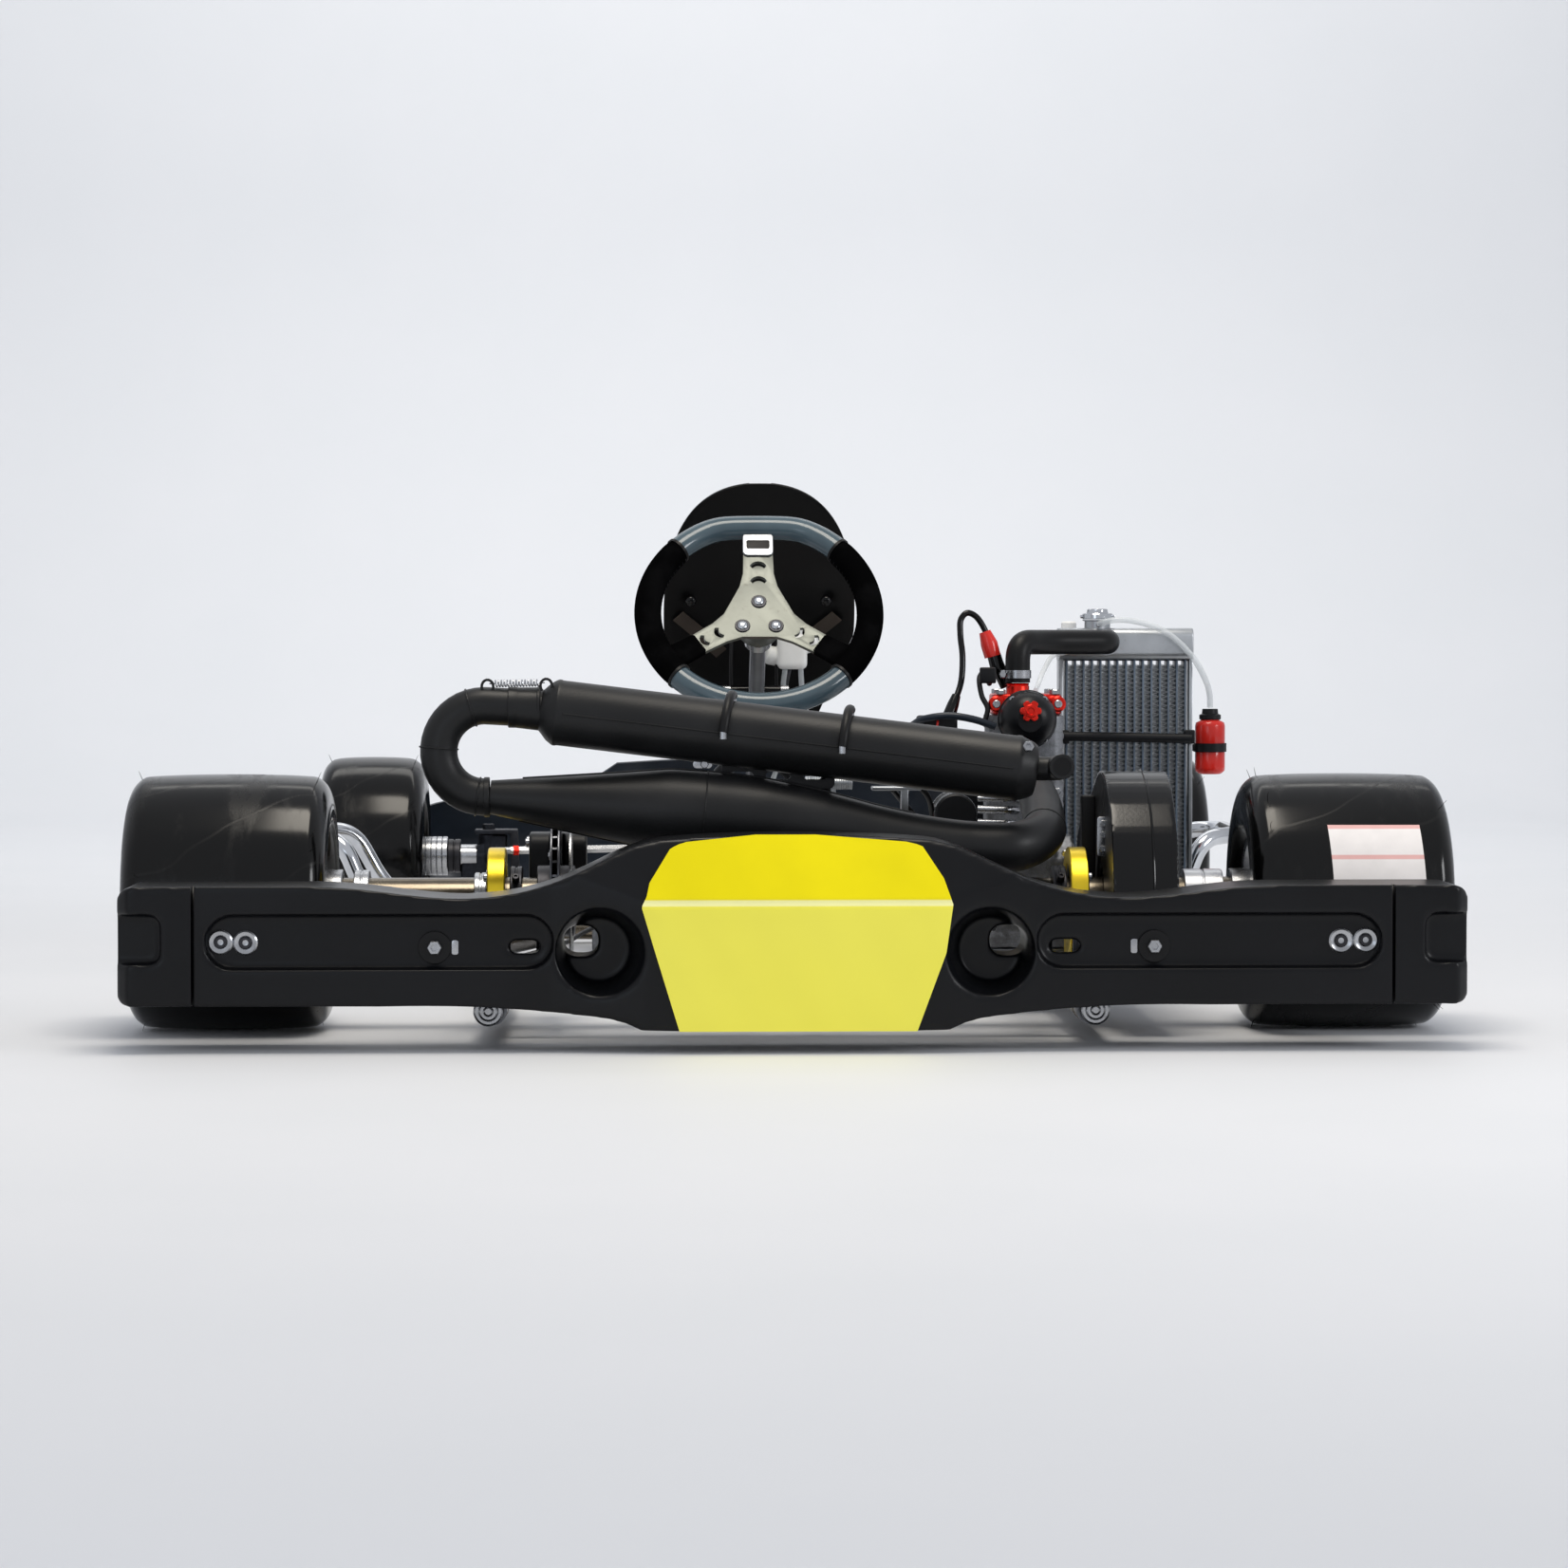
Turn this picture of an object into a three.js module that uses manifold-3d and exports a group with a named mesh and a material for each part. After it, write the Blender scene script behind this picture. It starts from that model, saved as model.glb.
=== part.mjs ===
// Racing kart chassis with its water-cooled engine on the right, without seat or side pods.
// Millimetres, +X to the right, +Y forward, +Z up. The origin is on the ground, midway
// between the rear bumper and the nose, on the centre line.

import * as THREE from 'three';
import { mergeVertices } from 'three/addons/utils/BufferGeometryUtils.js';
import Module from 'manifold-3d';

const wasm = await Module();
wasm.setup();

// ---------------------------------------------------------------- driving dimensions

const GAP = 0.3; // between pieces that touch
const RUNNING_GAP = 1.5; // between a turning shaft and its bore

const REAR_AXLE = { y: -600, z: 136, radius: 25, wall: 2.5, half: 520 };
const FRONT_AXLE = { y: 445, z: 130 };
const REAR_TYRE = { inner: 485, outer: 700, radius: 136 };
const FRONT_TYRE = { inner: 440, outer: 577, radius: 130 };
const BEAD = { radius: 64, flange: 71, setIn: 15.5 };
const WHEEL_SEGMENTS = 18;

const RAIL = { radius: 16, z: 34, rearX: 310, waistX: 338, frontX: 285, rearEnd: -735 };
const CROSS = { radius: 14 };
const KINGPIN = { x: 360, bottom: 101, top: 159, arm: [-15, -85] };

const BUMPER = { back: -892, front: -776, creaseZ: 151.6 };
const FUNNEL = { x: 199, z: 102 };

const COLUMN = { x: -14, y: 80, z: 447, tilt: THREE.MathUtils.degToRad(36), radius: 10, length: 522 };
const GRIP = { ring: 138, tube: 15, flat: 131 };
const PITMAN = { along: -470, drop: 35 };

const PIPE = { y: -722 };
const SPROCKET = { x: 365, teeth: 80, engineTeeth: 13, pitch: 7.775, thickness: 4 };
const CRANK = { y: -372, z: 140 };
const ENGINE = { left: 215, right: 330, front: -290, back: -455 };
const RADIATOR = { left: 327, right: 483, back: -225, front: -182, bottom: 84, top: 428 };

const SIDES = [['left', -1], ['right', 1]];

// ---------------------------------------------------------------- colours

const COLOURS = {
  satinBlack: [0x15171a, 0.45, 0.1],
  glossBlack: [0x0b0b0c, 0.2, 0],
  tyreBlack: [0x101112, 0.35, 0],
  yellow: [0xf3e21b, 0.5, 0],
  darkNickel: [0x4d4a40, 0.3, 0.9],
  aluminium: [0xb9bdc0, 0.35, 0.9],
  chrome: [0xd8dadd, 0.1, 1],
  steel: [0x8d9093, 0.35, 0.95],
  blueGrey: [0x6f7d8a, 0.4, 0.1],
  red: [0xc81f22, 0.35, 0.3],
  greyCasting: [0x7c7f83, 0.55, 0.8],
  clearPlastic: [0xdde3e6, 0.25, 0],
};

function finish(name) {
  const [color, roughness, metalness] = COLOURS[name];
  return new THREE.MeshStandardMaterial({ color, roughness, metalness });
}

// ---------------------------------------------------------------- shape helpers

function signedVolume(geometry) {
  const flat = geometry.index ? geometry.toNonIndexed() : geometry;
  const places = flat.attributes.position;
  const [a, b, c] = [new THREE.Vector3(), new THREE.Vector3(), new THREE.Vector3()];
  let volume = 0;
  for (let i = 0; i < places.count; i += 3) {
    a.fromBufferAttribute(places, i);
    b.fromBufferAttribute(places, i + 1);
    c.fromBufferAttribute(places, i + 2);
    volume += a.dot(b.cross(c)) / 6;
  }
  return volume;
}

// The same surface as one welded mesh whose faces point outwards.
function welded(geometry) {
  const bare = new THREE.BufferGeometry();
  bare.setAttribute('position', geometry.attributes.position.clone());
  if (geometry.index) {
    bare.setIndex(geometry.index.clone());
  }
  const merged = mergeVertices(bare, 1e-3);
  const corners = merged.index.array;
  const inward = signedVolume(merged) < 0;
  const kept = [];
  for (let i = 0; i < corners.length; i += 3) {
    const [a, b, c] = [corners[i], corners[i + 1], corners[i + 2]];
    if (a !== b && b !== c && c !== a) {
      kept.push(a, inward ? c : b, inward ? b : c);
    }
  }
  merged.setIndex(kept);
  return merged;
}

function toManifold(geometry) {
  const body = welded(geometry);
  const vertProperties = new Float32Array(body.attributes.position.array);
  const triVerts = new Uint32Array(body.index.array);
  return new wasm.Manifold(new wasm.Mesh({ numProp: 3, vertProperties, triVerts }));
}

function toGeometry(manifold) {
  const mesh = manifold.getMesh();
  const geometry = new THREE.BufferGeometry();
  geometry.setAttribute('position', new THREE.BufferAttribute(mesh.vertProperties, 3));
  geometry.setIndex(new THREE.BufferAttribute(mesh.triVerts, 1));
  return geometry;
}

function join(first, ...others) {
  return toGeometry(others.reduce((sum, other) => sum.add(toManifold(other)), toManifold(first)));
}

function cut(first, ...tools) {
  return toGeometry(tools.reduce((rest, tool) => rest.subtract(toManifold(tool)), toManifold(first)));
}

function common(first, second) {
  return toGeometry(toManifold(first).intersect(toManifold(second)));
}

function box(x0, x1, y0, y1, z0, z1) {
  const geometry = new THREE.BoxGeometry(x1 - x0, y1 - y0, z1 - z0);
  return geometry.translate((x0 + x1) / 2, (y0 + y1) / 2, (z0 + z1) / 2);
}

// Mirrors a right-hand box in X for the left side.
function sideBox(side, x0, x1, ...rest) {
  return side > 0 ? box(x0, x1, ...rest) : box(-x1, -x0, ...rest);
}

function polygon(points) {
  return new THREE.Shape(points.map(([u, v]) => new THREE.Vector2(u, v)));
}

// A box outline with rounded corners, centred on (u, v).
function roundedRect(u, v, width, height, radius) {
  const shape = new THREE.Shape();
  const [w, h] = [width / 2, height / 2];
  shape.moveTo(u - w + radius, v - h);
  shape.lineTo(u + w - radius, v - h);
  shape.absarc(u + w - radius, v - h + radius, radius, -Math.PI / 2, 0);
  shape.absarc(u + w - radius, v + h - radius, radius, 0, Math.PI / 2);
  shape.absarc(u - w + radius, v + h - radius, radius, Math.PI / 2, Math.PI);
  shape.absarc(u - w + radius, v - h + radius, radius, Math.PI, Math.PI * 1.5);
  return shape;
}

const ALONG_Y = new THREE.Matrix4().makeRotationX(Math.PI / 2);
const ALONG_X = new THREE.Matrix4().makeBasis(
  new THREE.Vector3(0, 1, 0),
  new THREE.Vector3(0, 0, 1),
  new THREE.Vector3(1, 0, 0),
);

function slab(shape, depth, curveSegments = 3) {
  return new THREE.ExtrudeGeometry(shape, { depth, bevelEnabled: false, curveSegments });
}

// Front-view outline (x, z) between two values of y.
function extrudeY(shape, y0, y1, curveSegments) {
  return slab(shape, y1 - y0, curveSegments).applyMatrix4(ALONG_Y).translate(0, y1, 0);
}

// Plan outline (x, y) between two heights.
function extrudeZ(shape, z0, z1, curveSegments) {
  return slab(shape, z1 - z0, curveSegments).translate(0, 0, z0);
}

// Side-view outline (y, z) between two values of x.
function extrudeX(shape, x0, x1, curveSegments) {
  return slab(shape, x1 - x0, curveSegments).applyMatrix4(ALONG_X).translate(x0, 0, 0);
}

function ring(radius, sides) {
  const points = [];
  for (let i = 0; i < sides; i += 1) {
    const angle = ((i + 0.5) / sides) * Math.PI * 2;
    points.push([radius * Math.cos(angle), radius * Math.sin(angle)]);
  }
  return polygon(points);
}

// Straight runs through the points, with each corner rounded.
function bentPath(points, bend) {
  const corners = points.map((point) => new THREE.Vector3(...point));
  const path = new THREE.CurvePath();
  let start = corners[0];
  for (let i = 1; i < corners.length - 1; i += 1) {
    const before = corners[i].clone().sub(corners[i - 1]);
    const after = corners[i + 1].clone().sub(corners[i]);
    const reach = Math.min(bend, before.length() * 0.48, after.length() * 0.48);
    const enter = corners[i].clone().addScaledVector(before.normalize(), -reach);
    const leave = corners[i].clone().addScaledVector(after.normalize(), reach);
    path.add(new THREE.LineCurve3(start, enter));
    path.add(new THREE.QuadraticBezierCurve3(enter, corners[i], leave));
    start = leave;
  }
  path.add(new THREE.LineCurve3(start, corners[corners.length - 1]));
  return path;
}

function smoothPath(points) {
  return new THREE.CatmullRomCurve3(points.map((point) => new THREE.Vector3(...point)));
}

function tube(path, radius, steps, sides = 8) {
  const geometry = new THREE.ExtrudeGeometry(ring(radius, sides), { steps, extrudePath: path });
  return welded(geometry);
}

// A tube whose radius follows radiusAt(u), with u from 0 to 1 along the path.
function taperedTube(path, steps, sides, radiusAt) {
  const geometry = tube(path, 1, steps, sides);
  const centres = path.getSpacedPoints(steps);
  const places = geometry.attributes.position;
  const point = new THREE.Vector3();
  for (let i = 0; i < places.count; i += 1) {
    point.fromBufferAttribute(places, i);
    const gaps = centres.map((centre) => centre.distanceTo(point));
    const nearest = gaps.indexOf(Math.min(...gaps));
    point.sub(centres[nearest]).multiplyScalar(radiusAt(nearest / steps)).add(centres[nearest]);
    places.setXYZ(i, point.x, point.y, point.z);
  }
  return geometry;
}

// Reads a value from [u, value] stops, in straight steps between them.
function stops(...pairs) {
  return (u) => {
    const next = Math.max(1, pairs.findIndex(([at]) => at >= u));
    const [[u0, v0], [u1, v1]] = [pairs[next - 1], pairs[next]];
    return THREE.MathUtils.mapLinear(u, u0, u1, v0, v1);
  };
}

// A round bar between two points.
function rod(from, to, radius, sides = 10) {
  const [start, end] = [new THREE.Vector3(...from), new THREE.Vector3(...to)];
  const along = end.clone().sub(start);
  const geometry = new THREE.CylinderGeometry(radius, radius, along.length(), sides);
  const turn = new THREE.Quaternion().setFromUnitVectors(new THREE.Vector3(0, 1, 0), along.clone().normalize());
  return geometry.applyQuaternion(turn).translate(...start.lerp(end, 0.5));
}

// Turned about the X axis from [radius, x] points; the outline closes on itself.
function turnedX(profile, segments = WHEEL_SEGMENTS) {
  const points = profile.map(([radius, along]) => new THREE.Vector2(radius, along));
  points.push(points[0].clone());
  return welded(new THREE.LatheGeometry(points, segments).rotateZ(-Math.PI / 2));
}

function turnedZ(profile, segments = 16) {
  const points = profile.map(([radius, along]) => new THREE.Vector2(radius, along));
  points.push(points[0].clone());
  return welded(new THREE.LatheGeometry(points, segments).rotateX(Math.PI / 2));
}

// A sheet section of (outward, up) points swept along a level path that runs to the right.
function sweptSheet(path, section, steps) {
  const shape = polygon(section.map(([outward, up]) => [-up, outward]));
  return welded(new THREE.ExtrudeGeometry(shape, { steps, extrudePath: path }));
}

// ---------------------------------------------------------------- the scene graph

const kart = new THREE.Group();

function add(name, geometry, colour, parent = kart) {
  const mesh = new THREE.Mesh(geometry, finish(colour));
  mesh.name = name;
  parent.add(mesh);
  return mesh;
}

function groupAt(x, y, z, parent = kart) {
  const group = new THREE.Group();
  group.position.set(x, y, z);
  parent.add(group);
  return group;
}

// ---------------------------------------------------------------- frame

function buildFrame() {
  const crossY = FRONT_AXLE.y;
  for (const [name, side] of SIDES) {
    const rail = bentPath([
      [side * RAIL.rearX, RAIL.rearEnd, RAIL.z],
      [side * RAIL.rearX, -420, RAIL.z],
      [side * RAIL.waistX, -150, RAIL.z],
      [side * RAIL.waistX, 170, RAIL.z],
      [side * RAIL.frontX, 350, RAIL.z],
      [side * RAIL.frontX, crossY - CROSS.radius - 2 * GAP, RAIL.z],
    ], 60);
    add(`frame_rail_${name}`, tube(rail, RAIL.radius, 14, 10), 'darkNickel');

    const bar = bentPath([
      [side * (RAIL.waistX + RAIL.radius + 0.6), -60, 40],
      [side * 430, -60, 62],
      [side * 492, -58, 118],
      [side * 516, -55, 176],
      [side * 562, -20, 179],
      [side * 562, 130, 179],
      [side * 516, 162, 176],
      [side * 480, 165, 110],
      [side * 420, 165, 62],
      [side * (RAIL.waistX + RAIL.radius + 0.6), 165, 40],
    ], 26);
    add(`side_bar_${name}`, tube(bar, 10, 22, 6), 'chrome');
  }

  const loop = bentPath([
    [-150, crossY, RAIL.z],
    [-150, 700, RAIL.z],
    [150, 700, RAIL.z],
    [150, crossY, RAIL.z],
  ], 50);
  const yokes = SIDES.map(([, side]) => {
    const plate = polygon([
      [side * 316, 26], [side * 330, 26], [side * 330, KINGPIN.bottom - 6],
      [side * 378, KINGPIN.bottom - 6], [side * 378, KINGPIN.bottom],
      [side * 331, KINGPIN.bottom], [side * 331, KINGPIN.top],
      [side * 378, KINGPIN.top], [side * 378, KINGPIN.top + 6],
      [side * 322, KINGPIN.top + 6],
    ]);
    return extrudeY(plate, crossY - 20, crossY + 20);
  });
  const crossTube = rod([-322, crossY, RAIL.z], [322, crossY, RAIL.z], CROSS.radius);
  add('frame_front', join(crossTube, tube(loop, CROSS.radius, 14), ...yokes), 'darkNickel');

  const reach = RAIL.rearX - RAIL.radius - GAP;
  add('frame_cross_rear', rod([-reach, -716, 50], [reach, -716, 50], 12), 'darkNickel');

  const hoop = bentPath([
    [-110, 719, RAIL.z], [-150, 770, 60], [-160, 842, 92],
    [160, 842, 92], [150, 770, 60], [110, 719, RAIL.z],
  ], 40);
  add('front_bumper', tube(hoop, 10, 16), 'chrome');

  const tray = polygon([
    [-318, -90], [318, -90], [318, 190], [262, 425], [145, 440], [145, 690],
    [-145, 690], [-145, 440], [-262, 425], [-318, 190],
  ]);
  const underRails = RAIL.z - RAIL.radius - GAP;
  add('floor_tray', extrudeZ(tray, underRails - 3, underRails), 'aluminium');
}

// ---------------------------------------------------------------- bodywork

function buildBodywork() {
  const noseLine = smoothPath([
    [-548, 698, 0], [-478, 803, 0], [-300, 865, 0], [0, 883, 0],
    [300, 865, 0], [478, 803, 0], [548, 698, 0],
  ]);
  const section = [
    [-34, 50], [-2, 56], [10, 84], [12, 120], [-4, 172], [-52, 246],
    [-57, 243], [-9, 170], [6, 120], [4, 86], [-6, 62], [-34, 56],
  ];
  const noseFront = polygon([
    [-560, 40], [560, 40], [560, 176], [430, 196], [250, 208], [212, 244], [120, 250],
    [-120, 250], [-212, 244], [-250, 208], [-430, 196], [-560, 176],
  ]);
  const nose = common(sweptSheet(noseLine, section, 14), extrudeY(noseFront, 640, 920));
  add('front_fairing', nose, 'blueGrey');

  // The upright panel behind the steering wheel: a shallow curve, leaning back.
  const sheet = new THREE.Shape();
  sheet.absarc(0, -300, 306, Math.PI * 0.36, Math.PI * 0.64);
  sheet.absarc(0, -300, 302, Math.PI * 0.64, Math.PI * 0.36, true);
  const face = new THREE.Shape();
  face.moveTo(-70, 0);
  face.lineTo(70, 0);
  face.lineTo(122, 150);
  face.bezierCurveTo(128, 300, 84, 352, 0, 352);
  face.bezierCurveTo(-84, 352, -128, 300, -122, 150);
  const panel = common(extrudeZ(sheet, -5, 360, 8), extrudeY(face, -60, 60, 6));
  const lean = THREE.MathUtils.degToRad(27);
  const mesh = add('front_panel', panel, 'satinBlack');
  mesh.position.set(-8, 424, 296);
  mesh.rotation.x = lean;

  const tankPlan = roundedRect(-10, 172, 200, 226, 34);
  const tankSide = polygon([[40, 18], [304, 18], [304, 150], [250, 172], [80, 172], [40, 150]]);
  const tank = common(extrudeZ(tankPlan, RAIL.z - RAIL.radius + GAP, 172), extrudeX(tankSide, -130, 130));
  const neck = turnedZ([[0, 168], [24, 168], [24, 180], [0, 180]]).translate(-10, 128, 0);
  add('fuel_tank', join(tank, neck), 'clearPlastic');
  const cap = turnedZ([[0, 0], [29, 0], [29, 16], [24, 20], [0, 20]]);
  add('fuel_cap', cap, 'red', groupAt(-10, 128, 180 + GAP));
}

// ---------------------------------------------------------------- rear bumper

function buildRearBumper() {
  const outline = new THREE.Shape();
  outline.moveTo(0, 219);
  outline.lineTo(132, 215);
  outline.bezierCurveTo(190, 212, 225, 158, 335, 155.5);
  outline.bezierCurveTo(385, 156, 430, 168, 486, 168);
  outline.lineTo(664, 168);
  outline.absarc(664, 152, 16, Math.PI / 2, 0, true);
  outline.lineTo(680, 62);
  outline.absarc(668, 62, 12, 0, -Math.PI / 2, true);
  outline.lineTo(417, 47);
  outline.bezierCurveTo(330, 52, 250, 40, 189, 35);
  outline.lineTo(156, 24);
  const points = outline.getPoints(4).map(({ x, y }) => [x, y]);
  const mirror = points.filter(([x]) => x > 0).reverse().map(([x, z]) => [-x, z]);
  const front = extrudeY(polygon([...points, ...mirror]), -900, -760);

  const plan = [[150, BUMPER.back], [244, -880], [600, -880], [664, -884], [679, -868]];
  const right = [...plan, [680, -790], [660, BUMPER.front], [0, BUMPER.front]];
  const left = [...right].reverse().slice(1).map(([x, y]) => [-x, y]);
  const level = extrudeZ(polygon([...right, ...left]), 10, 230);

  // The top of the centre block leans forward above the crease.
  const leanCut = extrudeX(polygon([[-930, BUMPER.creaseZ], [BUMPER.back, BUMPER.creaseZ], [-868, 222],
    [-868, 240], [-930, 240]]), -210, 210);

  const tools = SIDES.flatMap(([, side]) => {
    const channel = roundedRect(side * 418, 111.8, 350, 55, 27);
    const pocket = extrudeY(roundedRect(side * 665, 115, 54, 50, 8), -900, -872);
    const groove = sideBox(side, 603, 608, -900, -872, 40, 180);
    const mouth = extrudeY(ring(46, 16), -900, -845).translate(side * FUNNEL.x, 0, FUNNEL.z);
    const through = extrudeY(roundedRect(side * 214, 106, 56, 54, 20), -900, -750);
    const hollow = sideBox(side, 262, 596, -856, -760, 62, 146);
    return [extrudeY(channel, -900, -868), pocket, groove, mouth, through, hollow];
  });
  const blockHollow = box(-135, 135, -862, -760, 40, 195);
  const moulding = cut(common(front, level), leanCut, ...tools, blockHollow);
  add('rear_bumper', moulding, 'satinBlack');

  const sheetSide = polygon([
    [BUMPER.back - GAP, 22.6], [BUMPER.back - GAP, BUMPER.creaseZ], [-868.4, 223],
    [-871.5, 224], [BUMPER.back - 3, BUMPER.creaseZ + 1], [BUMPER.back - 3, 22.6],
  ]);
  const sheetFront = polygon([
    [-117, 22.6], [122, 22.6], [151, 101], [158, 150], [149, 176], [128, 208], [116, 212],
    [1, 222], [-113, 212], [-126, 206], [-147, 172], [-155, 148], [-141, 101],
  ]);
  const sheet = common(extrudeX(sheetSide, -170, 170), extrudeY(sheetFront, -930, -840));
  add('bumper_panel', sheet, 'yellow');

  for (const [name, side] of SIDES) {
    const plate = sideBox(side, 290, 386, BUMPER.front + GAP, BUMPER.front + 6, 44, 128);
    const socket = rod([side * RAIL.rearX, BUMPER.front + 5, RAIL.z],
      [side * RAIL.rearX, RAIL.rearEnd - GAP, RAIL.z], RAIL.radius);
    add(`bumper_mount_${name}`, join(plate, socket), 'steel');
  }
}

// ---------------------------------------------------------------- wheels

function tyre({ inner, outer, radius }, side) {
  const centre = (side * (inner + outer)) / 2;
  const half = (outer - inner) / 2;
  const bead = half - BEAD.setIn;
  const outside = [
    [BEAD.radius, bead], [BEAD.flange + 2, bead], [radius - 40, half], [radius - 15, half - 7],
    [radius, half * 0.55],
  ];
  const inside = [[radius - 10, half * 0.5], [radius - 40, half - 10], [BEAD.radius, bead - 9]];
  const flip = (points) => [...points].reverse().map(([r, x]) => [r, -x]);
  const profile = [...flip(outside).reverse(), ...[...outside].reverse()];
  const back = [...[...inside].reverse(), ...flip(inside).reverse()];
  return turnedX([...profile, ...back].map(([r, x]) => [r, x + centre]));
}

function rim({ inner, outer }, side, hub) {
  const centre = (side * (inner + outer)) / 2;
  const bead = (outer - inner) / 2 - BEAD.setIn;
  const lip = bead + 0.4;
  const well = BEAD.radius - 0.5;
  const profile = [
    [hub.bore, hub.from], [hub.radius, hub.from], [hub.radius, hub.web], [well - 4, hub.web],
    [well - 4, 2 - lip], [well - 1.5, -lip - 3.6], [BEAD.flange, -lip - 3.6], [BEAD.flange, -lip],
    [well, -lip], [well, lip], [BEAD.flange, lip], [BEAD.flange, lip + 3.6], [well - 1.5, lip + 3.6],
    [well - 4, lip - 2], [well - 4, hub.web + 10], [hub.radius, hub.web + 10], [hub.radius, hub.to],
    [hub.bore, hub.to],
  ];
  return turnedX(profile.map(([r, x]) => [r, centre + side * x]));
}

function disc(x, thickness, radius, hubRadius, hubHalf) {
  const half = thickness / 2;
  const bore = REAR_AXLE.radius + 1;
  return turnedX([
    [bore, x - hubHalf], [hubRadius, x - hubHalf], [hubRadius, x - half], [radius, x - half],
    [radius, x + half], [hubRadius, x + half], [hubRadius, x + hubHalf], [bore, x + hubHalf],
  ]);
}

function buildRearAxle() {
  const axle = groupAt(0, REAR_AXLE.y, REAR_AXLE.z);
  const { radius, wall, half } = REAR_AXLE;
  const shaft = turnedX([[radius - wall, -half], [radius, -half], [radius, half], [radius - wall, half]]);
  add('rear_axle', shaft, 'steel', axle);
  const hub = { bore: radius + 1, radius: 34, from: -118, web: -64, to: -46 };
  for (const [name, side] of SIDES) {
    add(`rear_rim_${name}`, rim(REAR_TYRE, side, hub), 'aluminium', axle);
    add(`rear_tyre_${name}`, tyre(REAR_TYRE, side), 'tyreBlack', axle);
  }
  add('brake_disc', disc(-247, 10, 94, 38, 20), 'steel', axle);
  const pitchRadius = (SPROCKET.teeth * SPROCKET.pitch) / (2 * Math.PI);
  add('axle_sprocket', disc(SPROCKET.x, SPROCKET.thickness, pitchRadius, 38, 20), 'aluminium', axle);

  for (const [name, side] of SIDES) {
    const x = side * RAIL.rearX;
    const bore = radius + RUNNING_GAP;
    const carrier = turnedX([[bore, x - 9.5], [57, x - 9.5], [57, x + 9.5], [bore, x + 9.5]]);
    const foot = box(x - 9, x + 9, -40, 40, RAIL.z + RAIL.radius + GAP - REAR_AXLE.z, -40);
    add(`bearing_carrier_${name}`, join(carrier, foot), 'yellow', axle);
  }

  const body = box(-278, -216, -545, -478, 128, 206);
  const slot = turnedX([[0, -255], [98, -255], [98, -239], [0, -239]]).translate(0, REAR_AXLE.y, REAR_AXLE.z);
  add('brake_caliper', cut(body, slot), 'greyCasting');

  // The guard is a hood: open below and round the axle, over both sprockets.
  const hood = (grow) => {
    const shape = new THREE.Shape();
    shape.moveTo(REAR_AXLE.y - 139 + grow, 96 - grow * 3);
    shape.lineTo(REAR_AXLE.y - 139 + grow, REAR_AXLE.z);
    shape.absarc(REAR_AXLE.y, REAR_AXLE.z, 139 - grow, Math.PI, Math.PI * 0.42, true);
    shape.lineTo(CRANK.y + 20, 200 - grow);
    shape.lineTo(CRANK.y + 40 - grow, 150);
    shape.lineTo(CRANK.y + 40 - grow, 96 - grow * 3);
    return shape;
  };
  const outside = extrudeX(hood(0), 336, 405, 9);
  const inside = extrudeX(hood(5), 320, 400, 9);
  const axleHole = box(390, 420, REAR_AXLE.y - 34, REAR_AXLE.y + 34, 60, REAR_AXLE.z + 34);
  add('chain_guard', cut(outside, inside, axleHole), 'glossBlack');
}

function buildFrontCorners() {
  for (const [name, side] of SIDES) {
    const corner = groupAt(side * KINGPIN.x, FRONT_AXLE.y, FRONT_AXLE.z);
    const spindle = turnedX([
      [0, 5], [12.5, 5], [12.5, 15], [15, 15], [15, 36], [22, 36], [22, 53], [25.5, 53],
      [25.5, 96], [12.5, 96], [12.5, 212], [0, 212],
    ].map(([r, x]) => [r, side * x]), 12);
    const [armX, armY] = KINGPIN.arm;
    const barrel = rod([0, 0, KINGPIN.bottom + GAP - FRONT_AXLE.z], [0, 0, KINGPIN.top - GAP - FRONT_AXLE.z], 13);
    const arm = rod([0, 0, -3], [side * armX, armY, -3], 7, 8);
    const web = extrudeY(polygon([
      [side * -24, -28], [side * 36, -28], [side * 36, -4], [side * -6, 28], [side * -24, 28],
    ]), -12, 12);
    add(`knuckle_${name}`, join(spindle, barrel, arm, web), 'greyCasting', corner);

    const wheel = groupAt(-side * KINGPIN.x, 0, 0, corner);
    const hub = { bore: 12.5 + RUNNING_GAP, radius: 26, from: -50, web: -18, to: 42 };
    add(`front_rim_${name}`, rim(FRONT_TYRE, side, hub), 'aluminium', wheel);
    add(`front_tyre_${name}`, tyre(FRONT_TYRE, side), 'tyreBlack', wheel);

    // The rod stops short of the arm on the column, which swings past its end.
    const from = new THREE.Vector3(side * armX, armY, 11);
    const pin = new THREE.Vector3(COLUMN.x + side * 12, 439.7, 142.4);
    pin.sub(corner.position);
    const along = pin.clone().sub(from).normalize();
    const end = pin.addScaledVector(along, -42);
    add(`tie_rod_${name}`, rod(from.toArray(), end.toArray(), 5.5, 8), 'aluminium', corner);
  }
}

// ---------------------------------------------------------------- steering and pedals

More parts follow.
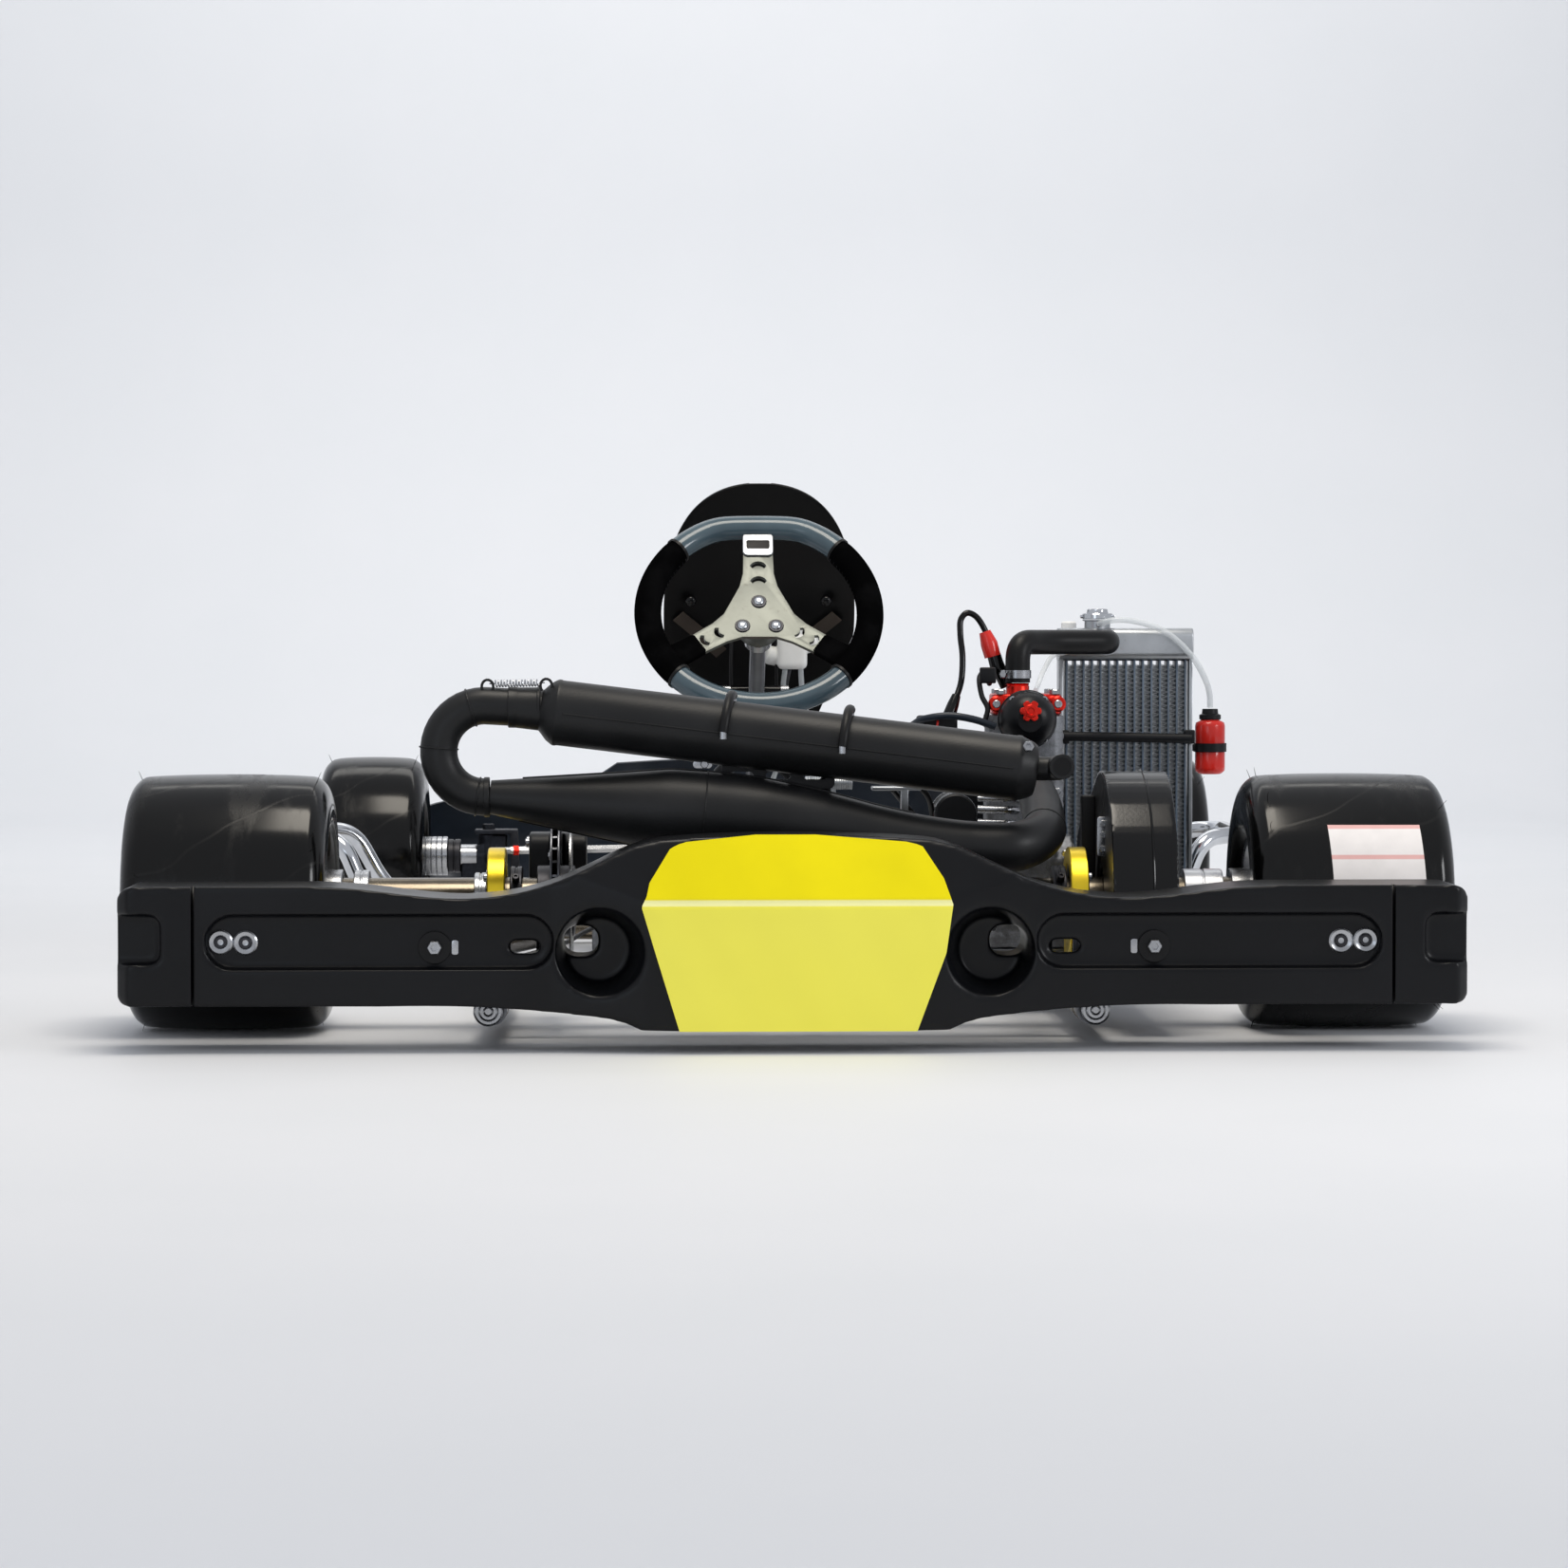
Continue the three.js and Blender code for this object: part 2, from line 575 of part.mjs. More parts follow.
function buildSteering() {
  const column = groupAt(COLUMN.x, COLUMN.y, COLUMN.z);
  column.rotation.x = Math.PI / 2 - COLUMN.tilt;
  column.updateMatrix();

  const rimTube = new THREE.TorusGeometry(GRIP.ring, GRIP.tube, 8, 30);
  const places = rimTube.attributes.position;
  for (let i = 0; i < places.count; i += 1) {
    const angle = Math.atan2(places.getY(i), places.getX(i));
    const flat = Math.sin(angle) > 0 ? GRIP.flat / Math.sin(angle) : GRIP.ring;
    const shift = Math.min(GRIP.ring, flat) - GRIP.ring;
    places.setX(i, places.getX(i) + shift * Math.cos(angle));
    places.setY(i, places.getY(i) + shift * Math.sin(angle));
  }
  const spokes = [90, 210, 330].map((degrees) => {
    const arm = new THREE.BoxGeometry(GRIP.flat, 34, 5).translate(GRIP.flat / 2, 0, 0);
    return arm.rotateZ(THREE.MathUtils.degToRad(degrees));
  });
  const boss = turnedZ([[0, -38], [26, -38], [34, -6], [34, 3], [0, 3]], 14);
  add('steering_wheel', join(rimTube, ...spokes, boss), 'aluminium', column);

  const shaft = turnedZ([[0, -COLUMN.length], [COLUMN.radius, -COLUMN.length], [COLUMN.radius, -38 - GAP],
    [0, -38 - GAP]], 12);
  const pitman = box(-24, 24, -PITMAN.drop - 9, 6, PITMAN.along - 4, PITMAN.along + 4);
  add('steering_shaft', join(shaft, pitman), 'steel', column);

  // A tube hoop on the front cross tube carries the nylon bearing block.
  const foot = RAIL.z + CROSS.radius + 2;
  const hoop = bentPath([
    [COLUMN.x - 70, 440, foot], [COLUMN.x - 48, 300, 256],
    [COLUMN.x + 48, 300, 256], [COLUMN.x + 70, 440, foot],
  ], 40);
  const block = box(-28, 28, -36, 22, -290, -252).applyMatrix4(column.matrix);
  const hole = turnedZ([[0, -330], [COLUMN.radius + 1, -330], [COLUMN.radius + 1, -210], [0, -210]], 12);
  const support = cut(join(tube(hoop, 9, 14), block), hole.applyMatrix4(column.matrix));
  add('steering_support', support, 'satinBlack');
}

function buildPedals() {
  const pivot = { y: 612, z: 62, height: 158 };
  for (const [name, side] of [['brake_pedal', -1], ['throttle_pedal', 1]]) {
    const pedal = groupAt(side * 96, pivot.y, pivot.z);
    const barrel = rod([-16, 0, 0], [16, 0, 0], 9);
    const arm = rod([0, 0, 0], [0, -22, pivot.height], 6, 8);
    const footBar = rod([side * -36, -22, pivot.height], [side * 28, -22, pivot.height], 9);
    add(name, join(barrel, arm, footBar), 'aluminium', pedal);
  }
  const cylinder = rod([-205, 250, 56], [-205, 345, 56], 13);
  const foot = box(-222, -188, 262, 334, RAIL.z - RAIL.radius + GAP, 52);
  add('brake_master_cylinder', join(cylinder, foot), 'greyCasting');
}

// ---------------------------------------------------------------- engine

function buildEngine() {
  const { left, right, front, back } = ENGINE;
  const railTop = RAIL.z + RAIL.radius + GAP;
  add('engine_mount', box(left + 10, right + 12, back + 15, front - 15, railTop, railTop + 22), 'aluminium');

  const caseSide = polygon([
    [back + 14, 73], [front - 20, 73], [front, 96], [front, 176], [front - 14, 196],
    [back + 28, 196], [back, 172], [back, 92],
  ]);
  const nose = rod([right - 5, CRANK.y, CRANK.z], [SPROCKET.x - 14, CRANK.y, CRANK.z], 9, 12);
  add('engine_crankcase', join(extrudeX(caseSide, left, right), nose), 'greyCasting');

  const sprocketRadius = (SPROCKET.engineTeeth * SPROCKET.pitch) / (2 * Math.PI);
  const small = turnedX([
    [0, SPROCKET.x - 13], [11, SPROCKET.x - 13], [11, SPROCKET.x - 2], [sprocketRadius, SPROCKET.x - 2],
    [sprocketRadius, SPROCKET.x + 2], [9, SPROCKET.x + 2], [9, SPROCKET.x + 10], [0, SPROCKET.x + 10],
  ], 16);
  add('engine_sprocket', small, 'steel', groupAt(0, CRANK.y, CRANK.z));

  const barrel = extrudeZ(roundedRect(274, -357, 86, 90, 16), 196 + GAP, 330);
  const exhaustFlange = rod([269, -410, 262], [269, -395, 262], 26, 12);
  add('engine_cylinder', join(barrel, exhaustFlange), 'greyCasting');

  const cover = extrudeZ(roundedRect(276, -355, 78, 84, 20), 330 + GAP, 357);
  const spout = turnedZ([[0, 350], [13, 350], [13, 366], [0, 366]], 12).translate(267, -362, 0);
  add('head_cover', join(cover, spout), 'red');

  const valve = groupAt(274, -402 - GAP, 326);
  const dome = turnedZ([[0, 0], [33, 0], [33, 18], [27, 34], [14, 42], [0, 42]], 16).rotateX(Math.PI / 2);
  add('power_valve_cover', common(dome, box(-40, 40, -60, 0, -60, 60)), 'satinBlack', valve);
  const knob = turnedZ([[0, 0], [12, 0], [12, 9], [10, 11], [0, 11]], 18).rotateX(Math.PI / 2);
  add('power_valve_knob', knob, 'red', groupAt(0, -42 - GAP, 10, valve));

  add('carburettor', join(box(246, 302, -289.7, -236, 146, 196), rod([274, -240, 171], [274, -226, 171], 22, 12)),
    'greyCasting');
  const airbox = common(
    extrudeZ(roundedRect(259, -152, 118, 146, 22), 124, 250),
    extrudeX(polygon([[-225.5, 124], [-80, 124], [-80, 222], [-104, 250], [-225.5, 250]]), 180, 330),
  );
  add('intake_silencer', airbox, 'satinBlack');
}

function buildExhaust() {
  const { y } = PIPE;
  const chamberPath = smoothPath([
    [269, -410.6, 262], [269, -480, 262], [271, -560, 250], [272, -630, 228], [264, -688, 209],
    [232, y, 199], [185, y, 198], [130, y, 203], [20, y, 222], [-82, y, 234], [-200, y, 243], [-313, y, 252],
  ]);
  const chamberRadius = stops([0, 18], [0.3, 23], [0.42, 28], [0.55, 33], [0.68, 43], [0.79, 43], [1, 17]);
  add('expansion_chamber', taperedTube(chamberPath, 24, 10, chamberRadius), 'satinBlack');

  const bendRadius = 47.5;
  const bendPoints = [];
  for (let i = 0; i <= 8; i += 1) {
    const angle = (i / 8) * Math.PI;
    bendPoints.push([-318.6 - bendRadius * Math.sin(angle), y, 252 + bendRadius * (1 - Math.cos(angle))]);
  }
  const elbow = smoothPath([[-316.5, y, 252], ...bendPoints, [-288.3, y, 345.5]]);
  add('exhaust_elbow', tube(elbow, 19.5, 13, 10), 'satinBlack');

  const [start, end] = [new THREE.Vector3(-285, y, 345), new THREE.Vector3(256, y, 279)];
  const long = start.distanceTo(end);
  const can = turnedX([[0, 0], [21, 0], [21, 26], [30, 34], [34, 42], [34, long - 16], [28, long - 4], [0, long]], 14);
  can.rotateY(Math.asin((start.z - end.z) / long)).translate(start.x, y, start.z);
  const stub = bentPath([[238, y, 281], [280, y, 281], [280, y - 34, 284]], 24);
  const bore = rod([280, y - 40, 284], [280, y - 14, 284], 9.5, 12);
  add('exhaust_silencer', cut(join(can, tube(stub, 12.5, 6, 10)), bore), 'satinBlack');
}

function buildElectrics() {
  add('ignition_coil', box(152, 197, -396, -364, 305, 330), 'satinBlack');
  const lead = smoothPath([
    [240, -345, 400], [232, -345, 424], [221, -345, 441], [211, -346, 445], [204, -348, 438], [203, -352, 420],
    [205, -358, 396], [203, -365, 368], [196, -375, 348], [190, -380, 334],
  ]);
  const cap = rod([246, -345, 382], [238, -345, 410], 8.5, 8);
  const boot = rod([256, -345, 361.5], [245, -345, 388], 7, 8);
  add('ht_lead', join(tube(lead, 3.5, 18, 7), cap, boot), 'glossBlack');
}

// ---------------------------------------------------------------- cooling

function buildCooling() {
  const { left, right, back, front, bottom, top } = RADIATOR;
  const core = box(left + 5, right - 5, back + 3, front - 3, bottom + 30, top - 34);
  const topTank = extrudeX(roundedRect((back + front) / 2, top - 19, front - back, 38, 10), left, right);
  const lowTank = extrudeX(roundedRect((back + front) / 2, bottom + 17, front - back, 34, 10), left, right);
  const neck = turnedZ([[0, top - 8], [15, top - 8], [15, top + 10], [0, top + 10]]).translate(373, -204, 0);
  const inlet = rod([378, back + 4, 412], [378, back - 22, 412], 11, 12);
  add('radiator', join(core, topTank, lowTank, neck, inlet), 'aluminium');
  const cap = turnedZ([[0, 0], [18, 0], [18, 7], [12, 12], [0, 12]]);
  add('radiator_cap', cap, 'chrome', groupAt(373, -204, top + 10 + GAP));

  const hose = bentPath([
    [267, -362, 366.5], [267, -362, 412], [300, -325, 412], [378, -285, 412], [378, back - 22.5, 412],
  ], 30);
  add('radiator_hose', tube(hose, 14, 18, 10), 'satinBlack');

  const bottle = turnedZ([[0, 258], [14, 258], [17.5, 262], [17.5, 318], [11, 322], [9, 334], [0, 334]]);
  add('overflow_bottle', bottle.translate(505, -204, 0), 'red');
  const overflow = smoothPath([
    [373, -219.8, 433], [376, -228, 434], [388, -233, 437], [412, -234, 436], [448, -234, 424],
    [478, -233, 398], [497, -223, 368], [504, -208, 350], [505, -204, 336],
  ]);
  add('overflow_hose', tube(overflow, 3.5, 20, 7), 'clearPlastic');
}

buildFrame();
buildBodywork();
buildRearBumper();
buildRearAxle();
buildFrontCorners();
buildSteering();
buildPedals();
buildEngine();
buildExhaust();
buildElectrics();
buildCooling();

export default kart;
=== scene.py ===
"""Looks of a racing kart rolling chassis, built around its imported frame.

Metres, +X to the driver's right (the engine side), +Y forward, +Z up. The sizes in the classes
below are in millimetres and are turned into metres where a mesh is made.
"""
import logging
import math
from dataclasses import dataclass
from enum import Enum
from typing import Callable, Iterable, Sequence

import bmesh
import bpy
import numpy as np
from mathutils import Euler, Matrix, Vector


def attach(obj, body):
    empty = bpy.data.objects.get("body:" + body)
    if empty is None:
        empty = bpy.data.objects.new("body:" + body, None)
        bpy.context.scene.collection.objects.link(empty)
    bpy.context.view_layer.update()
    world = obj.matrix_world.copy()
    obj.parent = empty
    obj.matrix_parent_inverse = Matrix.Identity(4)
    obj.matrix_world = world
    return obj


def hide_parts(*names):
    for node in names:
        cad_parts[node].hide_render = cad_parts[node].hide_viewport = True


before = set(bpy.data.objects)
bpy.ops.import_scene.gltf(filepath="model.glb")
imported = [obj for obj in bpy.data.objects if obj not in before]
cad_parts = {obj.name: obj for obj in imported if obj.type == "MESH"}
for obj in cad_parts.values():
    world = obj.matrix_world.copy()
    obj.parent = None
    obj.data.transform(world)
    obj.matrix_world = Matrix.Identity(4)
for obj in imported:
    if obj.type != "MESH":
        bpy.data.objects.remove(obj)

logging.basicConfig(level=logging.INFO, format="%(message)s")
LOG = logging.getLogger("kart")

MM = 0.001
SIDES: dict[str, int] = {"left": -1, "right": 1}
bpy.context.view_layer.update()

Point = Sequence[float]
Colour = tuple[float, float, float]
Piece = bpy.types.Object
Outline = list[tuple[float, float]]


# ------------------------------------------------------------------ shader maths

class Field:
    """A shader socket with Python arithmetic, so that a mask reads as an expression."""

    def __init__(self, tree: "MaterialTree", socket: bpy.types.NodeSocket) -> None:
        """Wraps one output socket of a material tree.

        Args:
            tree: the material being filled.
            socket: the radius of its hexagon socket, or none.
        """
        self.tree = tree
        self.socket = socket

    def _math(self, operation: str, *values: object) -> "Field":
        """Adds one Math node and returns its result.

        Args:
            operation: the operation's name.

        Returns:
            The new field.
        """
        inputs = dict(enumerate(values))
        return self.tree.node("ShaderNodeMath", {"operation": operation}, inputs, "Value")

    def __add__(self, other: object) -> "Field":
        """Sum."""
        return self._math("ADD", self, other)

    def __radd__(self, other: object) -> "Field":
        """Reflected sum."""
        return self._math("ADD", other, self)

    def __sub__(self, other: object) -> "Field":
        """Difference."""
        return self._math("SUBTRACT", self, other)

    def __rsub__(self, other: object) -> "Field":
        """Reflected difference."""
        return self._math("SUBTRACT", other, self)

    def __mul__(self, other: object) -> "Field":
        """Product."""
        return self._math("MULTIPLY", self, other)

    def __rmul__(self, other: object) -> "Field":
        """Reflected product."""
        return self._math("MULTIPLY", other, self)

    def above(self, level: float) -> "Field":
        """1 where the value is over the level, else 0."""
        return self._math("GREATER_THAN", self, level)

    def between(self, low: float, high: float) -> "Field":
        """A smooth rise from 0 at low to 1 at high.

        Args:
            low: the lower end or corner.
            high: the upper end or corner.

        Returns:
            The stretched and clamped field.
        """
        settings = {"interpolation_type": "SMOOTHSTEP"}
        inputs = {"Value": self, "From Min": low, "From Max": high}
        return self.tree.node("ShaderNodeMapRange", settings, inputs, "Result")


class MaterialTree:
    """Builds one material around a Principled BSDF."""

    def __init__(self, name: str) -> None:
        """Starts an empty node tree with its output and its main shader.

        Args:
            name: the piece's name.
        """
        self.material = bpy.data.materials.new(name)
        self.material.use_nodes = True
        self.nodes = self.material.node_tree.nodes
        self.links = self.material.node_tree.links
        self.nodes.clear()
        self.shader = self.nodes.new("ShaderNodeBsdfPrincipled")
        output = self.nodes.new("ShaderNodeOutputMaterial")
        self.links.new(self.shader.outputs["BSDF"], output.inputs["Surface"])

    def node(self, kind: str, settings: dict, inputs: dict, output: str | int = 0) -> Field:
        """Adds a node.

        Args:
            kind: the node's type.
            settings: its properties, set before its sockets.
            inputs: socket name or index to a number, a colour, a vector or a Field.
            output: the name or index of the socket to return.

        Returns:
            The chosen output socket.
        """
        node = self.nodes.new(kind)
        for key, value in settings.items():
            if key == "stops":
                self._stops(node, value)
            else:
                setattr(node, key, value)
        for key, value in inputs.items():
            if isinstance(value, Field):
                self.links.new(value.socket, node.inputs[key])
            else:
                node.inputs[key].default_value = value
        return Field(self, node.outputs[output])

    @staticmethod
    def _stops(node: bpy.types.Node, stops: Sequence[tuple[float, Colour]]) -> None:
        """Sets a colour ramp's stops.

        Args:
            node: the colour ramp.
            stops: places and colours along the ramp.
        """
        elements = node.color_ramp.elements
        while len(elements) < len(stops):
            elements.new(0.5)
        for element, (place, colour) in zip(elements, stops):
            element.position = place
            element.color = (*colour, 1.0)

    def place(self, scale: Point = (1.0, 1.0, 1.0), turn: Point = (0.0, 0.0, 0.0)) -> Field:
        """Object coordinates, stretched and turned.

        Args:
            scale: stretch along each axis.
            turn: turn about each axis in radians.

        Returns:
            The stretched and turned coordinates.
        """
        place = self.node("ShaderNodeTexCoord", {}, {}, "Object")
        inputs = {"Vector": place, "Scale": tuple(scale), "Rotation": tuple(turn)}
        return self.node("ShaderNodeMapping", {}, inputs, "Vector")

    def axis(self, letter: str) -> Field:
        """One of the object coordinates, in metres.

        Args:
            letter: X, Y or Z.

        Returns:
            The new field.
        """
        place = self.node("ShaderNodeTexCoord", {}, {}, "Object")
        return self.node("ShaderNodeSeparateXYZ", {}, {"Vector": place}, letter)

    def noise(self, scale: float, detail: float = 3.0, rough: float = 0.5,
              where: Field | None = None) -> Field:
        """Noise from 0 to 1, in Object coordinates.

        Args:
            scale: stretch along each axis.
            detail: how many octaves.
            rough: the roughness of its detail.
            where: the coordinates to use.

        Returns:
            The new field.
        """
        inputs = {"Vector": where or self.place(), "Scale": scale, "Detail": detail, "Roughness": rough}
        return self.node("ShaderNodeTexNoise", {}, inputs, "Fac")

    def cells(self, scale: float, where: Field | None = None) -> Field:
        """Distance to the nearest cell centre.

        Args:
            scale: stretch along each axis.
            where: the coordinates to use.

        Returns:
            The new field.
        """
        inputs = {"Vector": where or self.place(), "Scale": scale}
        return self.node("ShaderNodeTexVoronoi", {}, inputs, "Distance")

    def mix(self, mask: Field, low: Colour, high: Colour) -> Field:
        """A colour between two, by a mask.

        Args:
            mask: how far the second colour shows.
            low: the lower end or corner.
            high: the upper end or corner.

        Returns:
            The new field.
        """
        settings = {"stops": [(0.0, low), (1.0, high)]}
        return self.node("ShaderNodeValToRGB", settings, {"Fac": mask}, "Color")

    def blend(self, mask: Field, low: Field, high: Colour | Field) -> Field:
        """Lays a colour over a colour field, by a mask.

        Args:
            mask: how far the second colour shows.
            low: the lower end or corner.
            high: the upper end or corner.

        Returns:
            The laid-over colour.
        """
        high_value = high if isinstance(high, Field) else (*high, 1.0)
        inputs = {"Factor": mask, 6: low, 7: high_value}
        return self.node("ShaderNodeMix", {"data_type": "RGBA"}, inputs, 2)

    def bump(self, height: Field, depth: float, strength: float = 1.0) -> None:
        """Feeds the shader's Normal; depth is in metres.

        Args:
            height: its height in millimetres.
            depth: the depth in metres.
            strength: how strongly it shows.
        """
        inputs = {"Height": height, "Distance": depth, "Strength": strength}
        self.wire("Normal", self.node("ShaderNodeBump", {}, inputs, "Normal"))

    def wire(self, socket: str, value: Field) -> None:
        """Links a varying value to one of the shader's sockets."""
        self.links.new(value.socket, self.shader.inputs[socket])

    def fix(self, **values: object) -> None:
        """Sets constants on the shader; an underscore in a name stands for a space."""
        for key, value in values.items():
            socket = self.shader.inputs[key.replace("_", " ")]
            if isinstance(value, tuple) and len(value) == 3 and socket.type == "RGBA":
                value = (*value, 1.0)
            socket.default_value = value


# ------------------------------------------------------------------ finishes

@dataclass(frozen=True)
class Finish:
    """A surface finish, made into a material once and then shared."""

    name: str
    slot: str
    colour: Colour

    def build(self) -> bpy.types.Material:
        """Makes the material, or returns the one already made.

        Returns:
            The material.
        """
        title = f"{self.name}_finish"
        known = bpy.data.materials.get(title)
        if known:
            return known
        tree = MaterialTree(title)
        self.dress(tree)
        return tree.material

    def dress(self, tree: MaterialTree) -> None:
        """Fills the tree; each kind of finish has its own."""
        raise NotImplementedError

    def shade(self, factor: float) -> Colour:
        """The base colour, lighter or darker."""
        return tuple(min(1.0, channel * factor) for channel in self.colour)


@dataclass(frozen=True)
class Moulded(Finish):
    """Moulded plastic or rubber: a fine grain, cloudy roughness, light scuffs and dust."""

    roughness: float = 0.42
    grain: float = 900.0
    depth: float = 0.00012
    coat: float = 0.0
    dust: float = 0.12
    specular: float = 0.22

    def dress(self, tree: MaterialTree) -> None:
        """Grain in the bump, scuffs in the roughness, dust in the colour.

        Args:
            tree: the material being filled.
        """
        cloud = tree.noise(9.0, 4.0)
        fine = tree.noise(self.grain, 2.0)
        scuffs = tree.noise(60.0, 6.0, 0.7, tree.place((1.0, 1.0, 6.0), (0.3, 0.2, 0.1)))
        marks = scuffs.between(0.62, 0.76)
        base = tree.mix(cloud.between(0.3, 0.75), self.shade(0.82), self.shade(1.25))
        dusty = tuple(channel * 0.8 + 0.02 for channel in self.colour)
        tree.wire("Base Color", tree.blend(marks * self.dust, base, dusty))
        tree.wire("Roughness", cloud * 0.16 + (self.roughness - 0.08) + marks * 0.14)
        tree.bump(fine + marks * 0.4, self.depth, 0.6)
        tree.fix(Coat_Weight=self.coat, Coat_Roughness=0.12, Specular_IOR_Level=self.specular)


@dataclass(frozen=True)
class Metal(Finish):
    """Bare or plated metal, brushed along one axis, with smudges and fine scratches."""

    roughness: float = 0.3
    brush: Point = (1.0, 1.0, 1.0)
    depth: float = 0.00004
    grain: float = 500.0
    stain: Colour = (0.12, 0.10, 0.08)

    def dress(self, tree: MaterialTree) -> None:
        """Streaks in the bump, smudges in the roughness, faint stains in the colour.

        Args:
            tree: the material being filled.
        """
        streaks = tree.noise(self.grain, 4.0, 0.6, tree.place(self.brush))
        smudge = tree.noise(24.0, 5.0)
        wear = tree.noise(130.0, 6.0, 0.75).between(0.56, 0.74)
        base = tree.mix(smudge.between(0.25, 0.8), self.shade(0.8), self.shade(1.1))
        tree.wire("Base Color", tree.blend(wear * 0.22, base, self.stain))
        tree.wire("Roughness", streaks * 0.12 + smudge * 0.14 + (self.roughness - 0.13) + wear * 0.12)
        tree.bump(streaks, self.depth, 0.5)
        tree.fix(Metallic=1.0)


@dataclass(frozen=True)
class Cast(Finish):
    """A cast and blasted metal skin: granular, matt, dirt in its hollows."""

    roughness: float = 0.5

    def dress(self, tree: MaterialTree) -> None:
        """Grains in the bump, grime in the colour.

        Args:
            tree: the material being filled.
        """
        grains = tree.cells(700.0)
        lumps = tree.noise(150.0, 5.0, 0.65)
        grime = tree.noise(20.0, 5.0).between(0.48, 0.72)
        base = tree.mix(lumps.between(0.3, 0.7), self.shade(0.75), self.shade(1.12))
        tree.wire("Base Color", tree.blend(grime * 0.45, base, (0.05, 0.045, 0.04)))
        tree.wire("Roughness", grains * 0.3 + (self.roughness - 0.1) + grime * 0.15)
        tree.bump(grains + lumps, 0.0003, 0.6)
        tree.fix(Metallic=0.85)


@dataclass(frozen=True)
class HeatPaint(Finish):
    """Satin heat-proof black on formed steel: fine orange peel, dust, a brown bloom by the port."""

    roughness: float = 0.4

    def dress(self, tree: MaterialTree) -> None:
        """Peel in the bump; a bloom that rises towards the exhaust port at the front.

        Args:
            tree: the material being filled.
        """
        peel = tree.noise(420.0, 3.0)
        cloud = tree.noise(14.0, 5.0)
        specks = tree.cells(260.0).between(0.0, 0.16)
        hot = tree.axis("Y").between(-0.66, -0.42) * cloud
        base = tree.mix(cloud.between(0.3, 0.8), self.shade(0.8), self.shade(1.35))
        warm = tree.blend(hot * 0.4, base, (0.03, 0.02, 0.013))
        tree.wire("Base Color", tree.blend((1.0 - specks) * 0.06, warm, (0.03, 0.03, 0.03)))
        tree.wire("Roughness", cloud * 0.18 + (self.roughness - 0.07) + hot * 0.15)
        tree.bump(peel + cloud * 0.5, 0.00022, 0.55)
        tree.fix(Specular_IOR_Level=0.28)


@dataclass(frozen=True)
class SlickRubber(Finish):
    """A new slick tyre: semi-gloss, with flow lines round the crown and cloudy release marks."""

    centre: Point = (0.0, -0.6, 0.136)

    def dress(self, tree: MaterialTree) -> None:
        """Flow lines that run round the axle, and release marks as patches of lower gloss.

        Args:
            tree: the material being filled.
        """
        y, z = tree.axis("Y") - self.centre[1], tree.axis("Z") - self.centre[2]
        turn = tree.node("ShaderNodeMath", {"operation": "ARCTAN2"}, {0: z, 1: y}, "Value")
        x = tree.axis("X")
        bend = tree.noise(7.0, 2.0) * 0.9
        wave = {"operation": "SINE"}
        flow = tree.node("ShaderNodeMath", wave, {0: turn * 9.0 + x * 40.0 + bend * 6.0}, "Value")
        flow_line = flow.between(0.985, 1.0)
        marks = tree.noise(16.0, 6.0, 0.7, tree.place((1.0, 0.35, 0.35))).between(0.52, 0.66)
        fine = tree.noise(700.0, 2.0)
        base = tree.mix(marks, self.shade(0.8), self.shade(1.5))
        tree.wire("Base Color", tree.blend(flow_line * 0.22, base, (0.012, 0.0115, 0.011)))
        tree.wire("Roughness", marks * 0.16 + flow_line * 0.1 + 0.15)
        tree.bump(fine * 0.12 + flow_line * 0.5 + marks * 0.3, 0.00012, 0.4)
        tree.fix(Specular_IOR_Level=0.28)


@dataclass(frozen=True)
class Film(Finish):
    """A coloured film pulled over a block: strong where it slopes, with painted light making its upright
    face paler.
    """

    crease: float = 0.1516

    def dress(self, tree: MaterialTree) -> None:
        """Ripples in the bump, a paler lower face that is painted light, and a painted highlight along the
        crease.

        Args:
            tree: the material being filled.
        """
        height = tree.axis("Z")
        # Painted light: below the crease the upright face is made paler, as if it caught more light than
        # the sloping face; pale is that painted colour.
        lower = 1.0 - height.between(self.crease - 0.006, self.crease + 0.004)
        ripple = tree.noise(16.0, 3.0, 0.5, tree.place((1.0, 1.0, 0.35)))
        rub = tree.noise(7.0, 4.0)
        pale = (self.colour[0] * 1.05, self.colour[1] * 1.17, self.colour[2] + 0.12)
        # Painted highlight: a pale line along the crease.
        crease_painted_highlight = height.between(self.crease - 4e-3, self.crease - 2e-3) * (
            1.0 - height.between(self.crease + 2e-3, self.crease + 4e-3))
        base = tree.mix(rub.between(0.3, 0.8), self.shade(0.93), self.shade(1.05))
        faces = tree.blend(lower * (rub * 0.25 + 0.7), base, pale)
        tree.wire("Base Color", tree.blend(crease_painted_highlight * 0.8, faces, (0.92, 0.92, 0.50)))
        tree.wire("Roughness", rub * 0.12 + 0.26)
        tree.bump(ripple, 0.0012, 0.25)
        tree.fix(Specular_IOR_Level=0.22)


@dataclass(frozen=True)
class Suede(Finish):
    """Brushed suede: a short nap, darker where hands rub it."""

    def dress(self, tree: MaterialTree) -> None:
        """Nap in the bump, rubbed patches in the colour and the roughness.

        Args:
            tree: the material being filled.
        """
        nap = tree.noise(1500.0, 3.0, 0.8)
        rubbed = tree.noise(26.0, 4.0).between(0.4, 0.7)
        tree.wire("Base Color", tree.mix(rubbed + nap * 0.3, self.shade(0.7), self.shade(1.6)))
        tree.wire("Roughness", 0.96 - rubbed * 0.12)
        tree.bump(nap, 0.0001, 0.5)
        tree.fix(Specular_IOR_Level=0.0)


